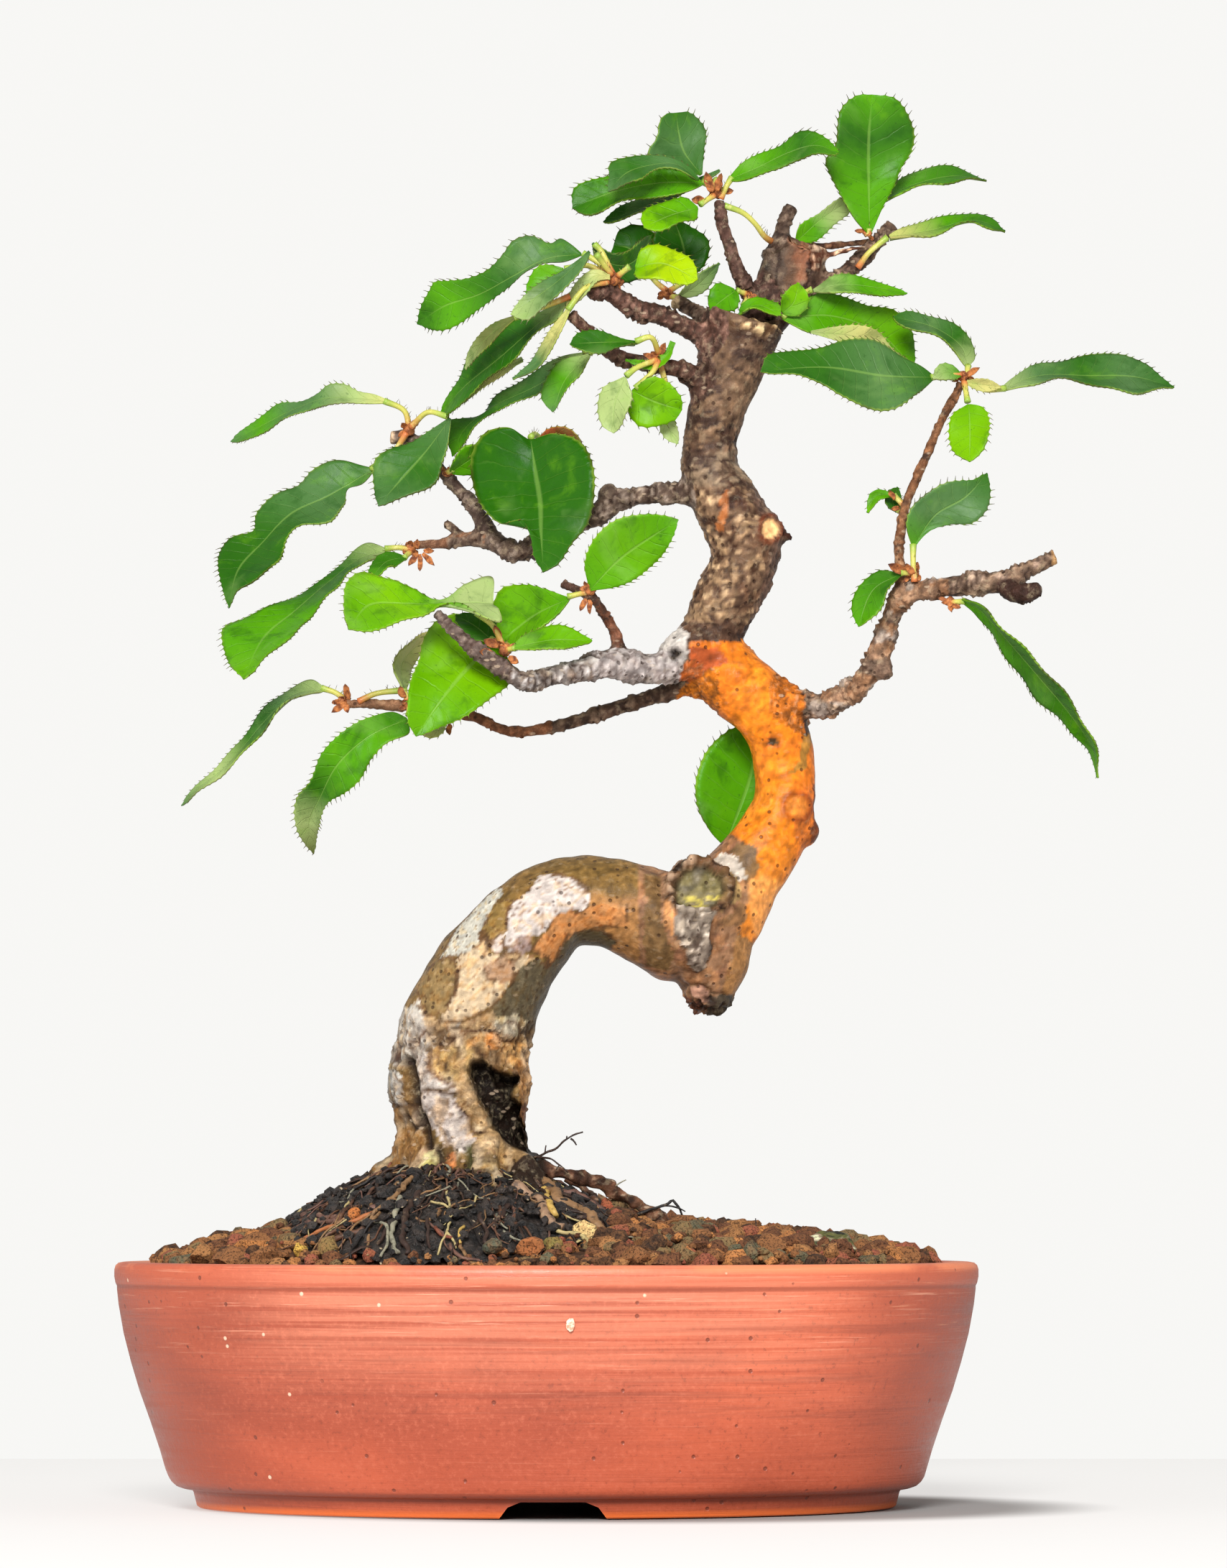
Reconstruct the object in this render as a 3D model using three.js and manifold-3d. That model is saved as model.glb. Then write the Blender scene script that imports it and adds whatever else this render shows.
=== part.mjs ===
// A small quince bonsai in an oval stoneware pot. Millimetres, +Z up, front towards -Y.
import * as THREE from "three";
import { mergeVertices } from "three/addons/utils/BufferGeometryUtils.js";
import Module from "manifold-3d";

const wasm = await Module();
wasm.setup();

// Driving dimensions of the pot.
const POT_HALF_LENGTH = 75;
const POT_HALF_DEPTH = 57;
const POT_HEIGHT = 42.3;
const WALL = 5.5;
const FLOOR_UNDER = 3.4;
const FLOOR_TOP = 8;
const NOTCH_WIDTH = 18;
const NOTCH_HEIGHT = 2.9;
const NOTCH_X = 1.5;
const DRAIN_RADIUS = 7;
const DRAIN_X = 30;

// Driving dimensions of the tree.
const SEAT_GAP = 0.3;
const BLADE_THICKNESS = 0.66;
const PETIOLE_RADIUS = 0.55;
const TRUNK_X = 32;
const TIER_DEPTH = 17;

// The front view was measured from this far away and from this point of the plane y = 0.
const VIEW_DISTANCE = 1200;
const VIEW_X = 11.6;
const VIEW_Z = 56;

// How far the crown leans forward or back, tier by tier: nothing near the trunk or below the
// elbow, and most at the ends of the branches.
function lean(x, z) {
  const out = Math.abs(x - TRUNK_X) - 9;
  const reach = THREE.MathUtils.smoothstep(out, 0, 60) * THREE.MathUtils.smoothstep(z, 98, 122);
  if (x < TRUNK_X) return TIER_DEPTH * reach * Math.cos(((z - 182) / 46) * Math.PI);
  return -TIER_DEPTH * reach * Math.cos(((z - 150) / 60) * Math.PI);
}

// A point seen at (x, z) on the plane y = 0, carried along its line of sight to its depth,
// which is y in front of or behind its own tier.
function seen(x, z, y) {
  const depth = y + lean(x, z);
  const reach = (VIEW_DISTANCE + depth) / VIEW_DISTANCE;
  return new THREE.Vector3(VIEW_X + (x - VIEW_X) * reach, depth, VIEW_Z + (z - VIEW_Z) * reach);
}

// Repeatable random numbers.
function randomFrom(seed) {
  let state = seed;
  return () => {
    state = (state * 1664525 + 1013904223) % 4294967296;
    return state / 4294967296;
  };
}

function bare(geometry) {
  const copy = geometry.clone();
  copy.deleteAttribute("normal");
  copy.deleteAttribute("uv");
  return mergeVertices(copy, 1e-4);
}

function solid(geometry) {
  const merged = bare(geometry);
  const vertProperties = new Float32Array(merged.attributes.position.array);
  const triVerts = new Uint32Array(merged.index.array);
  return new wasm.Manifold(new wasm.Mesh({ numProp: 3, vertProperties, triVerts }));
}

function largest(body) {
  const pieces = body.decompose();
  pieces.sort((a, b) => b.volume() - a.volume());
  return pieces[0];
}

function geometryOf(body) {
  const mesh = body.getMesh();
  const geometry = new THREE.BufferGeometry();
  geometry.setAttribute("position", new THREE.BufferAttribute(new Float32Array(mesh.vertProperties), 3));
  geometry.setIndex(new THREE.BufferAttribute(new Uint32Array(mesh.triVerts), 1));
  geometry.computeVertexNormals();
  return geometry;
}

function joined(bodies) {
  return bodies.reduce((whole, body) => whole.add(body));
}

// A cylinder bent along a smooth curve, with a radius given at each point of the curve.
// Each point is [x, z, y, radius] as seen from the front.
function limb(points, sides, steps, extra = 0) {
  const curve = new THREE.CatmullRomCurve3(points.map(([x, z, y]) => seen(x, z, y)), false, "centripetal");
  const frames = [];
  let across = new THREE.Vector3(0, 1, 0);
  for (let i = 0; i <= steps; i += 1) {
    const t = i / steps;
    const along = curve.getTangent(t);
    across = across.clone().addScaledVector(along, -across.dot(along)).normalize();
    const other = new THREE.Vector3().crossVectors(along, across);
    const spot = t * (points.length - 1);
    const low = Math.min(Math.floor(spot), points.length - 2);
    const radius = THREE.MathUtils.lerp(points[low][3], points[low + 1][3], spot - low) + extra;
    const centre = curve.getPoint(t);
    if (i === 0) centre.addScaledVector(along, -extra);
    if (i === steps) centre.addScaledVector(along, extra);
    frames.push({ centre, across, other, radius });
  }
  const geometry = new THREE.CylinderGeometry(1, 1, 1, sides, steps, false);
  const position = geometry.attributes.position;
  for (let i = 0; i < position.count; i += 1) {
    const frame = frames[Math.round((position.getY(i) + 0.5) * steps)];
    const place = frame.centre.clone();
    place.addScaledVector(frame.across, position.getZ(i) * frame.radius);
    place.addScaledVector(frame.other, position.getX(i) * frame.radius);
    position.setXYZ(i, place.x, place.y, place.z);
  }
  return solid(geometry);
}

// A closed thin sheet: the grid of a plane twice, both faces with the same triangles.
function sheet(columns, rows, place) {
  const plane = new THREE.PlaneGeometry(1, 1, columns, rows);
  const grid = plane.attributes.uv;
  const count = grid.count;
  const position = new Float32Array(count * 6);
  for (let i = 0; i < count; i += 1) {
    const { point, normal } = place(grid.getX(i), grid.getY(i));
    const upper = point.clone().addScaledVector(normal, BLADE_THICKNESS / 2);
    const lower = point.clone().addScaledVector(normal, -BLADE_THICKNESS / 2);
    upper.toArray(position, i * 3);
    lower.toArray(position, (i + count) * 3);
  }
  const upperIndex = Array.from(plane.index.array);
  const index = upperIndex.slice();
  for (let i = 0; i < upperIndex.length; i += 3) {
    index.push(upperIndex[i] + count, upperIndex[i + 2] + count, upperIndex[i + 1] + count);
  }
  const rim = [];
  for (let c = 0; c < columns; c += 1) rim.push(c);
  for (let r = 0; r < rows; r += 1) rim.push(r * (columns + 1) + columns);
  for (let c = columns; c > 0; c -= 1) rim.push(rows * (columns + 1) + c);
  for (let r = rows; r > 0; r -= 1) rim.push(r * (columns + 1));
  for (let i = 0; i < rim.length; i += 1) {
    const a = rim[i];
    const b = rim[(i + 1) % rim.length];
    index.push(a, b, b + count, a, b + count, a + count);
  }
  const geometry = new THREE.BufferGeometry();
  geometry.setAttribute("position", new THREE.BufferAttribute(position, 3));
  geometry.setIndex(index);
  return geometry;
}

// Value of a list of numbers spread evenly over 0..1.
function along(list, t) {
  if (list.length === 1) return list[0];
  const spot = t * (list.length - 1);
  const low = Math.min(Math.floor(spot), list.length - 2);
  return THREE.MathUtils.lerp(list[low], list[low + 1], spot - low);
}

// A leaf blade: spine as seen from the front, depth at base and tip, width, and the turn of
// the blade about its spine in degrees (0 shows the upper face, 90 the edge, 180 the underside).
function blade({ spine, depth, width, turn }) {
  const points = spine.map(([x, z], i) => seen(x, z, along(depth, i / (spine.length - 1))));
  const curve = new THREE.CatmullRomCurve3(points, false, "centripetal");
  const length = curve.getLength();
  const rows = Math.max(4, Math.min(8, Math.round(length / 3.9)));
  const seed = Math.abs(Math.round(spine[0][0] * 31 + spine[0][1] * 17)) + 1;
  const phase = seed % 7;
  const geometry = sheet(2, rows, (u, v) => {
    const t = v;
    const at = curve.getPointAt(t);
    const forward = curve.getTangentAt(t);
    const flat = new THREE.Vector3().crossVectors(forward, new THREE.Vector3(0, 1, 0)).normalize();
    const facing = new THREE.Vector3().crossVectors(forward, flat).normalize();
    const angle = THREE.MathUtils.degToRad(along(turn, t));
    const side = flat.clone().multiplyScalar(Math.cos(angle)).addScaledVector(facing, Math.sin(angle));
    const normal = new THREE.Vector3().crossVectors(forward, side).normalize();
    const row = Math.round(t * rows);
    const outline = Math.pow(Math.sin(Math.PI * Math.pow(t * 0.96 + 0.02, 0.9)), 0.8);
    const tooth = row > 0 && row < rows ? (row % 2 === 0 ? 0.25 : -0.2) : 0;
    const half = Math.max(0.45, width / 2 * outline + tooth);
    const offset = (u - 0.5) * 2;
    const raised = Math.abs(offset) * half * 0.22 + offset * Math.sin(t * 9 + phase) * half * 0.12;
    const point = at.clone().addScaledVector(side, offset * half).addScaledVector(normal, raised);
    return { point, normal };
  });
  const body = solid(geometry);
  if (body.volume() > 0) return body;
  const index = geometry.index.array;
  for (let i = 0; i < index.length; i += 3) {
    const swap = index[i + 1];
    index[i + 1] = index[i + 2];
    index[i + 2] = swap;
  }
  return solid(geometry);
}

const root = new THREE.Group();

function addMesh(name, body, material) {
  const mesh = new THREE.Mesh(geometryOf(body), material);
  mesh.name = name;
  root.add(mesh);
}

const stoneware = new THREE.MeshStandardMaterial({ color: 0xbe5f4b, roughness: 0.55, metalness: 0 });
const screenPlastic = new THREE.MeshStandardMaterial({ color: 0x2c2c2c, roughness: 0.6, metalness: 0 });
const soilMaterial = new THREE.MeshStandardMaterial({ color: 0x6b4a35, roughness: 0.95, metalness: 0 });
const barkMaterial = new THREE.MeshStandardMaterial({ color: 0xa8794a, roughness: 0.8, metalness: 0 });
const leafMaterial = new THREE.MeshStandardMaterial({ color: 0x4f8a2c, roughness: 0.5, metalness: 0 });
const shellMaterial = new THREE.MeshStandardMaterial({ color: 0x4a5348, roughness: 0.7, metalness: 0 });
leafMaterial.side = THREE.DoubleSide;

// The pot: an oval turned profile with a low foot ring, notched front and back.
const potProfile = [
  [0, FLOOR_UNDER],
  [55.5, FLOOR_UNDER],
  [56, 0],
  [60.5, 0],
  [61.6, 3.2],
  [64, 3.4],
  [65.4, 5],
  [70.5, 20],
  [73.3, 30],
  [75, 39.2],
  [75, 41.4],
  [74.1, POT_HEIGHT],
  [71, POT_HEIGHT],
  [POT_HALF_LENGTH - WALL, 41.2],
  [68.8, 37.4],
  [66.7, 28],
  [63, 17.3],
  [59, 10],
  [55, FLOOR_TOP],
  [0, FLOOR_TOP],
];

function ovalTurned(profile, segments) {
  const outline = profile.map(([r, z]) => new THREE.Vector2(r, z));
  const geometry = new THREE.LatheGeometry(outline, segments);
  geometry.rotateX(Math.PI / 2);
  geometry.scale(1, POT_HALF_DEPTH / POT_HALF_LENGTH, 1);
  return geometry;
}

function outward(geometry) {
  const body = solid(geometry);
  if (body.volume() > 0) return body;
  const merged = bare(geometry);
  const index = merged.index.array;
  for (let i = 0; i < index.length; i += 3) {
    const swap = index[i + 1];
    index[i + 1] = index[i + 2];
    index[i + 2] = swap;
  }
  return solid(merged);
}

const notch = new THREE.Shape();
notch.moveTo(NOTCH_X - NOTCH_WIDTH / 2, -2);
notch.lineTo(NOTCH_X + NOTCH_WIDTH / 2, -2);
notch.lineTo(NOTCH_X + NOTCH_WIDTH / 2, 0);
notch.lineTo(NOTCH_X + NOTCH_WIDTH / 2 - 1.6, 2.1);
notch.lineTo(NOTCH_X + NOTCH_WIDTH / 2 - 4, NOTCH_HEIGHT);
notch.lineTo(NOTCH_X - NOTCH_WIDTH / 2 + 4, NOTCH_HEIGHT);
notch.lineTo(NOTCH_X - NOTCH_WIDTH / 2 + 1.6, 2.1);
notch.lineTo(NOTCH_X - NOTCH_WIDTH / 2, 0);
const notchCutter = new THREE.ExtrudeGeometry(notch, { depth: 140, bevelEnabled: false });
notchCutter.rotateX(Math.PI / 2);
notchCutter.translate(0, 70, 0);

let pot = outward(ovalTurned(potProfile, 36)).subtract(solid(notchCutter));
for (const x of [-DRAIN_X, DRAIN_X]) {
  const drain = new THREE.CylinderGeometry(DRAIN_RADIUS, DRAIN_RADIUS, 20, 16);
  drain.rotateX(Math.PI / 2);
  drain.translate(x, 0, 5);
  pot = pot.subtract(solid(drain));
}
addMesh("pot", pot, stoneware);

// Plastic mesh screens lie over the drain holes, under the soil.
function screenAt(x) {
  const plate = new THREE.BoxGeometry(20, 20, 1);
  plate.translate(x, 0, FLOOR_TOP + SEAT_GAP + 0.5);
  const holes = [];
  for (let column = -1; column <= 1; column += 1) {
    for (let row = -1; row <= 1; row += 1) {
      const hole = new THREE.BoxGeometry(4.8, 4.8, 4);
      hole.translate(x + column * 6, row * 6, FLOOR_TOP + SEAT_GAP + 0.5);
      holes.push(solid(hole));
    }
  }
  return solid(plate).subtract(joined(holes));
}
addMesh("drain_screen_left", screenAt(-DRAIN_X), screenPlastic);
addMesh("drain_screen_right", screenAt(DRAIN_X), screenPlastic);

// The trunk: centreline points [x, z, depth, radius] from under the soil to the flat saw cut.
const trunkLow = [
  [-14, 30, 0, 9], [-14, 44, 0, 12], [-14, 52, 0, 13], [-14.5, 58, 0, 11.6], [-15, 64, 0, 10.8],
  [-15, 72, 0, 11.8], [-15, 80, 0, 11.6], [-12.5, 87, -1, 11], [-8.5, 94, -2, 10], [-3, 100.5, -3, 9],
  [3, 104.6, -3, 7.9], [10, 104.8, -2.5, 7.8], [16, 103, -2, 8.4], [22, 100.5, -1.5, 9.6],
  [28, 99.3, -0.5, 8.8],
];
const trunkHigh = [
  [26, 100, -0.5, 8], [30.5, 104, 0, 8.2], [34, 109.2, 1, 6.8], [39, 116, 2, 6.2], [41.3, 122, 2.5, 5.3],
  [41.3, 129, 3, 5.4], [40.3, 134, 3, 5.7], [37.4, 139.2, 2.5, 6], [32, 143.9, 2, 6.2], [29, 148.5, 1.5, 5.8],
  [29.2, 152.5, 1, 5.3], [31, 157, 0.5, 5.8], [34, 163, 0, 5.9], [34.5, 168.5, 0, 6.4], [31.5, 174, 0, 6],
  [28.5, 180, 0, 5], [28.7, 186, 0, 4.8], [30, 192, 0, 5.1], [32, 198, 0, 5.7], [34.6, 205.8, 0, 6.8],
];
const elbowKnob = [[28, 100, -0.5, 8], [28.2, 93, -0.5, 6.8], [28.1, 88.5, -0.5, 4.6], [28, 85.6, -0.5, 2.4]];
const callus = [[26.4, 104, -4, 6.5], [26.4, 107, -7.6, 6], [26.4, 107.4, -9, 4.6]];
const collar = [[25.5, 149, -0.5, 5], [22.5, 148.3, -2, 3.4], [20.8, 147.4, -3, 2.6]];
const barkLedge = [[30, 151.5, 1, 6], [32.6, 150.6, 1, 4.2], [34.2, 150.3, 1, 1.6]];
const knotKnob = [[44, 119, 2.5, 3.6], [46.3, 118.8, 2.5, 2.6], [47.3, 118.6, 2.5, 1.2]];
const leader = [[36.5, 201, 4, 5], [38.5, 207, 7, 5.4], [41, 212, 8, 5.4], [43, 216.5, 8, 5.6], [44.5, 220.6, 8, 5]];

const roots = [
  [[-14, 62, 0, 9.5], [-24, 59, 0, 5.4], [-30, 54.5, -1, 4.4], [-37, 50, -2, 3.6], [-43, 45, -3, 2.6]],
  [[-17, 66, -4, 6], [-20, 57.5, -9, 4.2], [-22, 52, -13, 3.4], [-24, 44, -17, 2.6]],
  [[-13, 66, -4, 6], [-11.5, 57, -10, 3.8], [-10, 51, -14, 3.2], [-9, 44, -18, 2.4]],
  [[-10, 65, -2, 5.5], [-5, 60.5, -5, 2.9], [2, 56.2, -6, 2.4], [8, 54.6, -6, 2.4], [14, 51.2, -6, 2.6],
    [22, 45, -6, 2.6]],
  [[-8, 60, 0, 8], [2, 54, 2, 5.4], [11, 49, 2, 4], [20, 43, 1, 3]],
  [[-6, 59.5, -6, 1.9], [-1, 55.5, -10, 1.3], [2, 51, -12, 1.2], [3.5, 45, -14, 1.2]],
  [[-7, 58, -5, 2.2], [-3, 54.5, -13, 1.6], [1, 49.5, -17, 1.5], [6, 44, -19, 1.3]],
  [[-12, 62, 4, 8], [-10, 54, 14, 5], [-6, 46, 22, 3.4], [-3, 41, 27, 2.4]],
  [[-18, 62, 3, 7], [-26, 53, 11, 4.4], [-34, 44, 17, 3]],
  [[-15, 60, -3, 8], [-16, 50, -8, 7], [-16, 42, -8, 6]],
];

const branchOne = [[26, 146.5, -1, 3.2], [20, 145.6, -3, 2.9], [14, 146, -4.5, 2.8], [9, 146, -6, 2.5],
  [5, 145, -7, 2.1], [1, 144.5, -7.5, 1.9], [-4, 143.4, -8, 1.8], [-8, 145.5, -8, 1.7], [-12, 148.5, -9, 1.5],
  [-16, 152, -10, 1.2], [-19.5, 155.5, -11, 1]];
const twigOne = [[13, 147, -4.6, 1.6], [12, 151.5, -5, 1.1], [10, 155, -6, 1], [8.2, 158, -7, 1.1]];
const twigOneSide = [[8.2, 157.8, -6.6, 1], [5, 159.5, -5, 0.9], [2.5, 160.5, -4, 0.8]];
const branchTwo = [[31, 143.6, 1, 3], [24.5, 142.4, 3, 1.9], [20, 141.2, 4, 1.6], [13, 139, 7, 1.35], [6, 136.8, 9, 1.3], [-2, 135, 11, 1.2],
  [-8, 135, 12, 1.1], [-13, 137.3, 13, 1.1], [-24, 139, 14.5, 1], [-30, 139.3, 15.4, 0.95], [-34.5, 139.2, 16, 0.95]];
const branchThree = [[28, 176, 0, 2.4], [20, 176.3, 1, 1.8], [14, 175.5, 1.5, 1.8], [9, 172.8, 2, 2], [3, 170, 2.6, 2],
  [-3, 166.8, 3, 2], [-6, 165.8, 3, 1.9], [-9.3, 168, 3, 1.9]];
const branchThreeKnob = [[12, 174.5, 1.8, 2], [10.5, 176.4, 1.5, 2.1], [9.6, 177.4, 1.2, 1.4]];
const branchThreeUp = [[-9.3, 168, 3, 1.8], [-12, 172.5, 2.4, 1.5], [-14, 175.5, 1.8, 1.35], [-17, 178.5, 1, 1.25],
  [-19, 180.8, 0.4, 1.2], [-22, 184.8, -0.6, 1.2], [-24.6, 186, -1.2, 1.3], [-27.5, 186.2, -2, 1.4]];
const branchThreeOut = [[-9.3, 168.2, 3, 1.5], [-14, 168.3, 4, 1.3], [-17, 167.6, 4.4, 1.1], [-22.3, 167.4, 5, 0.95]];
const branchThreeStub = [[-14.5, 168.2, 4, 1], [-16.5, 170.2, 3.6, 0.95], [-18, 171.2, 3.4, 0.9]];
const branchFour = [[32, 203, 0, 3], [28, 204, -0.5, 2.2], [24, 205.5, -2, 1.8], [20, 207.5, -3.4, 1.9],
  [15, 209, -4.6, 1.8], [11, 211.5, -5.6, 1.7], [7, 211.8, -6.5, 1.3]];
const branchFourBack = [[31, 204.5, 2, 2.4], [27.5, 207.5, 4.5, 1.4], [22.3, 210.3, 7, 1.3]];
const branchFive = [[29, 193, 0, 2.8], [24, 198, -3, 1.7], [19, 198.8, -5, 1.5], [13, 200, -6, 1.4],
  [8, 204, -7, 1.25], [4, 208, -8, 1]];
const shootSix = [[38, 208, 5, 2], [36, 211, 4, 1.5], [33.5, 215, 2, 1.3], [32, 220, 1, 1.15], [30.5, 225, 0, 1.05],
  [30, 228, 0, 1]];
const leaderStubOne = [[40.3, 218, 8, 2], [41.5, 223.5, 8, 1.2], [43.2, 227.3, 8, 1.1]];
const leaderStubTwo = [[45, 214, 8, 2.4], [50, 216.3, 8, 1.8], [56, 221, 8, 1.5], [60.5, 224, 8, 1.4]];
const leaderSplinter = [[45, 219.6, 10, 1], [50, 219.9, 11.2, 0.8], [57.5, 220.8, 12.6, 0.6]];
const branchSeven = [[39, 139.5, 2, 4], [44, 140, 0.5, 2.6], [48, 139.4, -0.5, 2.2], [51, 140.5, -1, 2.1],
  [55, 143, -1.4, 2], [57.3, 146.5, -1.7, 2.1], [58.6, 150, -2, 2.1], [60.3, 155, -2.4, 2], [63, 158.5, -2.8, 2.1],
  [68, 159.6, -3, 1.9], [74, 160.5, -2.6, 1.9], [80, 161, -2, 1.9], [84, 163, -1.6, 1.6], [89, 165.2, -1, 1.4]];
const branchSevenKnob = [[57.8, 147, -1.7, 2], [59, 145, -2.4, 1.7], [59.6, 144.2, -2.8, 1.1]];
const branchSevenStub = [[79, 160.6, -2, 1.8], [82.6, 158.6, -3.4, 1.7], [86, 159.6, -4.6, 1.5]];
const shootEight = [[62.4, 159, -2.8, 1.6], [61.5, 166, -3, 1], [62.3, 172, -3.4, 0.98], [65, 180, -4.2, 0.9],
  [69, 189, -5.2, 0.85], [71.5, 193.5, -5.7, 0.9], [72.5, 195.6, -6, 0.95]];

// [points, sides, steps] of every limb that is fused into the one grown piece of wood.
const limbs = [
  [trunkLow, 12, 20], [trunkHigh, 10, 29], [elbowKnob, 9, 4], [callus, 9, 3], [collar, 7, 2],
  [barkLedge, 7, 2], [knotKnob, 6, 2], [leader, 8, 6],
  ...roots.map((points) => [points, 6, points.length]),
  [branchOne, 6, 11], [twigOne, 4, 4], [twigOneSide, 4, 2], [branchTwo, 5, 10], [branchThree, 6, 10],
  [branchThreeKnob, 5, 2], [branchThreeUp, 5, 8], [branchThreeOut, 4, 4], [branchThreeStub, 4, 2],
  [branchFour, 6, 7], [branchFourBack, 5, 3], [branchFive, 5, 7], [shootSix, 4, 6], [leaderStubOne, 5, 3],
  [leaderStubTwo, 5, 4], [leaderSplinter, 4, 2], [branchSeven, 6, 14], [branchSevenKnob, 5, 2],
  [branchSevenStub, 5, 3], [shootEight, 4, 7],
];

function woodOf(extra) {
  return joined(limbs.map(([points, sides, steps]) => limb(points, sides, steps, extra)));
}

let wood = woodOf(0);
const woodFat = woodOf(SEAT_GAP + 0.05);

// The dark hollow in the lower trunk.
const hollow = new THREE.SphereGeometry(1, 9, 6);
hollow.scale(3.2, 5, 8);
hollow.rotateY(-0.25);
hollow.translate(-8.2, -12, 69.5);
wood = wood.subtract(solid(hollow));

// The trunk ends in a flat saw cut and the leader behind it in a sloping one.
const sawCut = new THREE.BoxGeometry(30, 12, 10);
sawCut.rotateY(-0.06);
sawCut.translate(35, -5, 210.9);
wood = largest(wood.subtract(solid(sawCut).subtract(joined([limb(branchFour, 6, 7, 0.5)]))));
addMesh("wood", wood, barkMaterial);

// The soil: fills the pot and rises to a low mound of coarse granules around the roots.
function moundHeight(x, y) {
  const edge = (x / 70) ** 2 + (y / 53) ** 2;
  const dome = Math.max(0, 1 - edge);
  const left = Math.max(0, 1 - ((x + 38) / 26) ** 2) * 1.6;
  const bumps = Math.sin(x * 0.55 + y * 0.3) * Math.cos(y * 0.6 - x * 0.2) * 0.5;
  return 39.6 + 8.2 * Math.pow(dome, 0.62) + left * Math.sqrt(dome) + bumps;
}
const soilProfile = [
  [0, FLOOR_TOP + SEAT_GAP],
  [54.6, FLOOR_TOP + SEAT_GAP],
  [58.4, 10.4],
  [62.4, 17.3],
  [66.1, 28],
  [68.2, 37.4],
  [68.4, 38.9],
  [60, 40],
  [50, 40],
  [39, 40],
  [27, 40],
  [14, 40],
  [0, 40],
];
const soilGeometry = bare(ovalTurned(soilProfile, 36));
const soilPosition = soilGeometry.attributes.position;
for (let i = 0; i < soilPosition.count; i += 1) {
  if (soilPosition.getZ(i) > 39.5) {
    soilPosition.setZ(i, moundHeight(soilPosition.getX(i), soilPosition.getY(i)));
  }
}
let soil = outward(soilGeometry);
const random = randomFrom(7);
const granules = [];
for (let i = 0; i < 26; i += 1) {
  const turn = i * 2.39996;
  const reach = Math.sqrt((i + 0.5) / 26) * 0.9;
  const x = Math.cos(turn) * reach * 68;
  const y = Math.sin(turn) * reach * 51;
  const size = 1.9 + random() * 0.8;
  const granule = new THREE.IcosahedronGeometry(size, 0);
  granule.rotateX(random() * 3);
  granule.rotateZ(random() * 3);
  granule.translate(x, y, moundHeight(x, y) + size * 0.25);
  granules.push(solid(granule));
}
soil = soil.add(joined(granules));
soil = soil.subtract(woodFat);
for (const x of [-DRAIN_X, DRAIN_X]) {
  const pocket = new THREE.BoxGeometry(21, 21, 3);
  pocket.translate(x, 0, FLOOR_TOP + SEAT_GAP - 0.15);
  soil = soil.subtract(solid(pocket));
}
addMesh("soil", largest(soil), soilMaterial);

// A curled dark flake of bark lies on the soil at the right.
const flake = sheet(4, 6, (u, v) => {
  const bend = (u - 0.5) * 2.2;
  const x = 44.6 + v * 9;
  const y = -22 + Math.sin(bend) * 3.4 + v * 1.5;
  const z = 43.9 + Math.cos(bend) * 2.2 + Math.sin(v * 3) * 0.5;
  const normal = new THREE.Vector3(0, Math.sin(bend), Math.cos(bend)).normalize();
  return { point: new THREE.Vector3(x, y, z), normal };
});
const flakeBody = outward(flake);
addMesh("bark_flake", flakeBody, shellMaterial);

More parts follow.
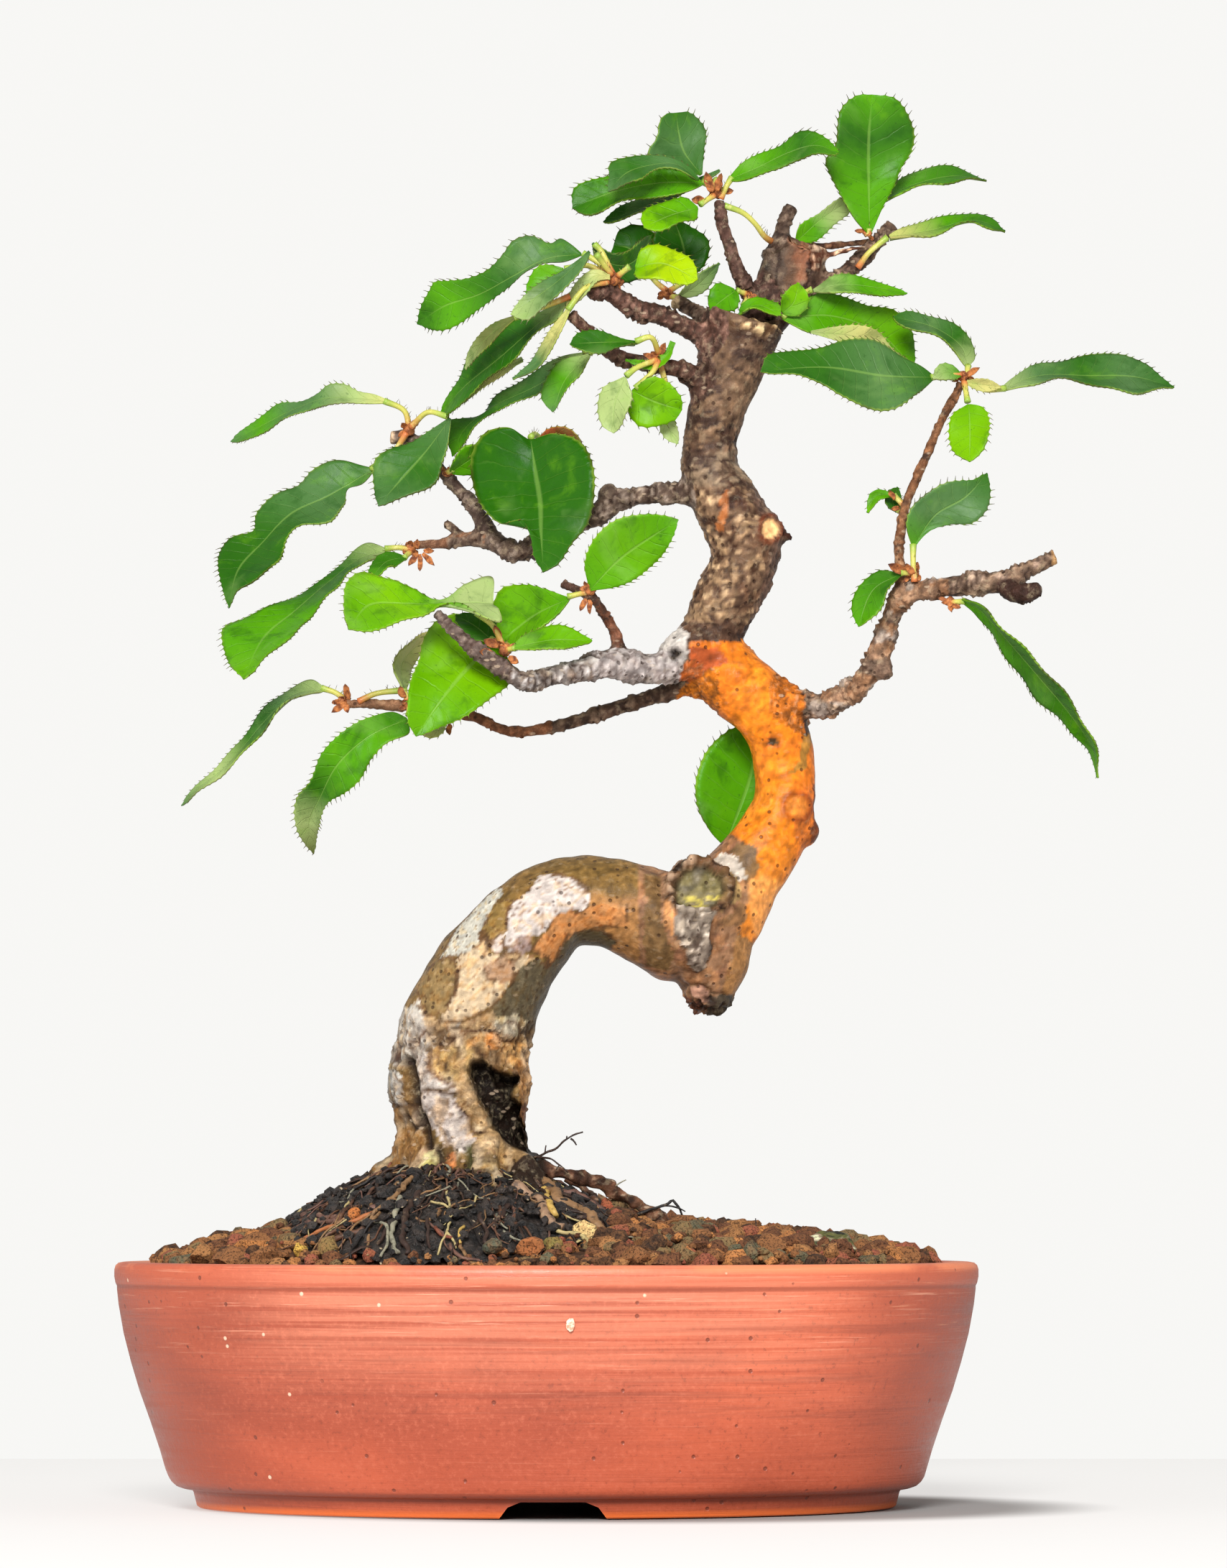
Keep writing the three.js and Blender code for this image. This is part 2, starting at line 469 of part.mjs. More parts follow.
// Leaf sprays. Each has a bud that sits on the wood, the leaves and their stalks fused to it.
// A leaf is [stalk points [x, z, depth], blade spine [x, z], depth list, width, turn list].
const sprays = {
  leaves_low_left: {
    bud: [-7.4, 148.9, -8.2, 2],
    leaves: [
      [[[-7.8, 149.6, -8.8], [-9.2, 152.5, -10], [-9.4, 156.8, -11]],
        [[-9, 156.6], [-13.5, 157], [-18, 157], [-24, 158.4], [-30, 157.3], [-34.7, 151]], [-11, -16], 10,
        [170, 95, 20, 5]],
      [[[-7, 148.9, -9], [-4.6, 148.7, -10.5]], [[-5, 148.6], [3, 151], [8, 150]], [-10.5, -13], 7, [-55]],
      [[[-7.2, 149.2, -7.2], [-7, 149.4, -4.6], [-8, 148.2, -2.2]],
        [[-7.6, 148.6], [-14, 142.5], [-23.5, 134]], [-2.2, 0], 14, [20]],
      [[[-7.6, 149.6, -7.4], [-9.8, 150.8, -5.4]], [[-9.2, 150.2], [-12.5, 153], [-16, 155]], [-5.4, -4], 7, [35]],
    ],
  },
  leaves_low_middle: {
    bud: [7.6, 159.3, -7.4, 1.6],
    leaves: [
      [[[7.6, 159.6, -7.6], [8.6, 160.8, -8.6]], [[8.4, 160.6], [15, 167], [23.3, 172]], [-8.6, -13], 9, [25]],
      [[[7, 159, -7], [3.2, 158.4, -6]], [[3.4, 158.4], [-2, 154.5], [-8, 150]], [-6, 4], 9, [20]],
    ],
  },
  leaves_left_far: {
    bud: [-35.8, 139.9, 16, 1.5],
    leaves: [
      [[[-35.8, 140, 16], [-38, 141.6, 16]],
        [[-37.6, 141.5], [-41.5, 142.2], [-48, 138.5], [-55, 132], [-61, 126], [-64, 121.3]], [16, 10], 8, [76]],
    ],
  },
  leaves_left_low: {
    bud: [-24, 139.3, 12.6, 1.4],
    leaves: [
      [[[-24, 139, 12], [-25, 137.6, 11.4]],
        [[-24.8, 137.7], [-30, 135.6], [-36, 131], [-41, 123.5], [-42.4, 118], [-40.6, 113.4]], [11.4, 7], 8,
        [30, 25, 20, 70, 80]],
      [[[-24.4, 140, 12.4], [-25, 142, 12.6]], [[-25, 142], [-25.3, 146.5], [-20, 152]], [12.6, 14], 5, [72]],
    ],
  },
  leaves_left_middle: {
    bud: [-23.9, 166.9, 4.8, 1.6],
    leaves: [
      [[[-24, 166.8, 4.8], [-26.6, 167.2, 4.6]],
        [[-26, 167.1], [-32, 166.8], [-40, 162.5], [-47, 155.5], [-52, 149], [-53.5, 144]], [4.6, -2], 9, [42]],
      [[[-24, 166, 4.4], [-25, 165, 3.4]], [[-24.8, 165.1], [-28, 164], [-31, 161]], [3.4, 1], 5, [60]],
    ],
  },
  leaves_left_upper: {
    bud: [-24.2, 187.5, -2.4, 1.8],
    leaves: [
      [[[-24.3, 187.8, -2], [-25, 190.6, -1]],
        [[-25, 190.5], [-28, 192.8], [-35, 194.5], [-42, 192.3], [-50, 189], [-56, 186]], [-1, 4], 9, [70]],
      [[[-23.8, 188, -3.4], [-21.6, 190.6, -4.6], [-19.8, 190.6, -5.4]],
        [[-20, 190.6], [-22.5, 184.5], [-29.5, 175]], [-5.4, -10], 12, [25]],
      [[[-24.6, 187, -3.6], [-27, 183.6, -4.4], [-31.2, 181.4, -3]],
        [[-31, 181.5], [-40, 175], [-50, 167], [-55, 161], [-56.3, 156.5]], [-3, -5], 11, [30]],
    ],
  },
  leaf_left_small: {
    bud: [-17.6, 179.9, -1.2, 1.2],
    leaves: [
      [[[-17.6, 179.9, -1.4], [-16.4, 180.6, -2.2]], [[-16.6, 180.5], [-13, 183], [-9.5, 185]], [-2.2, -2], 6, [45]],
    ],
  },
  leaf_broad: {
    bud: [2, 172.4, 4.4, 1.4],
    leaves: [
      [[[2, 172.8, 4.6], [2, 178, 5], [0, 185, 4], [-2.6, 188.2, 0], [-3.4, 187.4, -3]],
        [[-3.4, 187.6], [-2.4, 178], [-1, 163]], [-3, -9], 22, [0]],
    ],
  },
  leaves_top_left: {
    bud: [11.6, 214, -6.4, 2],
    leaves: [
      [[[11, 214.6, -6], [8.4, 217.6, -5], [5.6, 219, -4]],
        [[6, 219], [-5, 215.5], [-12, 211], [-22, 207]], [-4, 4], 10, [37]],
      [[[11.4, 215, -5], [9.4, 219, -3], [8.4, 220.6, -2.6]],
        [[8.4, 220.8], [12, 217.4], [15, 218], [18, 222]], [-2.6, 2], 6, [45]],
      [[[12.4, 214.6, -7], [16.6, 217.2, -8.6]], [[16.4, 217.2], [20, 217], [26.5, 215]], [-8.6, -12], 7, [-40]],
      [[[11.2, 214.8, -7.4], [8.6, 219.4, -10]], [[8.8, 219.4], [2, 214], [-6.5, 208.5]], [-10, -13], 7, [50]],
      [[[10.6, 214.4, -7.2], [4.6, 213.6, -7.6]],
        [[5, 213.6], [0, 209], [-8, 202], [-14, 196.5], [-19.5, 190.5]], [-7.6, -3], 8, [60]],
      [[[10.6, 213.6, -7.6], [4.4, 212.6, -10.4]], [[4.6, 212.8], [2, 207], [-1, 201.5], [-6.5, 197]], [-10.4, -12],
        5, [60]],
    ],
  },
  leaves_upper_left: {
    bud: [19.6, 200.1, -6.6, 1.6],
    leaves: [
      [[[19.6, 200.8, -7], [17, 204, -11]], [[17.2, 204], [12.5, 203.6], [4, 203]], [-11, -15], 6, [48]],
      [[[19.4, 199.6, -8], [15.6, 197.6, -9.6], [14.6, 194.6, -9.6]],
        [[14.6, 194.7], [19, 192.3], [24, 191.5]], [-9.6, -8], 9, [25]],
      [[[19.2, 199.8, -8], [15.6, 198.4, -11], [14.2, 196.6, -12]], [[14.2, 196.8], [12.5, 192], [11.5, 187.5]],
        [-12, -12], 6, [30]],
    ],
  },
  leaves_upper_left_end: {
    bud: [8.4, 202.6, -5, 1.5],
    leaves: [
      [[[8.2, 202, -5], [6.8, 200.2, -5.4]], [[7, 200.4], [3, 197], [0, 192.5]], [-5.4, -7], 5, [45]],
      [[[8, 202.6, -4.4], [5.6, 201, -2]], [[6, 201.2], [0, 197.5], [-8, 193], [-14, 188.5], [-17, 183.5]], [-2, 0],
        8, [58]],
    ],
  },
  leaves_crown: {
    bud: [30, 229.4, 0, 1.9],
    leaves: [
      [[[30.6, 229.8, -0.4], [32.4, 232, -1]],
        [[32.2, 232], [36, 233.8], [40, 236], [46, 239], [51.5, 237.5]], [-1, -5], 8, [-62]],
      [[[29.4, 229.8, 0], [27.6, 231, 0]], [[28, 231], [20, 231.6], [12, 230.5], [3.2, 229.4]], [0, 6], 10, [37]],
      [[[29.4, 229.4, 1], [26.6, 230.6, 3.4]], [[27, 230.6], [22, 229.5], [15, 227], [10, 225]], [3.4, 8], 8, [66]],
      [[[29.4, 230.2, 1], [27.2, 232.4, 2.4]], [[27.3, 232], [25.8, 238], [23.5, 244.8]], [2.4, 1], 9, [25]],
      [[[29.2, 230, -1], [26.4, 232.8, -2.6]], [[26.8, 232.6], [20, 235.4], [11.5, 232.5]], [-2.6, -5], 8, [58]],
      [[[29.2, 228.8, -1.2], [26.2, 227.9, -3]], [[26.6, 228], [22, 226.5], [17.2, 224]], [-3, -7], 7, [42]],
    ],
  },
  leaves_top_back: {
    bud: [21, 211.4, 7.6, 1.6],
    leaves: [
      [[[21.2, 211.8, 8], [24, 214.6, 9.6]], [[23.8, 214.2], [24, 219], [22, 226]], [9.6, 11], 10, [36]],
      [[[20.8, 212, 8], [18.6, 217, 9], [17, 220.4, 9]], [[17.4, 220.2], [14.4, 221.4], [11.5, 221]], [9, 11], 6, [20]],
    ],
  },
  leaves_top_front: {
    bud: [35.2, 211, 1.6, 1.4],
    leaves: [
      [[[35.2, 210.8, 1.2], [34.4, 209.4, -0.8]], [[34, 209], [36.4, 210.8], [41.5, 208.5]], [-1, -4], 5, [-55]],
      [[[34.8, 211.4, 1.2], [33.2, 212.8, 0]], [[33.4, 212.8], [31.4, 212], [29, 210]], [0, -3], 5.4, [10]],
    ],
  },
  leaves_top_right: {
    bud: [56, 222.4, 6.4, 1.7],
    leaves: [
      [[[56.2, 222.6, 6], [57, 224.4, 5.6]], [[57, 223], [57, 235], [56.8, 247.8]], [5.6, 6], 15, [18]],
      [[[56.8, 222, 5.4], [59, 221.6, 4.4], [61.4, 222, 4]], [[61, 222], [68, 223.5], [76, 225], [80.3, 222.5]], [4, 0],
        8, [-66]],
      [[[56.4, 223, 7], [58, 227.4, 7.6], [60.6, 229.8, 8]], [[60, 229.5], [67, 232], [72, 232.2], [77, 231.5]],
        [8, 11], 8, [-66]],
    ],
  },
  leaves_top_right_low: {
    bud: [43.6, 210.8, 1.9, 1.6],
    leaves: [
      [[[43.4, 210.4, 1.4], [43, 208.6, 0]], [[42.6, 208.2], [50, 209], [58, 207], [64.8, 199]], [-0.6, 4], 9, [-38]],
      [[[44, 211.2, 1.2], [47.4, 213.2, 0]], [[47, 213], [51, 214], [56, 213.6], [63.5, 211]], [0, -3], 7, [-62]],
    ],
  },
  leaves_right_top: {
    bud: [72.8, 196.9, -6.2, 1.7],
    leaves: [
      [[[72.4, 197.2, -6.8], [69.6, 198, -8]], [[70, 197.9], [57, 197.5], [47, 198.5], [36.5, 198]], [-8, -14], 12,
        [33]],
      [[[73.4, 197.6, -6], [74.4, 200, -5.4], [73.2, 203.6, -4.8]], [[73.6, 203.2], [68, 207], [60.5, 208.5]],
        [-4.8, -3], 6, [60]],
      [[[73, 196, -7], [74, 192, -8]], [[73.9, 192.6], [74.3, 187], [74.5, 182.5]], [-8, -9], 7.4, [25]],
      [[[73.6, 196.8, -6], [80, 195.4, -5]], [[79.4, 195.4], [88, 197.5], [96, 197.3], [110.3, 195.7]], [-5, -2], 9,
        [-55]],
    ],
  },
  leaves_right_base: {
    bud: [64, 162.4, -4.4, 1.7],
    leaves: [
      [[[64.2, 162.8, -5], [64.8, 167, -5.4], [66.6, 173.2, -5.6]], [[66.5, 172.8], [71, 176], [77.3, 180.5]],
        [-5.6, -8], 8, [42]],
      [[[63.4, 162.4, -5.4], [60.8, 162, -6.2]], [[61.2, 162], [58, 160.6], [55, 153.5]], [-6.2, -9], 6, [50]],
    ],
  },
  leaf_right_hanging: {
    bud: [70.4, 157.3, -3.6, 1.4],
    leaves: [
      [[[70.6, 157.2, -3.8], [73, 157.4, -4.2]],
        [[72.6, 157.4], [75.4, 156], [80, 151], [86, 144], [91, 138], [95, 132], [96, 126.5]], [-4.2, -9], 8, [70]],
    ],
  },
  leaf_behind_trunk: {
    bud: [31, 112.6, 8, 1.8],
    leaves: [
      [[[31, 112.8, 8.4], [31.4, 115.2, 10.6]], [[31.2, 114.8], [33, 120], [36, 128], [38, 136]], [10.6, 12.4], 13, [18]],
    ],
  },
};

for (const [name, spray] of Object.entries(sprays)) {
  const [x, z, y, radius] = spray.bud;
  const bud = new THREE.SphereGeometry(radius, 6, 4);
  bud.rotateX(Math.PI / 2);
  const centre = seen(x, z, y);
  bud.translate(centre.x, centre.y, centre.z);
  const bodies = [solid(bud)];
  for (const [stalk, spine, depth, width, turn] of spray.leaves) {
    const tube = stalk.map(([sx, sz, sy]) => [sx, sz, sy, PETIOLE_RADIUS]);
    bodies.push(limb(tube, 3, stalk.length));
    bodies.push(blade({ spine, depth, width, turn }));
  }
  const whole = joined(bodies).subtract(woodFat);
  addMesh(name, largest(whole), leafMaterial);
}

// The origin is the middle of the bottom of the whole.
root.updateMatrixWorld(true);
const box = new THREE.Box3().setFromObject(root);
root.position.set(-(box.min.x + box.max.x) / 2, -(box.min.y + box.max.y) / 2, -box.min.z);
root.updateMatrixWorld(true);

export default root;
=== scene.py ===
"""A small quince bonsai with an S-shaped trunk, in an oval pot of unglazed red stoneware."""
import math
import random

import bmesh
import bpy
import numpy as np
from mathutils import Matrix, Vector, noise
from mathutils.kdtree import KDTree


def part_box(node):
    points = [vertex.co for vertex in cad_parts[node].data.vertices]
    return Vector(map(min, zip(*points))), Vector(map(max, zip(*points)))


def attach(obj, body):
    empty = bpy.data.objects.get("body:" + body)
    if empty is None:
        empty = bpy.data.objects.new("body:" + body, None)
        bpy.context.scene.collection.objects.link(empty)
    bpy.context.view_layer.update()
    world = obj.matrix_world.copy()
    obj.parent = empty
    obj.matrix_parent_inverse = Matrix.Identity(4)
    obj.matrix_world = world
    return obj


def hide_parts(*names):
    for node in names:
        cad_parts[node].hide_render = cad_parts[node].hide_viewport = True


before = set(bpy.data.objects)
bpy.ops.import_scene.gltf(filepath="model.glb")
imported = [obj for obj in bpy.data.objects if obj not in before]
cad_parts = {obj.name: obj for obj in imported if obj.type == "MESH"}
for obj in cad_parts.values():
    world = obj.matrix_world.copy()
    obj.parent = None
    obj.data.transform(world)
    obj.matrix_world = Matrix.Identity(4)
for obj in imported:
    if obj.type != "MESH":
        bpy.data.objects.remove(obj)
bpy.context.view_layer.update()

# The view. The tree was looked at from 1.2 m away with a long lens, a little above the rim of
# the pot and turned slightly up. Heights and widths below are read on the plane through the
# middle of the pot, in millimetres from the middle of its foot.
MM = 0.001
pot_low, pot_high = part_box("pot")
FOOT = Vector(((pot_low[0] + pot_high[0]) / 2, (pot_low[1] + pot_high[1]) / 2, pot_low[2]))
VIEW_DISTANCE = 1200
VIEW_X = 11.6
VIEW_Z = 56

camera_data = bpy.data.cameras.new("camera")
camera_data.sensor_width = 36
camera_data.lens = 158.2
camera = bpy.data.objects.new("camera", camera_data)
camera.location = FOOT + Vector((VIEW_X, -VIEW_DISTANCE, VIEW_Z)) * MM
camera.rotation_euler = (math.radians(90 + 3.311), 0, 0)
bpy.context.collection.objects.link(camera)
bpy.context.scene.camera = camera
bpy.context.scene.view_settings.view_transform = "Standard"

# The studio. A white sheet underfoot that glows, its glow fading out under and close round the pot
# as a painted contact shadow; white all round, one lamp above the camera and two weaker ones at the sides.
SHEET_WHITE = (0.34, 0.334, 0.326, 1)
SHEET_GLOW = (1, 0.985, 0.965, 1)
SHEET_BACK = 0.21
SHEET_DEPTH = 2.0
SHEET_BELOW = 0.0002
AROUND_WHITE = (0.95, 0.945, 0.925, 1)


def put(tree, kind, inputs=None, **settings):
    made = tree.nodes.new(kind)
    for name, value in settings.items():
        setattr(made, name, value)
    for key, value in (inputs or {}).items():
        if isinstance(value, bpy.types.NodeSocket):
            tree.links.new(value, made.inputs[key])
        else:
            made.inputs[key].default_value = value
    return made


def new_material(name, roughness, specular=0.5):
    material = bpy.data.materials.new(name)
    material.use_nodes = True
    tree = material.node_tree
    surface = tree.nodes["Principled BSDF"]
    surface.inputs["Roughness"].default_value = roughness
    surface.inputs["Specular IOR Level"].default_value = specular
    return material, tree, surface


def piece(name, bm, *materials):
    mesh = bpy.data.meshes.new(name)
    bm.to_mesh(mesh)
    bm.free()
    for material in materials:
        mesh.materials.append(material)
    made = bpy.data.objects.new(name, mesh)
    bpy.context.collection.objects.link(made)
    return made


sheet_material, sheet_tree, sheet_surface = new_material("white_sheet", 0.8, 0.1)
sheet_surface.inputs["Base Color"].default_value = SHEET_WHITE
sheet_surface.inputs["Emission Color"].default_value = SHEET_GLOW
sheet_place = put(sheet_tree, "ShaderNodeVectorMath", {
    0: put(sheet_tree, "ShaderNodeTexCoord").outputs["Object"],
    1: (1 / 0.064, 1 / 0.0487, 0)}, operation="MULTIPLY")
sheet_out = put(sheet_tree, "ShaderNodeVectorMath", {0: sheet_place.outputs[0]}, operation="LENGTH")
# Painted contact shadow: the sheet's glow is nothing near the pot's foot and full away from it.
glow_and_painted_shadow = put(sheet_tree, "ShaderNodeMapRange", {
    "Value": sheet_out.outputs["Value"], "From Min": 0.94, "From Max": 1.3, "To Min": 0.0, "To Max": 0.56},
    interpolation_type="SMOOTHSTEP")
sheet_tree.links.new(glow_and_painted_shadow.outputs["Result"], sheet_surface.inputs["Emission Strength"])
sheet_mesh = bmesh.new()
bmesh.ops.create_grid(sheet_mesh, x_segments=2, y_segments=2, size=1)
bmesh.ops.scale(sheet_mesh, verts=sheet_mesh.verts, vec=(1.6, SHEET_DEPTH / 2, 1))
sheet_spot = (0, SHEET_BACK - SHEET_DEPTH / 2, FOOT.z - SHEET_BELOW)
bmesh.ops.translate(sheet_mesh, verts=sheet_mesh.verts, vec=sheet_spot)
piece("studio_sheet", sheet_mesh, sheet_material)

world = bpy.data.worlds.new("studio")
bpy.context.scene.world = world
world.use_nodes = True
around = world.node_tree.nodes["Background"]
around.inputs["Color"].default_value = AROUND_WHITE
around.inputs["Strength"].default_value = 0.5
seen_around = put(world.node_tree, "ShaderNodeBackground", {"Color": AROUND_WHITE, "Strength": 0.985})
camera_ray = put(world.node_tree, "ShaderNodeLightPath")
both = put(world.node_tree, "ShaderNodeMixShader", {0: camera_ray.outputs["Is Camera Ray"]})
world.node_tree.links.new(around.outputs[0], both.inputs[1])
world.node_tree.links.new(seen_around.outputs[0], both.inputs[2])
world.node_tree.links.new(both.outputs[0], world.node_tree.nodes["World Output"].inputs["Surface"])

for name, place, size, power in [
    ("front_light", (-0.12, -1.3, 0.72), 0.45, 26),
    ("side_light_left", (-1.0, -0.45, 0.5), 0.7, 2),
    ("side_light_right", (1.05, -0.3, 0.55), 0.7, 1.6),
]:
    light_data = bpy.data.lights.new(name, "AREA")
    light_data.size = size
    light_data.energy = power
    light = bpy.data.objects.new(name, light_data)
    light.location = place
    light.rotation_euler = (Vector((0, 0, 0.1)) - Vector(place)).to_track_quat("-Z", "Y").to_euler()
    bpy.context.collection.objects.link(light)

# The pot. Red stoneware turned and pressed to an oval, unglazed, with a rounded rim, a round
# lower corner and a low foot ring. The foot is cut away in a flat arch at the front and the
# back, and two drain holes go through the floor. Wiping left fine level streaks on the wall.
POT_FLATTENED = 57 / 75
POT_PROFILE = [
    (0, 3.4), (30, 3.4), (55.5, 3.4), (55.7, 2.6), (56, 0.2), (56.3, 0), (60.2, 0), (60.6, 0.3),
    (61.2, 2.6), (61.5, 3.1), (62, 3.3), (63.2, 3.35), (64.2, 3.7), (65, 4.4), (65.5, 5.2), (66, 6.6),
    (67, 10), (68.7, 15), (70.5, 20), (72, 25), (73.3, 30), (74.2, 35), (74.5, 37.6), (74.52, 38.2),
    (74.78, 38.7), (75, 39.8), (75, 41), (74.8, 41.7), (74.3, 42.15), (73.5, 42.3), (71.2, 42.3),
    (70.3, 42.05), (69.7, 41.4), (69.2, 39.5), (68.8, 37.4), (66.7, 28), (63, 17.3), (59, 10), (55, 8),
    (30, 8), (0, 8),
]
NOTCH_OUTLINE = [(-9, -2), (9, -2), (9, 0), (7.6, 1.9), (5.4, 2.8), (-5.4, 2.8), (-7.6, 1.9), (-9, 0)]
NOTCH_X = 1.5
DRAIN_X = 30
DRAIN_RADIUS = 7
FOOT_RING_TOP = 0.006


def earth(red, green, blue):
    """A colour given as the eye reads it, 0 to 255, turned into light."""
    def light(value):
        value = value / 255
        return value / 12.92 if value <= 0.04045 else ((value + 0.055) / 1.055) ** 2.4
    return (light(red), light(green), light(blue), 1)


def cut_away(body, cutter_mesh):
    cutter = piece("cutter", cutter_mesh)
    cut = body.modifiers.new("cut", "BOOLEAN")
    cut.operation = "DIFFERENCE"
    cut.solver = "EXACT"
    cut.object = cutter
    finished = bpy.data.meshes.new_from_object(body.evaluated_get(bpy.context.evaluated_depsgraph_get()))
    body.modifiers.clear()
    body.data = finished
    bpy.data.objects.remove(cutter)


def verts_of(made):
    """The vertices among what an operator made."""
    return [part for part in made["geom"] if isinstance(part, bmesh.types.BMVert)]


def soften(body, sharp_degrees):
    bm = bmesh.new()
    bm.from_mesh(body.data)
    for face in bm.faces:
        face.smooth = True
    for edge in bm.edges:
        if len(edge.link_faces) == 2:
            edge.smooth = edge.calc_face_angle() < math.radians(sharp_degrees)
    bm.to_mesh(body.data)
    bm.free()


pot_mesh = bmesh.new()
profile = [pot_mesh.verts.new((r * MM, 0, z * MM)) for r, z in POT_PROFILE]
for lower, upper in zip(profile, profile[1:]):
    pot_mesh.edges.new((lower, upper))
bmesh.ops.spin(
    pot_mesh, geom=pot_mesh.verts[:] + pot_mesh.edges[:], cent=(0, 0, 0), axis=(0, 0, 1),
    angle=math.tau, steps=180, use_merge=True,
)
bmesh.ops.remove_doubles(pot_mesh, verts=pot_mesh.verts, dist=1e-6)
bmesh.ops.scale(pot_mesh, verts=pot_mesh.verts, vec=(1, POT_FLATTENED, 1))
for vert in pot_mesh.verts:
    if vert.co.z > FOOT_RING_TOP:
        unevenness = noise.noise(vert.co * 22) * 0.00025
        unevenness += noise.noise(vert.co * 60 + Vector((5, 2, 1))) * 0.00008
        vert.co.x += unevenness * vert.co.x / 0.075
        vert.co.y += unevenness * vert.co.y / 0.057
bmesh.ops.translate(pot_mesh, verts=pot_mesh.verts, vec=FOOT)
bmesh.ops.recalc_face_normals(pot_mesh, faces=pot_mesh.faces)
pot = piece("stoneware_pot", pot_mesh)

notch_mesh = bmesh.new()
corners = [notch_mesh.verts.new(((NOTCH_X + x) * MM, -0.08, z * MM)) for x, z in NOTCH_OUTLINE]
notch_face = notch_mesh.faces.new(corners)
through = bmesh.ops.extrude_face_region(notch_mesh, geom=[notch_face])
bmesh.ops.translate(notch_mesh, vec=(0, 0.16, 0), verts=verts_of(through))
bmesh.ops.translate(notch_mesh, verts=notch_mesh.verts, vec=FOOT)
bmesh.ops.recalc_face_normals(notch_mesh, faces=notch_mesh.faces)
cut_away(pot, notch_mesh)
for side in (-1, 1):
    drain_mesh = bmesh.new()
    bmesh.ops.create_cone(
        drain_mesh, cap_ends=True, segments=48, radius1=DRAIN_RADIUS * MM, radius2=DRAIN_RADIUS * MM,
        depth=0.02)
    drain_spot = FOOT + Vector((side * DRAIN_X * MM, 0, 0.005))
    bmesh.ops.translate(drain_mesh, verts=drain_mesh.verts, vec=drain_spot)
    cut_away(pot, drain_mesh)
soften(pot, 50)


def mix_colour(tree, factor, first, second):
    return put(tree, "ShaderNodeMix", {0: factor, 6: first, 7: second}, data_type="RGBA").outputs[2]


def layered(tree, ground, layers):
    """A ground colour with others laid over it in turn, each by its own factor."""
    for factor, tone in layers:
        ground = mix_colour(tree, factor, ground, earth(*tone))
    return ground


def between(tree, value, low, high, to_low=0.0, to_high=1.0):
    ranged = put(
        tree, "ShaderNodeMapRange",
        {"Value": value, "From Min": low, "From Max": high, "To Min": to_low, "To Max": to_high},
        interpolation_type="SMOOTHSTEP")
    return ranged.outputs["Result"]


def stretched(tree, scale=(1, 1, 1), shift=(0, 0, 0)):
    place = put(tree, "ShaderNodeTexCoord")
    mapping = put(tree, "ShaderNodeMapping", {
        "Vector": place.outputs["Object"], "Scale": scale, "Location": shift})
    return mapping.outputs["Vector"]


def clouds(tree, vector, scale, detail=4.0, roughness=0.55, distortion=0.0):
    made = put(tree, "ShaderNodeTexNoise", {
        "Vector": vector, "Scale": scale, "Detail": detail, "Roughness": roughness,
        "Distortion": distortion})
    return made.outputs["Fac"]


def times(tree, first, second):
    return put(tree, "ShaderNodeMath", {0: first, 1: second}, operation="MULTIPLY").outputs[0]


def plus(tree, first, second):
    return put(tree, "ShaderNodeMath", {0: first, 1: second}, operation="ADD").outputs[0]


def weighed(tree, *parts):
    """Values added up, each times its own share."""
    total = None
    for value, share in parts:
        shared = times(tree, value, share)
        total = shared if total is None else plus(tree, total, shared)
    return total


def dots(tree, vector, scale, edge, core, channel, rarity):
    """Round dots in the cells of a pattern, in those alone whose own number is past the rarity."""
    cells = put(tree, "ShaderNodeTexVoronoi", {"Vector": vector, "Scale": scale})
    own = put(tree, "ShaderNodeSeparateColor", {0: cells.outputs["Color"]})
    return times(tree, between(tree, cells.outputs["Distance"], edge, core),
                 between(tree, own.outputs[channel], *rarity))


def from_layer(tree, name, output="Color"):
    return put(tree, "ShaderNodeAttribute", attribute_name=name).outputs[output]


def raise_surface(tree, surface, height, strength, distance):
    bump = put(tree, "ShaderNodeBump", {"Height": height, "Strength": strength, "Distance": distance})
    tree.links.new(bump.outputs["Normal"], surface.inputs["Normal"])


stoneware, tree, surface = new_material("red_stoneware", 0.4, 0.45)
spot = put(tree, "ShaderNodeSeparateXYZ", {0: stretched(tree)})
height_up = spot.outputs["Z"]
from_middle = put(
    tree, "ShaderNodeMath", {0: plus(tree, spot.outputs["X"], -FOOT.x)}, operation="ABSOLUTE").outputs[0]
streaks = clouds(tree, stretched(tree, (14, 14, 420)), 1, 6, 0.65, 0.6)
fine_streaks = clouds(tree, stretched(tree, (45, 45, 2300), (3, 1, 0)), 1, 4, 0.7)
slanted = put(tree, "ShaderNodeMapping", {
    "Vector": put(tree, "ShaderNodeTexCoord").outputs["Object"], "Rotation": (0, 0.24, 0),
    "Scale": (40, 40, 1500)})
slant_streaks = clouds(tree, slanted.outputs["Vector"], 1, 4, 0.7)
smoke = clouds(tree, stretched(tree, (13, 13, 30), (0.35, 0.2, 0.1)), 1, 3, 0.5, 0.5)
blotches = clouds(tree, stretched(tree, (34, 34, 62), (1, 4, 2)), 1, 5, 0.6, 0.4)
grit = clouds(tree, stretched(tree, (1100, 1100, 1100)), 1, 3, 0.7)
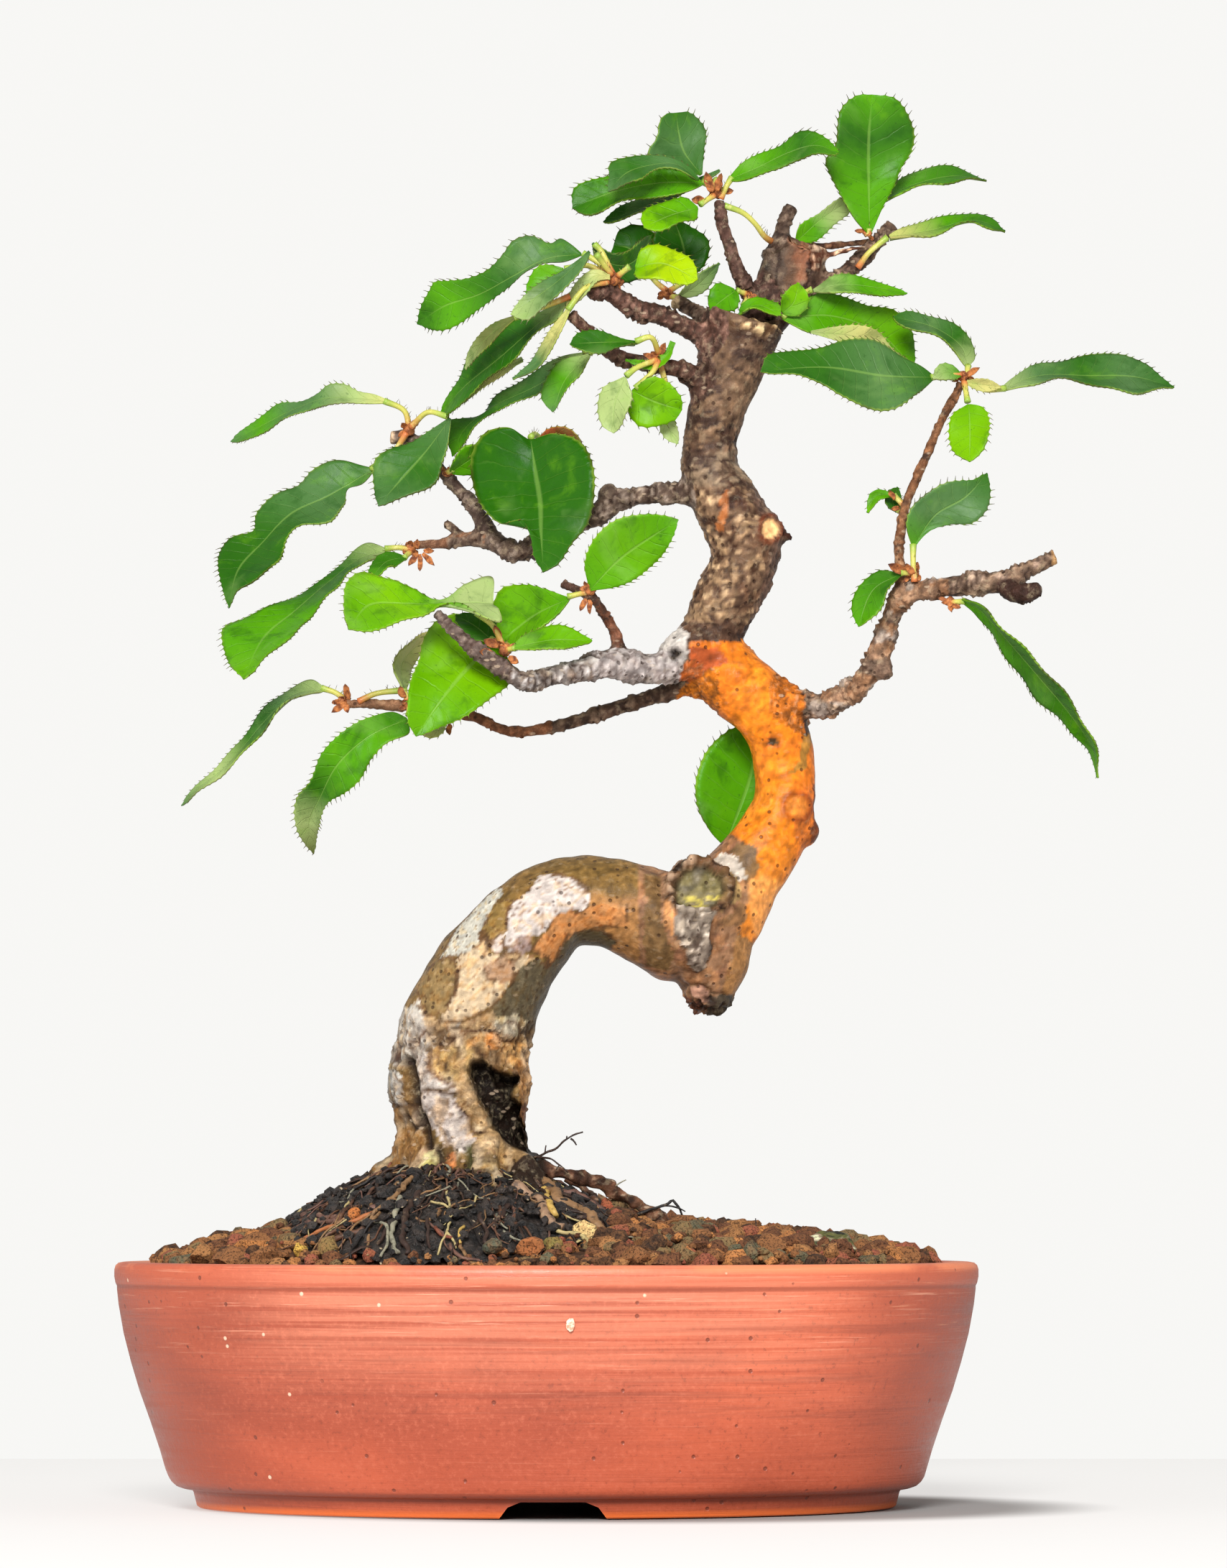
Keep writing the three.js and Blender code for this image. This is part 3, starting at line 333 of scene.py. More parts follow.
# Level streaks that break up the painted highlight and the painted shade of the wall.
painted_light_streaks = clouds(tree, stretched(tree, (9, 9, 900), (4, 7, 2)), 1, 5, 0.7, 0.3)
upper_wall = between(tree, height_up, 0.022, 0.036)
right_wall = times(tree, between(tree, spot.outputs["X"], 0.005, 0.03), upper_wall)
middle_wall = between(tree, from_middle, 0.062, 0.034)
scratch = times(tree, between(tree, fine_streaks, 0.56, 0.66), between(tree, streaks, 0.44, 0.6))
# A painted highlight on the upper middle of the wall, and painted shade low on it.
painted_top_highlight = times(tree, between(tree, height_up, 0.014, 0.038), middle_wall)
low_shade = times(tree, between(tree, painted_light_streaks, 0.5, 0.32), between(tree, height_up, 0.012, 0.03, 0.12, 0.5))
rim_line = times(tree, between(tree, height_up, 0.0376, 0.0382), between(tree, height_up, 0.0389, 0.0383))
worn_rim = times(tree, between(tree, height_up, 0.0404, 0.0418), between(tree, blotches, 0.42, 0.6))
foot_line = times(tree, between(tree, height_up, 0.0046, 0.0036), between(tree, height_up, 0.0022, 0.003))
dark_pit = dots(tree, stretched(tree), 420, 0.19, 0.1, 0, (0.84, 0.86))
pale_speck = dots(tree, stretched(tree), 420, 0.19, 0.1, 1, (0.972, 0.98))
fired = mix_colour(tree, between(tree, smoke, 0.36, 0.62), earth(156, 70, 47), earth(196, 94, 64))
clay = layered(tree, fired, [
    (between(tree, blotches, 0.5, 0.72, 0, 0.3), (206, 96, 56)),
    (between(tree, grit, 0.5, 0.7, 0, 0.3), (216, 122, 92)),
    (between(tree, grit, 0.44, 0.3, 0, 0.45), (100, 44, 32)),
    (between(tree, streaks, 0.32, 0.5, 0.45, 0), (118, 52, 38)),
    (times(tree, times(tree, scratch, upper_wall), 0.75), (246, 178, 146)),
    (times(tree, times(tree, between(tree, slant_streaks, 0.6, 0.68), right_wall), 0.6), (240, 164, 126)),
    (between(tree, fine_streaks, 0.62, 0.72, 0, 0.22), (232, 156, 126)),
    # Next: the painted highlight, then painted shade low on the wall, towards both ends where the wall turns away,
    # and towards the bottom.
    (times(tree, painted_top_highlight, between(tree, painted_light_streaks, 0.34, 0.62, 0.02, 0.6)), (232, 142, 110)),
    (low_shade, (168, 78, 54)),
    (between(tree, from_middle, 0.046, 0.062, 0, 0.45), (142, 64, 42)),
    (between(tree, height_up, 0.022, 0.008, 0, 0.4), (170, 72, 40)),
    (times(tree, between(tree, height_up, 0.0372, 0.0388), 0.35), (206, 104, 72)),
    (times(tree, rim_line, 0.6), (128, 56, 36)),
    (times(tree, worn_rim, 0.7), (236, 138, 92)),
    (times(tree, foot_line, 0.6), (120, 50, 32)),
    (times(tree, between(tree, height_up, 0.0016, 0.0004), 0.85), (232, 112, 48)),
    (times(tree, dark_pit, 0.7), (104, 48, 34)),
    (times(tree, pale_speck, 0.8), (250, 206, 176)),
])
tree.links.new(clay, surface.inputs["Base Color"])
tree.links.new(between(tree, weighed(tree, (streaks, 0.5), (grit, 0.5)), 0.3, 0.7, 0.3, 0.52),
               surface.inputs["Roughness"])
wall_relief = weighed(
    tree, (fine_streaks, 0.7), (grit, 0.5), (streaks, 0.8), (dark_pit, -1.8), (pale_speck, 0.6))
raise_surface(tree, surface, wall_relief, 0.6, 0.00018)
pot.data.materials.append(stoneware)
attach(pot, "root")
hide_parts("pot")


def smooth_faces(bm, slot=None):
    for face in bm.faces:
        face.smooth = True
        if slot is not None:
            face.material_index = slot


# A pale grain of grog that shows in the clay of the front wall, fired in and worn level.
grain_material, tree, surface = new_material("pale_grain", 0.6)
grain_spots = between(tree, clouds(tree, stretched(tree), 1500, 2), 0.4, 0.6)
tree.links.new(mix_colour(tree, grain_spots, earth(244, 214, 190), earth(206, 150, 120)),
               surface.inputs["Base Color"])
grain_mesh = bmesh.new()
bmesh.ops.create_icosphere(grain_mesh, subdivisions=3, radius=1)
for vert in grain_mesh.verts:
    vert.co *= 1 + 0.25 * noise.noise(vert.co * 1.7)
bmesh.ops.scale(grain_mesh, verts=grain_mesh.verts, vec=(0.00075, 0.0003, 0.0011))
grain_spot = FOOT + Vector((0.0045, -0.05605, 0.0325))
bmesh.ops.translate(grain_mesh, verts=grain_mesh.verts, vec=grain_spot)
smooth_faces(grain_mesh)
pale_grain = piece("pot_pale_grain", grain_mesh, grain_material)
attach(pale_grain, "root")

# The screens. Black plastic mesh cut into squares and laid over the drain holes.
screen_material, tree, surface = new_material("black_plastic_mesh", 0.55)
scuffs = clouds(tree, stretched(tree), 700, 3)
tree.links.new(mix_colour(tree, scuffs, earth(26, 26, 27), earth(52, 51, 50)), surface.inputs["Base Color"])
for name in ("drain_screen_left", "drain_screen_right"):
    screen = bpy.data.objects[name]
    screen.data.materials.clear()
    screen.data.materials.append(screen_material)

# The soil. Coarse granules of fired brown clay, three to four millimetres across, poured in to
# just under the rim and heaped around the roots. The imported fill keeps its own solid; the loose
# granules lie on it, with finer crumbs between them.
SOIL_HALF_LENGTH = 68.3
SOIL_HALF_DEPTH = 51.9
GRANULES = 1500
CRUMBS = 1300
HANDFUL = 40
GOLDEN_TURN = 2.39996
BALL_X = -17
BALL_Y = -1
BALL_LEFT = 31
BALL_RIGHT = 34
BALL_FRONT = 47
BALL_BACK = 30


def mound_height(x, y):
    edge = (x / 70) ** 2 + (y / 53) ** 2
    dome = max(0, 1 - edge)
    left = max(0, 1 - ((x + 38) / 26) ** 2) * 1.6
    bumps = math.sin(x * 0.55 + y * 0.3) * math.cos(y * 0.6 - x * 0.2) * 0.5
    return 39.6 + 8.2 * dome ** 0.62 + left * math.sqrt(dome) + bumps


def ball_height(x, y):
    """How far the ball of fine roots and peat stands over the mound."""
    across = (x - BALL_X) / (BALL_LEFT if x < BALL_X else BALL_RIGHT)
    deep = (y - BALL_Y) / (BALL_FRONT if y < BALL_Y else BALL_BACK)
    out = math.hypot(across, deep)
    return 11.5 * max(0, 1 - out ** 1.6) ** 0.9


granule_clay, tree, surface = new_material("brown_granules", 0.92, 0.25)
dust = clouds(tree, stretched(tree), 900, 4, 0.65)
pores = clouds(tree, stretched(tree), 2600, 3, 0.7)
crumb = layered(tree, from_layer(tree, "GranuleTone"), [
    (between(tree, dust, 0.35, 0.7, 0, 0.5), (146, 98, 60)),
    (between(tree, pores, 0.52, 0.38, 0, 0.8), (34, 21, 14)),
])
tree.links.new(crumb, surface.inputs["Base Color"])
raise_surface(tree, surface, weighed(tree, (dust, 1), (pores, 0.6)), 0.9, 0.0004)

fill_material, tree, surface = new_material("packed_fill", 0.95, 0.2)
damp = clouds(tree, stretched(tree), 420, 5, 0.7)
tree.links.new(mix_colour(tree, between(tree, damp, 0.35, 0.65), earth(34, 22, 15), earth(92, 62, 42)),
               surface.inputs["Base Color"])
raise_surface(tree, surface, damp, 1.0, 0.0012)
soil = bpy.data.objects["soil"]
soil.data.materials.clear()
soil.data.materials.append(fill_material)

GRANULE_TONES = [
    (earth(132, 88, 54), 6), (earth(98, 62, 42), 5), (earth(160, 112, 68), 4), (earth(58, 42, 32), 3),
    (earth(188, 124, 70), 2), (earth(122, 104, 70), 3), (earth(148, 82, 62), 3), (earth(96, 96, 74), 1),
]
chance = random.Random(41)


def toned_mesh(layer):
    bm = bmesh.new()
    bm.verts.layers.float_color.new(layer)
    return bm


def append(whole, bm):
    carried = bpy.data.meshes.new("carried")
    bm.to_mesh(carried)
    whole.from_mesh(carried)
    bm.free()
    bpy.data.meshes.remove(carried)


def drop_granule(handful, tones, x, y, size, faces_level, lift):
    """An angular lump lying on the mound: a ball with flat breaks, of one of the tones."""
    tone_layer = handful.verts.layers.float_color["GranuleTone"]
    made = bmesh.ops.create_icosphere(handful, subdivisions=faces_level, radius=1)
    colour = chance.choice(tones)
    seed = Vector((chance.uniform(-50, 50), chance.uniform(-50, 50), chance.uniform(-50, 50)))
    shape = Vector((chance.uniform(0.8, 1.25), chance.uniform(0.8, 1.2), chance.uniform(0.7, 1.0)))
    spin = chance.uniform(0, math.tau)
    middle = Vector((x, y, mound_height(x, y) + lift))
    breaks = []
    for _ in range(6 if faces_level > 1 else 0):
        way = Vector((chance.uniform(-1, 1), chance.uniform(-1, 1), chance.uniform(-1, 1))).normalized()
        breaks.append((way, chance.uniform(0.5, 0.8)))
    for vert in made["verts"]:
        where = vert.co.copy()
        for way, kept in breaks:
            where -= way * max(0, where.dot(way) - kept)
        out = 1.12 + 0.3 * noise.noise(vert.co * 1.1 + seed) + 0.22 * noise.noise(vert.co * 2.9 + seed)
        where = Vector((where.x * shape.x, where.y * shape.y, where.z * shape.z)) * out * size
        turned = Vector((
            where.x * math.cos(spin) - where.y * math.sin(spin),
            where.x * math.sin(spin) + where.y * math.cos(spin), where.z))
        vert.co = FOOT + (middle + turned) * MM
        vert[tone_layer] = colour


def drop_all(name, drops, tones, material):
    """One piece made of all the drops, a handful at a time. Each tone has its share of them."""
    whole = toned_mesh("GranuleTone")
    shared = [colour for colour, share in tones for _ in range(share)]
    for first in range(0, len(drops), HANDFUL):
        handful = toned_mesh("GranuleTone")
        for drop in drops[first:first + HANDFUL]:
            drop_granule(handful, shared, *drop)
        append(whole, handful)
    return piece(name, whole, material)


def is_clear(x, y):
    """Whether granules lie open here, and not under the ball of roots."""
    return ball_height(x, y) < (4.2 if x > 12 else 1.2)


def is_before_ball(x, y):
    """The strip in front of the ball, where the granules are finer and lie lower."""
    return y < -30 and -46 < x < 10


drops = []
for number in range(GRANULES):
    reach = math.sqrt((number + 0.5) / GRANULES)
    turn = number * GOLDEN_TURN + chance.uniform(-0.02, 0.02)
    x = math.cos(turn) * reach * (SOIL_HALF_LENGTH - 1.4) + chance.uniform(-0.7, 0.7)
    y = math.sin(turn) * reach * (SOIL_HALF_DEPTH - 1.4) + chance.uniform(-0.7, 0.7)
    if math.hypot(x / (SOIL_HALF_LENGTH - 0.7), y / (SOIL_HALF_DEPTH - 0.7)) < 1:
        size, lift = chance.uniform(1.2, 2.6), chance.uniform(0.1, 1.3)
        if is_before_ball(x, y):
            size, lift = size * 0.6, lift * 0.5 - 0.7
        if is_clear(x, y):
            drops.append((x, y, size, 2, lift + ball_height(x, y)))
for number in range(CRUMBS):
    reach = math.sqrt(chance.random())
    turn = chance.uniform(0, math.tau)
    x = math.cos(turn) * reach * (SOIL_HALF_LENGTH - 1)
    y = math.sin(turn) * reach * (SOIL_HALF_DEPTH - 1)
    size, lift = chance.uniform(0.4, 0.9), chance.uniform(0.5, 2.0)
    if is_clear(x, y):
        drops.append((x, y, size, 1, lift + ball_height(x, y) - (1.2 if is_before_ball(x, y) else 0)))
granules = drop_all("soil_granules", drops, GRANULE_TONES, granule_clay)
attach(granules, "root")

# The wood. One grown piece: roots that clasp the mound, a trunk that leans left, arches over to
# an elbow with a hanging knob, turns up through a bare orange bend and ends in a flat saw cut,
# and the branches and cut stubs that it carries. Points are across, up, deep, radius.
TRUNK_X = 32
TIER_DEPTH = 17
TRUNK_STEP = 1.2
TWIG_STEP = 0.8
BARK_GRAIN = 0.00056
TRUNK_LOW = [
    (-14, 30, 0, 9), (-14, 44, 0, 12), (-14, 52, 0, 13), (-14.5, 58, 0, 11.6), (-15, 64, 0, 10.8),
    (-15, 72, 0, 11.8), (-15, 80, 0, 11.6), (-12.5, 87, -1, 11), (-8.5, 94, -2, 10), (-3, 100.5, -3, 9),
    (3, 104.6, -3, 7.9), (10, 104.8, -2.5, 7.8), (16, 103, -2, 8.4), (22, 100.5, -1.5, 9.6),
    (28, 99.3, -0.5, 8.8),
]
TRUNK_HIGH = [
    (26, 100, -0.5, 8), (30.5, 104, 0, 8.2), (34, 109.2, 1, 6.8), (39, 116, 2, 6.2), (41.3, 122, 2.5, 5.3),
    (41.3, 129, 3, 5.4), (40.3, 134, 3, 5.7), (37.4, 139.2, 2.5, 6), (32, 143.9, 2, 6.2), (29, 148.5, 1.5, 5.8),
    (29.2, 152.5, 1, 5.3), (31, 157, 0.5, 5.8), (34, 163, 0, 5.9), (34.5, 168.5, 0, 6.4), (31.5, 174, 0, 6),
    (28.5, 180, 0, 5), (28.7, 186, 0, 4.8), (30, 192, 0, 5.1), (32, 198, 0, 5.7), (34.8, 206.8, 0, 7.3),
]
KNOBS = [
    [(28, 100, -0.5, 8), (28.2, 93, -0.5, 6.8), (28.1, 88.5, -0.5, 4.6), (28, 85.6, -0.5, 2.4)],
    [(25.5, 149, -0.5, 5), (22.5, 148.3, -2, 3.4), (20.8, 147.4, -3, 2.6)],
    [(30, 151.5, 1, 6), (32.6, 150.6, 1, 4.2), (34.2, 150.3, 1, 1.6)],
    [(43.4, 117.6, 2.5, 3.8), (45.8, 116.6, 2.3, 2.6), (47, 115.9, 2.1, 1.5)],
    [(45, 123.2, 1.4, 1.3), (46.9, 123.3, 1.1, 0.75)],
    [(45, 120.2, 1.5, 1.1), (46.7, 120.2, 1.3, 0.6)],
    [(34.5, 201, 4.5, 4), (37.5, 207, 7, 4.4), (41, 212, 8, 5.2), (43, 216.5, 8, 5.6),
     (44.5, 220.6, 8, 5)],
    [(39, 170, 0, 2), (41.2, 169, -0.4, 1.1), (42.8, 168.1, -0.6, 0.5)],
    [(12, 174.5, 1.8, 2), (10.5, 176.4, 1.5, 2.1), (9.6, 177.4, 1.2, 1.4)],
    [(57.8, 147, -1.7, 2), (59, 145, -2.4, 1.7), (59.6, 144.2, -2.8, 1.1)],
    [(79, 160.6, -2, 1.8), (82.6, 158.6, -3.4, 1.7), (86, 159.6, -4.6, 1.5)],
]
CALLUS = [(26.4, 104, -4, 6.5), (26.4, 107, -7.6, 6), (26.4, 107.4, -9, 4.6)]
ROOTS = [
    [(-14, 61, 0, 9.5), (-24, 57.4, 0, 4.8), (-30, 53, -1, 4), (-37, 49, -2, 3.6), (-43, 45, -3, 2.6)],
    [(-17, 66, -4, 6), (-20, 57.5, -9, 4.2), (-22, 52, -13, 3.4), (-24, 44, -17, 2.6)],
    [(-13, 66, -4, 6), (-11.5, 57, -10, 3.8), (-10, 51, -14, 3.2), (-9, 44, -18, 2.4)],
    [(-10, 64, -2, 4.8), (-5, 60, -5, 1.9), (-1, 58.8, -6, 1.25), (3, 57.6, -6, 1.05),
     (6, 56.9, -6, 0.95), (9, 56.1, -6, 0.9), (12.7, 53.9, -6, 0.9), (16.2, 52, -6, 0.85),
     (20, 49.2, -6, 0.95), (24, 45, -6, 1)],
    [(-8, 58, 0, 6), (-2, 52, 4, 3.4), (6, 47, 5, 2.2), (14, 43, 4, 2)],
    [(-6, 59.5, -6, 1.9), (-1, 55.5, -10, 1.3), (2, 51, -12, 1.2), (3.5, 45, -14, 1.2)],
    [(-7, 58, -5, 2.2), (-3, 54.5, -13, 1.6), (1, 49.5, -17, 1.5), (6, 44, -19, 1.3)],
    [(-12, 62, 4, 8), (-10, 54, 14, 5), (-6, 46, 22, 3.4), (-3, 41, 27, 2.4)],
    [(-18, 62, 3, 7), (-26, 53, 11, 4.4), (-34, 44, 17, 3)],
    [(-15, 60, -3, 8), (-16, 50, -8, 7), (-16, 42, -8, 6)],
]
BRANCHES = {
    "grey": [(26, 146.5, -1, 3.2), (20, 145.6, -3, 2.9), (14, 146, -4.5, 2.8), (9, 146, -6, 2.5),
             (5, 145, -7, 2.1), (1, 144.5, -7.5, 1.9), (-4, 143.4, -8, 1.8), (-8, 145.5, -8, 1.7),
             (-12, 148.5, -9, 1.5), (-16, 152, -10, 1.2), (-19.5, 155.5, -11, 1)],
    "grey twig": [(13, 147, -4.6, 1.6), (12, 151.5, -5, 1.1), (10, 155, -6, 1), (8.2, 158, -7, 1.1)],
    "grey side twig": [(8.2, 157.8, -6.6, 1), (5, 159.5, -5, 0.9), (2.5, 160.5, -4, 0.8)],
    "thin": [(31, 143.6, 1, 3), (24.5, 142.4, 3, 1.9), (20, 141.2, 4, 1.6), (13, 139, 7, 1.35),
             (6, 136.8, 9, 1.3), (-2, 135, 11, 1.2), (-8, 135, 12, 1.1), (-13, 137.3, 13, 1.1),
             (-24, 139, 14.5, 1), (-30, 139.3, 15.4, 0.95), (-35.3, 139.5, 16, 0.85)],
    "left": [(28, 176, 0, 2.4), (20, 176.3, 1, 1.8), (14, 175.5, 1.5, 1.8), (9, 172.8, 2, 2),
             (3, 170, 2.6, 2), (-3, 166.8, 3, 2), (-6, 165.8, 3, 1.9), (-9.3, 168, 3, 1.9)],
    "left rising": [(-9.3, 168, 3, 1.8), (-12, 172.5, 2.4, 1.5), (-14, 175.5, 1.8, 1.35),
                    (-17, 178.5, 1, 1.25), (-19, 180.8, 0.4, 1.2), (-22, 184.8, -0.6, 1.2),
                    (-24.6, 186, -1.2, 1.3), (-27.5, 186.2, -2, 1.4)],
    "left outer": [(-9.3, 168.2, 3, 1.5), (-14, 168.3, 4, 1.3), (-17, 167.6, 4.4, 1.1),
                   (-22.3, 167.2, 5, 0.95), (-23.6, 166.9, 5, 0.8)],
    "left stub": [(-14.5, 168.2, 4, 1), (-16.5, 170.2, 3.6, 0.95), (-18, 171.2, 3.4, 0.9)],
    "top left": [(32, 203, 0, 3), (28, 204, -0.5, 2.2), (24, 205.5, -2, 1.8), (20, 207.5, -3.4, 1.9),
                 (15, 209, -4.6, 1.8), (11, 211.5, -5.6, 1.7), (7, 211.8, -6.5, 1.3)],
    "top back": [(31, 204.5, 2, 2.4), (27.5, 207.5, 4.5, 1.4), (22.3, 210.3, 7, 1.3)],
    "upper left": [(29, 193, 0, 2.8), (24, 198, -3, 1.7), (19, 198.8, -5, 1.5), (13, 200, -6, 1.4),
                   (8, 204, -7, 1.25), (4, 208, -8, 1)],
    "crown shoot": [(38, 208, 5, 2), (36, 211, 4, 1.6), (33.5, 215, 2, 1.45), (32, 220, 1, 1.3),
                    (30.5, 225, 0, 1.2), (30, 228, 0, 1.15)],
    "leader stub": [(40.3, 218, 8, 2), (41.3, 223, 8, 1.4), (42.9, 227, 8, 1.35)],
    "leader branch": [(45.6, 210.8, 8, 2), (50, 213.6, 7.6, 1.7), (54.4, 216.8, 7.4, 1.6),
                      (57, 219.8, 7.6, 1.55), (60.5, 223.4, 8, 1.5)],
    "front splinter": [(46.6, 217.7, 6.8, 0.55), (50, 218.5, 5.6, 0.72), (54, 219.4, 5, 0.6),
                       (57.4, 219.8, 4.6, 0.32)],
    "leader splinter": [(45, 219.6, 10, 1), (50, 219.9, 11.2, 0.8), (57.5, 220.8, 12.6, 0.6)],
    "right": [(39, 139.5, 2, 4), (44, 140, 0.5, 2.6), (48, 139.4, -0.5, 2.2), (51, 140.5, -1, 2.1),
              (55, 143, -1.4, 2), (57.3, 146.5, -1.7, 2.1), (58.6, 150, -2, 2.1), (60.3, 155, -2.4, 2),
              (63, 158.5, -2.8, 2.1), (68, 159.6, -3, 1.9), (74, 160.5, -2.6, 1.9), (80, 161, -2, 1.9),
              (84, 163, -1.6, 1.6), (89, 165.2, -1, 1.4)],
    "right shoot": [(62.4, 159, -2.8, 1.6), (61.5, 166, -3, 1), (62.3, 172, -3.4, 0.98),
                    (65, 180, -4.2, 0.9), (69, 189, -5.2, 0.85), (71.5, 193.5, -5.7, 0.9),
                    (72.5, 195.6, -6, 0.95)],
}


def smooth_between(value, low, high):
    part = min(1, max(0, (value - low) / (high - low)))
    return part * part * (3 - 2 * part)


def lean(x, z):
    """How far the crown leans forward or back, tier by tier."""
    reach = smooth_between(abs(x - TRUNK_X) - 9, 0, 60) * smooth_between(z, 98, 122)
    if x < TRUNK_X:
        return TIER_DEPTH * reach * math.cos((z - 182) / 46 * math.pi)
    return -TIER_DEPTH * reach * math.cos((z - 150) / 60 * math.pi)


def seen(x, z, y):
    """A point seen at x, z from the front, carried along its line of sight to its depth, in mm."""
    depth = y + lean(x, z)
    reach = (VIEW_DISTANCE + depth) / VIEW_DISTANCE
    return Vector((VIEW_X + (x - VIEW_X) * reach, depth, VIEW_Z + (z - VIEW_Z) * reach))


def curve_point(points, t):
    """A point of the smooth curve through the points, and the way that it runs there."""
    spot = min(t, 0.999999) * (len(points) - 1)
    low = int(spot)
    part = spot - low
    first, second = points[low], points[low + 1]
    before = points[low - 1] if low > 0 else first * 2 - second
    after = points[low + 2] if low + 2 < len(points) else second * 2 - first
    gap0 = max((first - before).length, 1e-4) ** 0.5
    gap1 = max((second - first).length, 1e-4) ** 0.5
    gap2 = max((after - second).length, 1e-4) ** 0.5
    start = ((first - before) / gap0 - (second - before) / (gap0 + gap1) + (second - first) / gap1) * gap1
    stop = ((second - first) / gap1 - (after - first) / (gap1 + gap2) + (after - second) / gap2) * gap1
    cubic = first * 2 - second * 2 + start + stop
    square = second * 3 - first * 3 - start * 2 - stop
    place = first + start * part + square * part ** 2 + cubic * part ** 3
    way = start + square * 2 * part + cubic * 3 * part ** 2
    return place, way.normalized()


def grow(bm, stations, sides):
    """A round limb: a ring of edges set at each station (middle, way, radius) and drawn on."""
    across = Vector((0, 1, 0))
    ring = None
    rings = []
    for middle, way, radius in stations:
        across = (across - way * across.dot(way)).normalized()
        other = way.cross(across)
        if ring is None:
            ring = bmesh.ops.create_circle(bm, cap_ends=False, segments=sides, radius=1)["verts"]
        else:
            edges = [bm.edges.get((ring[i], ring[i - 1])) for i in range(sides)]
            drawn = bmesh.ops.extrude_edge_only(bm, edges=edges)
            fresh = set(verts_of(drawn))
            following = []
            for vert in ring:
                for edge in vert.link_edges:
                    if edge.other_vert(vert) in fresh:
                        following.append(edge.other_vert(vert))
                        break
            ring = following
        for number, vert in enumerate(ring):
            angle = math.tau * number / sides
            vert.co = middle + (across * math.cos(angle) + other * math.sin(angle)) * radius
        rings.append(ring)
    for end in (rings[0], rings[-1]):
        bmesh.ops.contextual_create(bm, geom=[bm.edges.get((end[i], end[i - 1])) for i in range(sides)])
    return rings


def limb_stations(points, step):
    """Stations in metres along a limb that is given as seen from the front."""
    middles = [seen(x, z, y) for x, z, y, _ in points]
    length = sum((b - a).length for a, b in zip(middles, middles[1:]))
    count = max(4, round(length / step))
    stations = []
    for number in range(count + 1):
        t = number / count
        place, way = curve_point(middles, t)
        spot = min(t, 0.999999) * (len(points) - 1)
        low = int(spot)
        radius = points[low][3] + (points[low + 1][3] - points[low][3]) * (spot - low)
        stations.append((FOOT + place * MM, way, radius * MM))
    return stations


def marks_of(kind, stations, step):
    """What each station says of the bark near it: middle, radius, kind of limb, way along it."""
    return [(middle, radius, kind, number * step) for number, (middle, _, radius) in enumerate(stations)]


wood_mesh = bmesh.new()
limb_marks = []
for kind, limbs, sides in [
    ("low trunk", [TRUNK_LOW], 32), ("high trunk", [TRUNK_HIGH], 28), ("knob", KNOBS, 18),
    ("callus", [CALLUS], 20), ("root", ROOTS, 16),
]:
    for limb in limbs:
        stations = limb_stations(limb, TRUNK_STEP)
        grow(wood_mesh, stations, sides)
        limb_marks += marks_of(kind, stations, TRUNK_STEP)
for kind, limb in BRANCHES.items():
    stations = limb_stations(limb, TWIG_STEP)
    seed = Vector((len(kind) * 3.1, len(limb) * 1.7, limb[0][1]))
    knotted = []
    for number, (middle, way, radius) in enumerate(stations):
        swell = 1 + 0.16 * noise.noise(seed + Vector((0, 0, number * 0.23)))
        wander = Vector((noise.noise(seed + Vector((number * 0.12, 0, 0))), 0,
                         noise.noise(seed + Vector((0, number * 0.12, 4))))) * radius * 0.28
        edge = min(number, len(stations) - 1 - number) / 4
        knotted.append((middle + wander * min(1, edge), way, radius * swell))
    grow(wood_mesh, knotted, 12)
    limb_marks += marks_of(kind, knotted, TWIG_STEP)
bmesh.ops.recalc_face_normals(wood_mesh, faces=wood_mesh.faces)
wood = piece("bonsai_wood", wood_mesh)
skin = wood.modifiers.new("skin", "REMESH")
skin.mode = "VOXEL"
skin.voxel_size = BARK_GRAIN
grown = bpy.data.meshes.new_from_object(wood.evaluated_get(bpy.context.evaluated_depsgraph_get()))
wood.modifiers.clear()
wood.data = grown

marks = KDTree(len(limb_marks))
for number, mark in enumerate(limb_marks):
    marks.insert(mark[0], number)
marks.balance()

# The fused skin is smoothed a little, and each place of it is read off: what kind of limb it lies
# on, how far round and along it, where the view sees it, and the noises that roughen and mottle it.
wood_mesh = bmesh.new()
wood_mesh.from_mesh(wood.data)
for _ in range(3):
    bmesh.ops.smooth_vert(
        wood_mesh, verts=wood_mesh.verts, factor=0.5, use_axis_x=True, use_axis_y=True, use_axis_z=True)
wood_mesh.normal_update()


def inside(outline, x, z):
    """Whether each x, z lies in the outline (even and odd crossings)."""
    crossed = np.zeros(len(x), bool)
    for (ax, az), (bx, bz) in zip(outline, outline[1:] + outline[:1]):
        if az != bz:
            spans = (az > z) != (bz > z)
            crossed ^= spans & (x < (bx - ax) * (z - az) / (bz - az) + ax)
    return crossed


def ramp(value, low, high):
    part = np.clip((value - low) / (high - low), 0, 1)
    return part * part * (3 - 2 * part)


def noise_at(scale, shift=(0, 0, 0)):
    return np.array([noise.noise(place * scale + Vector(shift)) for place in places])


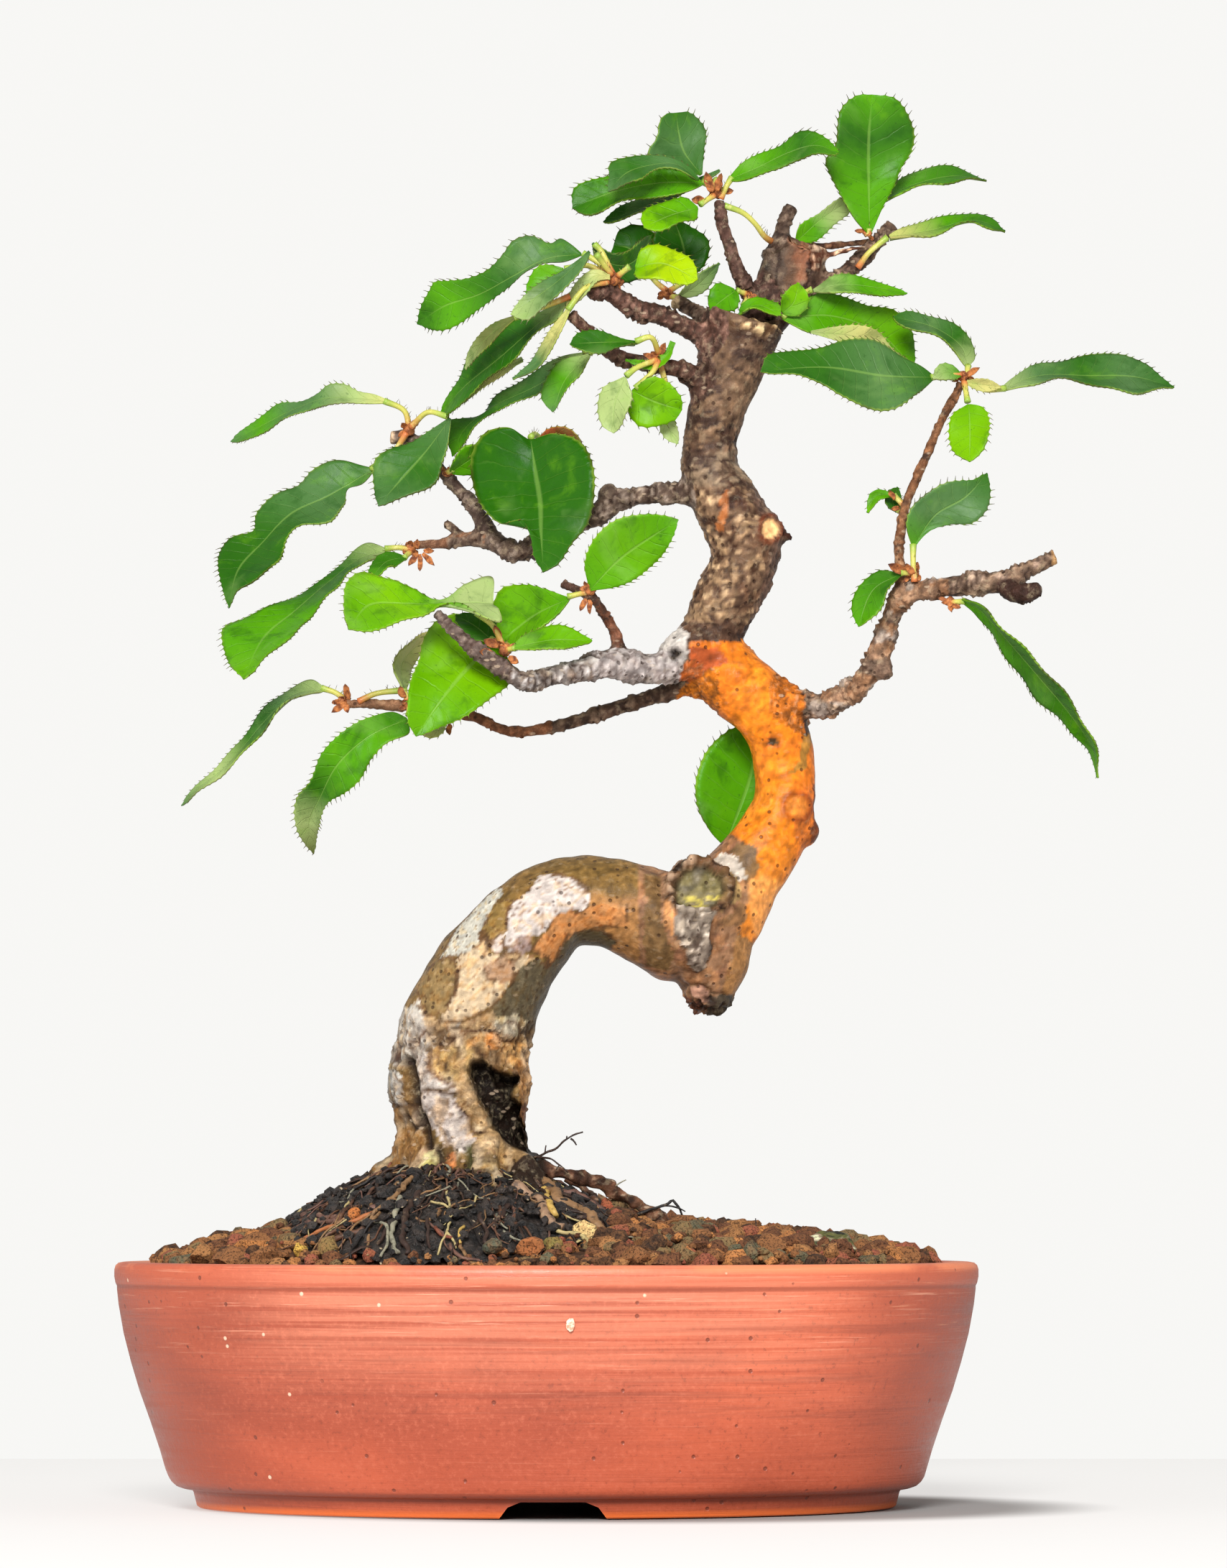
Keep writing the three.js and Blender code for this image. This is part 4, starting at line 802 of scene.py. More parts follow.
places = [(vert.co - FOOT) / MM for vert in wood_mesh.verts]
count = len(places)
nearest = []
for vert in wood_mesh.verts:
    best = min(marks.find_n(vert.co, 6), key=lambda found: abs(found[2] - limb_marks[found[1]][1]))
    nearest.append(best[1])
kinds = np.array([limb_marks[number][2] for number in nearest])
radii = np.array([limb_marks[number][1] / MM for number in nearest])
behind = np.array([
    (vert.co - limb_marks[number][0]).y / MM for vert, number in zip(wood_mesh.verts, nearest)])
along_limb = np.array([limb_marks[number][3] for number in nearest])
depths = np.array([place.y for place in places])
reach = VIEW_DISTANCE / (VIEW_DISTANCE + depths)
front_x = VIEW_X + (np.array([place.x for place in places]) - VIEW_X) * reach
front_z = VIEW_Z + (np.array([place.z for place in places]) - VIEW_Z) * reach
lumps = noise_at(0.11)
knots = noise_at(0.33, (7, 3, 1))
grain = noise_at(0.85, (1, 8, 5))
flecks = noise_at(1.7, (4, 4, 9))
drift_x = noise_at(0.3, (20, 0, 0))
drift_z = noise_at(0.3, (0, 30, 0))
wrinkles = np.array([
    noise.noise(Vector((place.x * 0.16, place.y * 0.16 + 9, arc * 1.05)))
    for place, arc in zip(places, along_limb)])
ridges = np.array([
    1 - abs(noise.noise(Vector((x * 0.2, y * 0.2, z * 0.1 + 3)))) * 2.4 for x, y, z in places])

is_low = np.isin(kinds, ["low trunk", "callus"]) | ((kinds == "knob") & (front_z < 120))
is_high = (kinds == "high trunk") | ((kinds == "knob") & (front_z > 120) & (front_x > 18) & (front_x < 52))
is_root = kinds == "root"
turned = ramp(behind, -1.5, 1.0)
side_scales = np.array([
    noise.noise(Vector((x * 0.17 + sway * 0.3 + 5, y * 0.2, z * 0.1)))
    for (x, y, z), sway in zip(places, drift_z)])
is_orange = is_high & (front_z < 150.5 + drift_z * 2 + turned * side_scales * 18) & (front_x > 25)
is_branch = ~(is_low | is_high | is_root)
is_leader = np.isin(kinds, ["leader stub", "leader branch", "leader splinter"]) | (
    (kinds == "knob") & (front_z > 207) & (depths > 2))
foot_zone = ramp(front_z, 84, 66) * (is_low | is_root)

size_share = np.clip(radii, 0.6, 9)
relief = lumps * 0.055 * size_share + knots * 0.028 * size_share
knuckle = np.abs((along_limb + drift_x * 1.5 + radii * 2) % 6.2 - 3.1)
knuckle_bump = np.exp(-(knuckle / 0.8) ** 2) * is_branch * (knots > -0.25)
knuckle_line = np.exp(-((knuckle - 1.15) / 0.24) ** 2) * is_branch * (knots > -0.25)
relief += (knuckle_bump * 0.26 - knuckle_line * 0.1) * np.clip(radii, 0.6, 2)
saw_lip = np.exp(-((front_z - 205.5 - knots * 1.2) / 0.75) ** 2) * (kinds == "high trunk")
relief += saw_lip * (0.5 + grain * 0.9)
smooth_top = 0.22 + 0.78 * ramp(front_z, 190, 184)
wrinkled = wrinkles * 0.34 + grain * 0.2 + np.maximum(knots, 0) * 0.3
relief += np.where(is_high & ~is_orange, wrinkled * smooth_top, 0)
relief += np.where(is_branch, wrinkles * 0.16 * np.clip(radii, 0, 2) + grain * 0.07, 0)
relief += foot_zone * (ridges * 0.6 + grain * 0.14 + knots * 0.45)
relief += np.where(is_root, grain * 0.16, 0)
relief += np.where(is_orange, flecks * 0.03, 0)

# The hollow under the arch, wide above and running down to a point. It is painted near black as the shade inside
# it.
hollow_left = np.interp(front_z, [60, 61, 62, 63, 64.6, 66, 68, 70, 72, 74, 77.6],
                        [-3.4, -5, -6.6, -8, -9.6, -10, -10.9, -11.9, -12.7, -13.2, -13.6])
hollow_right = np.interp(front_z, [60, 62, 64, 66, 69, 71, 74], [-1, -2.2, -3.4, -4.4, -5, -6, -5.4])
hollow_top = np.interp(front_x, [-14, -11, -9.6, -8, -5], [77.9, 77.5, 76.4, 75.4, 74.6])
rough_edge = drift_x * 0.5 + grain * 0.5
hollow = (
    ramp(front_x - hollow_left + rough_edge, -0.3, 0.8)
    * ramp(hollow_right - front_x + rough_edge, -0.3, 0.8)
    * ramp(front_z, 59, 60.5) * ramp(hollow_top + drift_z * 0.8 - front_z, 0, 1) * (behind < 1))
hollow *= is_low | is_root

# The old pruning wound on the elbow: a rolled ring of callus around a sunken face, and below it
# the drop-shaped scale of old bark.
wound_x = (front_x - 26.6) / 4.6
wound_z = (front_z - 107.3) / 4.0
wound_out = np.sqrt(wound_x ** 2 + wound_z ** 2) + drift_x * 0.12 + grain * 0.1
wound_front = (depths < -2) & (is_low | (kinds == "high trunk"))
wound_face = ramp(wound_out, 1.0, 0.82) * wound_front
wound_ring = np.exp(-((wound_out - 1.14) / 0.16) ** 2) * wound_front
relief += wound_ring * (0.7 + grain * 1.7) - wound_face * (1.5 - knots * 0.8 - grain * 0.5)
DROP_OUTLINE = [
    (23, 103.8), (22, 101.6), (22.4, 99.6), (24, 96.4), (24.6, 94), (26, 92.8), (27.2, 92.8), (28, 94.6),
    (28.9, 96.8), (28.6, 99.4), (28.3, 101), (29.2, 102.8), (28.2, 104.2),
]
line_x = front_x + drift_x * 0.5
line_z = front_z + drift_z * 0.5
drop_shape = inside(DROP_OUTLINE, line_x, line_z) & wound_front
relief += np.where(drop_shape, 0.5 + grain * 0.35 + flecks * 0.25, 0)

# Scars of cut shoots on the orange bend and above it.
scars = []
for scar_x, scar_z, scar_wide, scar_high, rim, dip in [
    (39.4, 132.8, 1.1, 0.9, 0.2, 0.5), (43.6, 121.5, 2.0, 2.1, 0.3, 0.1), (38.9, 170.2, 1.6, 2.0, 0.5, 0.2),
    (22.4, 148.2, 1.3, 1.1, 0.5, 1.6),
]:
    out = np.sqrt(((front_x - scar_x) / scar_wide) ** 2 + ((front_z - scar_z) / scar_high) ** 2)
    out += drift_x * 0.1
    faced = (depths < 3) & (behind < 0.5 * radii)
    scar_face = ramp(out, 1.0, 0.75) * faced
    scar_ring = np.exp(-((out - 1.15) / 0.22) ** 2) * faced
    relief += scar_ring * rim - scar_face * dip
    scars.append((scar_face, scar_ring))

# Flowing ridges and grooves of the foot and the elbow, each a line seen across and up, its width,
# how far it stands out or cuts in, and the colour and the strength of its mark.
FLOWING_LINES = [
    ([(-22.8, 85), (-21.6, 80), (-21.2, 75.5), (-19.4, 73), (-16.6, 72)], 1.3, 0.6, (216, 206, 196), 0.5),
    ([(-20.8, 70.6), (-18, 67), (-14.6, 63.6), (-11, 61.4)], 2.2, 0.9, (210, 194, 184), 0.3),
    ([(-15, 76.6), (-13.6, 72), (-11.4, 67), (-9.8, 64.2), (-6.8, 61.4), (-3.4, 59.4)], 0.9, 0.9,
     (176, 146, 108), 0.8),
    ([(-26, 63.6), (-25, 61), (-27, 58.4)], 1.2, 0.5, (158, 118, 70), 0.4),
    ([(-24.2, 77), (-23.2, 73.6), (-22.7, 70), (-21.8, 67.4), (-20.8, 64.4), (-20.4, 62.6)], 0.75, -1.6,
     (34, 25, 19), 0.94),
    ([(-18.6, 61.4), (-18.2, 58), (-17.6, 56)], 0.7, -1.1, (32, 25, 19), 0.92),
    ([(-13.2, 62), (-13.4, 59.6), (-14, 57.6)], 0.5, -0.8, (62, 66, 32), 0.85),
    ([(-20.2, 78.8), (-20.6, 76.8), (-20.2, 75.2), (-18.6, 73.8), (-16.4, 72.4)], 0.34, -0.4,
     (92, 62, 42), 0.85),
    ([(-21.9, 69.4), (-21.6, 71.4), (-20.2, 72.3), (-18.2, 71.6), (-15.8, 71.2)], 0.34, -0.35,
     (84, 62, 48), 0.8),
    ([(-15.8, 69.6), (-14.2, 67.7)], 0.34, -0.4, (62, 38, 30), 0.85),
    ([(-20.6, 79), (-18.8, 81), (-17, 82.5), (-15, 82.9)], 0.36, -0.5, (98, 76, 54), 0.85),
    ([(-18.6, 79.9), (-17.6, 81), (-16.2, 81.3), (-15.8, 80.8), (-17, 80.2)], 0.34, -0.5, (72, 50, 36),
     0.9),
    ([(-14.6, 82), (-12, 82.3), (-10, 82.2), (-8.4, 81.8)], 0.28, -0.4, (66, 38, 24), 0.9),
    ([(-23.4, 80.6), (-22.8, 80.1), (-22, 81.2), (-21.1, 82.3)], 0.3, -0.3, (84, 54, 36), 0.8),
    ([(-19.3, 85.1), (-18, 84.3), (-16.4, 83.9), (-13.6, 84.3), (-10.4, 85.6), (-8.4, 87.8)], 0.3, -0.4,
     (104, 78, 52), 0.85),
    ([(-25.7, 80), (-25.9, 78), (-26, 77)], 0.35, -0.5, (56, 36, 28), 0.8),
    ([(-26.6, 69.6), (-24.4, 69.6), (-22.6, 69)], 0.4, -0.5, (66, 46, 32), 0.75),
    ([(-24.4, 67.6), (-23, 65.4), (-22, 66), (-20.6, 65.6)], 0.45, -0.7, (44, 32, 24), 0.85),
    ([(-17.9, 77), (-17.4, 75.8)], 0.34, -0.3, (52, 34, 24), 0.8),
    ([(-12, 78.6), (-11, 78)], 0.4, -0.3, (60, 36, 22), 0.8),
    ([(-8.2, 80.9), (-6.4, 80.4), (-5.8, 81.4)], 0.34, -0.3, (78, 46, 28), 0.8),
    ([(-13.4, 65.8), (-12.4, 64.9), (-10.8, 64.8)], 0.34, -0.4, (66, 44, 30), 0.8),
    # The crevice between the arch and the callus, painted dark as the shade in it.
    ([(19.4, 110), (19.8, 106), (20.2, 102), (21.2, 97), (22.2, 93), (23.4, 90)], 0.7, -0.5, (72, 54, 36),
     0.75),
    ([(28.4, 101.6), (28.5, 99.6), (29, 97.4), (28.4, 94.8), (27.2, 93)], 0.3, -0.5, (54, 32, 24), 0.92),
    ([(22, 102), (22.4, 99.4), (24, 96.2), (24.6, 94), (26, 92.7)], 0.24, -0.2, (96, 68, 48), 0.7),
    ([(35.1, 103), (35.8, 100), (36.5, 97)], 0.3, -0.3, (88, 52, 36), 0.8),
    ([(23.4, 89.2), (24, 90.2), (26.4, 90.3), (27.6, 89.2), (28.8, 88)], 0.34, -0.7, (54, 30, 24), 0.9),
    ([(30, 92.2), (32.4, 92.8)], 0.25, -0.3, (104, 70, 46), 0.7),
    ([(28.8, 88.6), (31, 88.4), (32.6, 88)], 0.4, -0.5, (52, 40, 34), 0.8),
]
front_side = ramp(2.5 - behind, 0, 3)


def beside(line, width):
    """How near each place is to a line seen from the front, 1 on it and fading over its width."""
    gap = np.full(count, 1e9)
    for (ax, az), (bx, bz) in zip(line, line[1:]):
        run_x, run_z = bx - ax, bz - az
        along_run = (line_x - ax) * run_x + (line_z - az) * run_z
        part = np.clip(along_run / (run_x ** 2 + run_z ** 2), 0, 1)
        gap = np.minimum(gap, np.hypot(line_x - ax - part * run_x, line_z - az - part * run_z))
    return np.exp(-(gap / width) ** 2) * front_side * (is_low | is_root)


flowing = [beside(line, width) for line, width, _, _, _ in FLOWING_LINES]
swelling = np.exp(-((front_x + 27) / 2.6) ** 2 - ((front_z - 71) / 6) ** 2) * is_low
on_knob_end = is_low & (front_x > 21) & (front_x < 36) & (front_z < 91)
knob_end = np.exp(-((front_z - 86) / 2.2) ** 2) * on_knob_end
veil = np.array([noise.noise(Vector((x * 0.42 + w * 0.5, y * 0.36, z * 0.16 + x * 0.1 + 2)))
                 for (x, y, z), w in zip(places, drift_z)])
threads_low = np.array([
    abs(noise.noise(Vector((x * 0.62, y * 0.6, z * 0.24 + 7)))) for x, y, z in places])


def crack_depth(scale_x, scale_y, scale_z, warp):
    """How near each place is to a crack between plates of bark, 0 to 1."""
    near = []
    for (x, y, z), sway in zip(places, drift_z):
        gaps, _ = noise.voronoi(Vector((x * scale_x + sway * warp, y * scale_y, z * scale_z)))
        near.append(gaps[1] - gaps[0])
    return ramp(np.array(near), 0.2, 0.03)


long_cracks = crack_depth(0.34, 0.34, 0.13, 0.7)
ring_cracks = crack_depth(0.2, 0.2, 0.5, 0.5)
small_cracks = crack_depth(0.62, 0.62, 0.4, 0.3)
cracked_foot = np.maximum(long_cracks * (knots > -0.2), small_cracks * (drift_x > 0.2))
cracked_foot = cracked_foot * is_low * ramp(front_z, 87, 80)
cracked_top = np.maximum(ring_cracks * (drift_x > 0), small_cracks * (knots > 0.15))
cracked_top = cracked_top * (is_high & ~is_orange)
cracked_limbs = small_cracks * is_branch * (radii > 1.4)
relief -= cracked_foot * 0.5 + cracked_top * 0.2 + cracked_limbs * 0.1
relief += 0.7 * swelling + knob_end * (grain * 1.5 + flecks * 0.8 + knots * 0.9)
for near, (_, _, height, _, _) in zip(flowing, FLOWING_LINES):
    relief += near * height
relief += is_low * ramp(front_z, 86, 80) * (veil * 0.9 - ramp(threads_low, 0.05, 0) * 0.2)

for number, vert in enumerate(wood_mesh.verts):
    vert.co += vert.normal * (relief[number] * MM)
    if hollow[number] > 0:
        vert.co.y += hollow[number] * (6.5 + knots[number] * 2.5) * MM

# The block where the leader was cut away: split faces at the top, the left, the right and the front.
for number, vert in enumerate(wood_mesh.verts):
    if is_leader[number] and kinds[number] == "knob":
        x, y, z = (vert.co - FOOT) / MM
        rough = grain[number] * 0.7 + knots[number] * 0.8
        z = min(z, 222.2 - max(0, x - 40) * 0.42 + rough)
        x = max(x, 34.4 + (z - 207) * 0.3 + rough * 0.3)
        x = min(x, 48.6 - max(0, 217.6 - z) * 0.4 + rough * 1.6)
        y = max(y, 4.9 + abs(x - 43) * 0.12 + rough * 0.3)
        vert.co = FOOT + Vector((x, y, z)) * MM

# The colours of the bark, laid from the ground colour of each stretch to its patches and marks.
bark = np.zeros((count, 3))


def lay(mask, red, green, blue, amount=1.0):
    share = (np.asarray(mask, float) * amount)[:, None]
    bark[:] = bark * (1 - share) + np.array([red, green, blue]) * share


patch_x = front_x + drift_x * 0.7 + grain * 0.12
patch_z = front_z + drift_z * 0.7 + knots * 0.15


def patch(outline):
    return inside(outline, patch_x, patch_z)


lay(np.ones(count), 118, 96, 82)
low_trunk = is_low | is_root
lay(low_trunk, 116, 92, 54)
lay(low_trunk & (lumps > 0.02), 128, 100, 60, 0.6)
lay(low_trunk * ramp(front_z + drift_z * 1.5, 106.6, 105) * (front_x > 6), 166, 122, 78, 0.9)
lay(low_trunk & (front_x > 12) & (front_z < 106) & (grain > 0.1), 134, 100, 66, 0.5)

# Patches of the low trunk where old bark has flaked off and where it stays, seen across and up,
# from the arch down to the foot.
BARK_PATCHES = [
    ([(4, 99.6), (9.6, 100), (12, 98), (11, 96.6), (5, 94), (3, 91), (1.4, 87), (-1, 84), (-3, 82),
      (-8, 84.6), (-9.6, 86.6), (-7.6, 88.4), (-6, 91), (-5.2, 93.2), (-1.6, 95.2), (0.4, 93.8),
      (2.2, 95.6), (3.2, 98.2)], (98, 88, 68)),
    ([(-2.6, 96.4), (-1.6, 98.2), (0.2, 100.2), (2, 102.6), (4, 103.3), (6, 103), (8, 104.6), (14, 104),
      (14, 100.5), (9, 100.4), (5, 99.6), (3.2, 98), (2, 95.2), (0.4, 93.6), (-0.2, 95)], (190, 136, 88)),
    ([(-10.4, 97.6), (-9.8, 95.6), (-7.6, 95.6), (-4.8, 95.8), (-2.4, 95.4), (-1.6, 95), (-5, 93.4),
      (-6.4, 90.4), (-7.8, 88.4), (-9.6, 86.6), (-12, 85.4), (-15, 84.2), (-17.6, 83.9), (-19.4, 84.9),
      (-17.4, 86.2), (-16.2, 89.6), (-15.6, 92.4), (-15.8, 94.6), (-14.8, 95.8), (-11.6, 98.4)],
     (202, 180, 150)),
    ([(-11.4, 93.6), (-8, 95.2), (-5.6, 94.4), (-6, 91.6), (-7.4, 90.4), (-10, 91.4)], (172, 140, 112)),
    ([(-8.1, 107.6), (-8, 105.6), (-9.8, 103.9), (-11.2, 100.6), (-11.6, 98.8), (-10.6, 97.6),
      (-14.4, 95.4), (-16.2, 95.2), (-18.4, 95.4), (-17, 98.6), (-12, 104.4)], (198, 193, 180)),
    ([(-10.8, 99), (-11.4, 100), (-11, 101.8), (-10, 103.4), (-8, 104.8), (-6, 104.9), (-7, 103),
      (-7.2, 100.6), (-8.4, 99.2), (-10, 97.8)], (140, 114, 68)),
    ([(-16.8, 95.2), (-15.8, 93.8), (-15.8, 92), (-16.4, 88.8), (-17.4, 86.6), (-19.8, 85), (-21.6, 85.4),
      (-22, 87.4), (-22.6, 90), (-19, 95)], (144, 120, 82)),
    ([(-7, 102.6), (-6.6, 104.4), (-5.6, 105), (-4.4, 105.4), (-3, 106.6), (-2.6, 108.2), (-1.4, 109.4),
      (0.4, 109.7), (2.2, 109.4), (5.4, 108.6), (6.6, 107.4), (7.2, 105), (6.8, 103.8), (5.8, 103),
      (4, 103.4), (2.4, 102.8), (1, 101.4), (-0.4, 99.8), (-2, 98.9), (-4, 98), (-4.8, 97), (-6.6, 96),
      (-7.4, 98), (-7.2, 100.4)], (206, 194, 186)),
    ([(-7.6, 99.4), (-9.6, 98.2), (-9.9, 96.4), (-8.8, 95.6), (-7.4, 96.4), (-7.2, 98)], (206, 190, 178)),
    ([(-5, 98.4), (-2.6, 98.6), (-2.6, 96.4), (-4, 95.6), (-6, 96.2)], (150, 130, 122)),
    ([(-22, 87.6), (-22, 85.4), (-19.6, 84.8), (-16, 83.6), (-12, 84.6), (-9, 86), (-8, 84.6), (-4, 82),
      (-2, 79), (-2, 76), (-26, 76), (-28, 80), (-26, 84)], (190, 160, 120)),
    ([(-22, 88), (-21.6, 85), (-20.8, 82), (-21, 79), (-22, 76.4), (-28, 76.4), (-28, 84)],
     (204, 196, 184)),
    ([(-21, 79.4), (-18.6, 82), (-15.6, 83.6), (-15.6, 82.8), (-18.4, 80.6), (-20, 78.8)],
     (196, 184, 168)),
    ([(-8.6, 84.8), (-5.4, 85), (-3.2, 84), (-3.4, 81.4), (-6, 81.8), (-9, 82.8)], (180, 168, 140)),
    ([(-22.4, 78), (-20.6, 78.6), (-20.4, 75.2), (-18.4, 73.4), (-15.6, 72.8), (-15.6, 71.4), (-18, 71.8),
      (-20, 72.4), (-21.8, 71.6), (-22.2, 68.6), (-22.6, 73)], (216, 204, 194)),
    ([(-20.6, 78.4), (-19.6, 79.2), (-16, 80), (-13, 79), (-13.6, 76), (-14.4, 73), (-17.4, 73.6),
      (-19, 74), (-20.6, 75.6)], (196, 164, 112)),
    ([(-14.4, 79), (-12, 80.4), (-9.6, 80.6), (-8, 78), (-6, 76.4), (-4.4, 75), (-3.2, 76), (-3.4, 80),
      (-6, 81.2), (-8.4, 82), (-10.4, 82.2), (-14, 81)], (216, 172, 116)),
    ([(-10.8, 82), (-9.4, 82.2), (-8.2, 81.4), (-7.8, 80.2), (-8.8, 78.6), (-10.4, 79.2)],
     (232, 160, 92)),
    ([(-21.8, 71.4), (-20, 72), (-16.6, 71.4), (-15.4, 69), (-14, 67.6), (-13.6, 65), (-12, 63.4),
      (-14, 61), (-17.6, 62), (-19.8, 65.6), (-21.6, 68)], (208, 195, 186)),
    ([(-14.6, 75), (-13.4, 73), (-12.4, 71), (-10.6, 67.2), (-12.6, 67), (-14.4, 68.4), (-15.8, 70.2),
      (-16.4, 72.4)], (184, 152, 110)),
    ([(-13.2, 67.2), (-10.4, 67.4), (-10, 66), (-11.4, 65.2), (-13, 65.8)], (228, 206, 170)),
    ([(-5.6, 77.4), (-3, 77.6), (-2, 72), (-2.4, 69.6), (-5, 69.8), (-5.6, 73)], (192, 142, 88)),
    ([(-5.2, 69.8), (-2, 69.8), (-2.6, 64.6), (-4.6, 65.4)], (112, 72, 50)),
    ([(-28, 75.6), (-25.4, 75.4), (-24.6, 72), (-24, 69.8), (-28, 69.8)], (200, 196, 188)),
    ([(-28, 69.8), (-22.6, 69.4), (-21.6, 66.6), (-24, 65.6), (-28, 66)], (150, 122, 88)),
    ([(-27, 65.6), (-22, 65.6), (-20.8, 62), (-19.8, 61.4), (-23, 58.4), (-24, 56), (-29, 55),
      (-33, 56.6), (-27, 60.8)], (152, 114, 68)),
    ([(-22.2, 58.4), (-21.6, 60.8), (-20, 61.6), (-18.4, 61.2), (-18.8, 59), (-20, 57), (-21.8, 56.4)],
     (204, 192, 118)),
    ([(-17.8, 60.6), (-16, 60.8), (-15.8, 58.6), (-16.6, 57.4), (-17.8, 58.4)], (204, 136, 86)),
    ([(-12.8, 64.4), (-10.4, 64.2), (-7.4, 61.8), (-6, 60.2), (-8, 59.6), (-11.2, 61.2)],
     (222, 182, 124)),
    ([(-12.4, 60.6), (-8, 59.4), (-8.6, 55), (-10.4, 53.6), (-12, 56)], (164, 138, 96)),
]
for outline, tone in BARK_PATCHES:
    inside_patch = patch(outline) & low_trunk
    lay(inside_patch, *tone)
    lay(inside_patch & (grain > 0.22), tone[0] * 0.82, tone[1] * 0.74, tone[2] * 0.62, 0.6)
    lay(inside_patch & (flecks > 0.42), tone[0] * 0.5, tone[1] * 0.4, tone[2] * 0.32, 0.7)
for outline, _ in BARK_PATCHES[:9]:
    grown_out = inside(outline, patch_x + 0.35, patch_z + 0.25)
    rim = grown_out ^ inside(outline, patch_x - 0.35, patch_z - 0.25)
    lay(rim & low_trunk & (knots > -0.1), 92, 66, 44, 0.7)
foot_bark = low_trunk * ramp(front_z + knots * 2 + drift_z * 2, 86, 83)
lay(foot_bark * ramp(veil, 0.1, 0.3), 216, 204, 192, 0.4)
lay(foot_bark * ramp(veil, -0.18, -0.34), 132, 98, 60, 0.5)
lay(foot_bark * ramp(threads_low, 0.03, 0.008) * (knots > 0), 70, 48, 34, 0.6)
lay(cracked_foot * (front_x < 5), 76, 54, 38, 0.4)
for near, (_, _, _, mark, strength) in zip(flowing, FLOWING_LINES):
    lay(near, *mark, strength)
lay(is_root & (front_z < 58) & (front_x < -4) & (drift_x > -0.2), 62, 50, 38, 0.7)
lay(ramp(front_z, 57, 52) * (is_root & (front_x < 2)), 34, 28, 24, 0.8)
lay(patch([(-4.6, 65.4), (-2, 65.4), (3, 60.4), (9, 57), (9, 48), (-9, 48), (-7.6, 56), (-5.6, 58.8), (-3.4, 60.2),
           (-5, 62)]) & low_trunk, 40, 31, 26, 0.92)
lay(is_root & (front_x > -0.5), 92, 62, 48, 0.85)
lay(is_root & (front_x > -0.5) & (grain > 0.2), 132, 96, 76, 0.6)
lay(is_root & (front_x > -0.5) & (grain < -0.15), 54, 36, 28, 0.8)

lay(is_orange, 210, 124, 38)
lay(is_orange & (lumps > 0.08), 220, 136, 48, 0.7)
# Painted shade: the bend is laid darker towards its left and right edges.
lay(is_orange * ramp(np.abs(front_x - 38.5), 3, 7.5), 196, 104, 44, 0.4)
lay(is_orange * ramp(knots, 0.1, 0.4), 204, 112, 48, 0.45)
lay(is_orange * ramp(front_z, 118, 106), 206, 136, 66, 0.5)
lay(is_orange * turned * ramp(side_scales, 0.0, 0.06), 150, 116, 82, 0.85)
lay(is_orange * turned * ramp(side_scales, 0.2, 0.26), 176, 164, 144, 0.7)
lay(is_orange * turned * ramp(side_scales, -0.16, -0.22), 122, 98, 72, 0.8)
lay(is_orange & (kinds == "knob") & (depths < 4) & (front_x > 41) & (front_z < 126), 204, 122, 54, 0.9)
elbow_line = np.interp(front_z, [86, 100, 108, 114, 118], [30, 33.5, 35.6, 36.4, 30])
elbow_front = (is_orange | is_low) & (front_x > 16) & (front_z < 118)
lay(elbow_front * ramp(elbow_line - front_x + drift_x * 1.2, -0.5, 0.5), 140, 107, 82, 0.95)
lay(elbow_front * ramp(elbow_line - front_x, 0, 1) * ramp(drift_z + knots * 0.5, 0.05, 0.3),
    132, 92, 70, 0.6)
lay(elbow_front & (front_x < elbow_line) & (knots > 0.1), 168, 122, 82, 0.5)
lay(elbow_front & (front_x < elbow_line) & (grain < -0.2), 122, 86, 60, 0.6)
lay(patch([(24.7, 149.5), (30.5, 149), (32.3, 146.9), (28.6, 145.1), (26, 143), (23.1, 141.7),
           (22.6, 144.6)]) & (is_orange | is_high), 160, 82, 46)
# Patches and scars of the elbow and the bend, seen across and up.
BEND_PATCHES = [
    ([(17, 109.6), (19.6, 109.6), (20, 102), (22, 95), (21, 92.4), (17, 94)], (112, 88, 58)),
    ([(20.2, 106), (22.4, 103), (22.2, 99), (20.6, 101)], (198, 144, 96)),
    ([(15, 93), (20.4, 92.2), (24, 88.4), (20, 87), (14, 92)], (184, 134, 92)),
    ([(29.4, 110.4), (32, 110.6), (34, 107.6), (33.8, 105), (31, 104.4), (29.8, 102.4), (30.4, 107)],
     (154, 128, 86)),
    ([(29.4, 100.8), (33.6, 104.8), (35, 103.6), (34.6, 101), (31.6, 100.4)], (130, 98, 68)),
    ([(31.2, 114), (33, 115.4), (36.4, 115), (36.8, 111), (36.4, 108.2), (34.6, 108.4), (34.6, 110),
      (33, 112.6)], (118, 94, 66)),
    ([(29, 111.4), (30.4, 113.8), (32.4, 113), (34.2, 111), (34.8, 109), (33.6, 108.2), (32.4, 109.8),
      (30.4, 111)], (206, 196, 184)),
    ([(24.6, 90), (27, 90), (29, 87.6), (27, 87), (25.6, 88)], (176, 136, 116)),
    ([(45.6, 124.4), (48.6, 124.4), (48.6, 122), (45.8, 122)], (176, 140, 122)),
    ([(46, 118.4), (49, 118.4), (49, 113.6), (46.6, 113.6), (45.4, 115.4)], (88, 46, 32)),
    ([(46.2, 121), (48, 121), (48, 119.4), (46.2, 119.4)], (96, 50, 34)),
    ([(42.2, 127), (45, 128), (46.8, 134), (45.6, 139), (44.8, 134), (44, 130)], (158, 118, 58)),
    ([(23, 88.6), (25, 88), (27, 86.4), (26.6, 84), (23, 84)], (128, 86, 68)),
    ([(28.6, 88.2), (32.6, 88.6), (34, 86), (31, 83.6), (27, 84)], (70, 64, 54)),
]
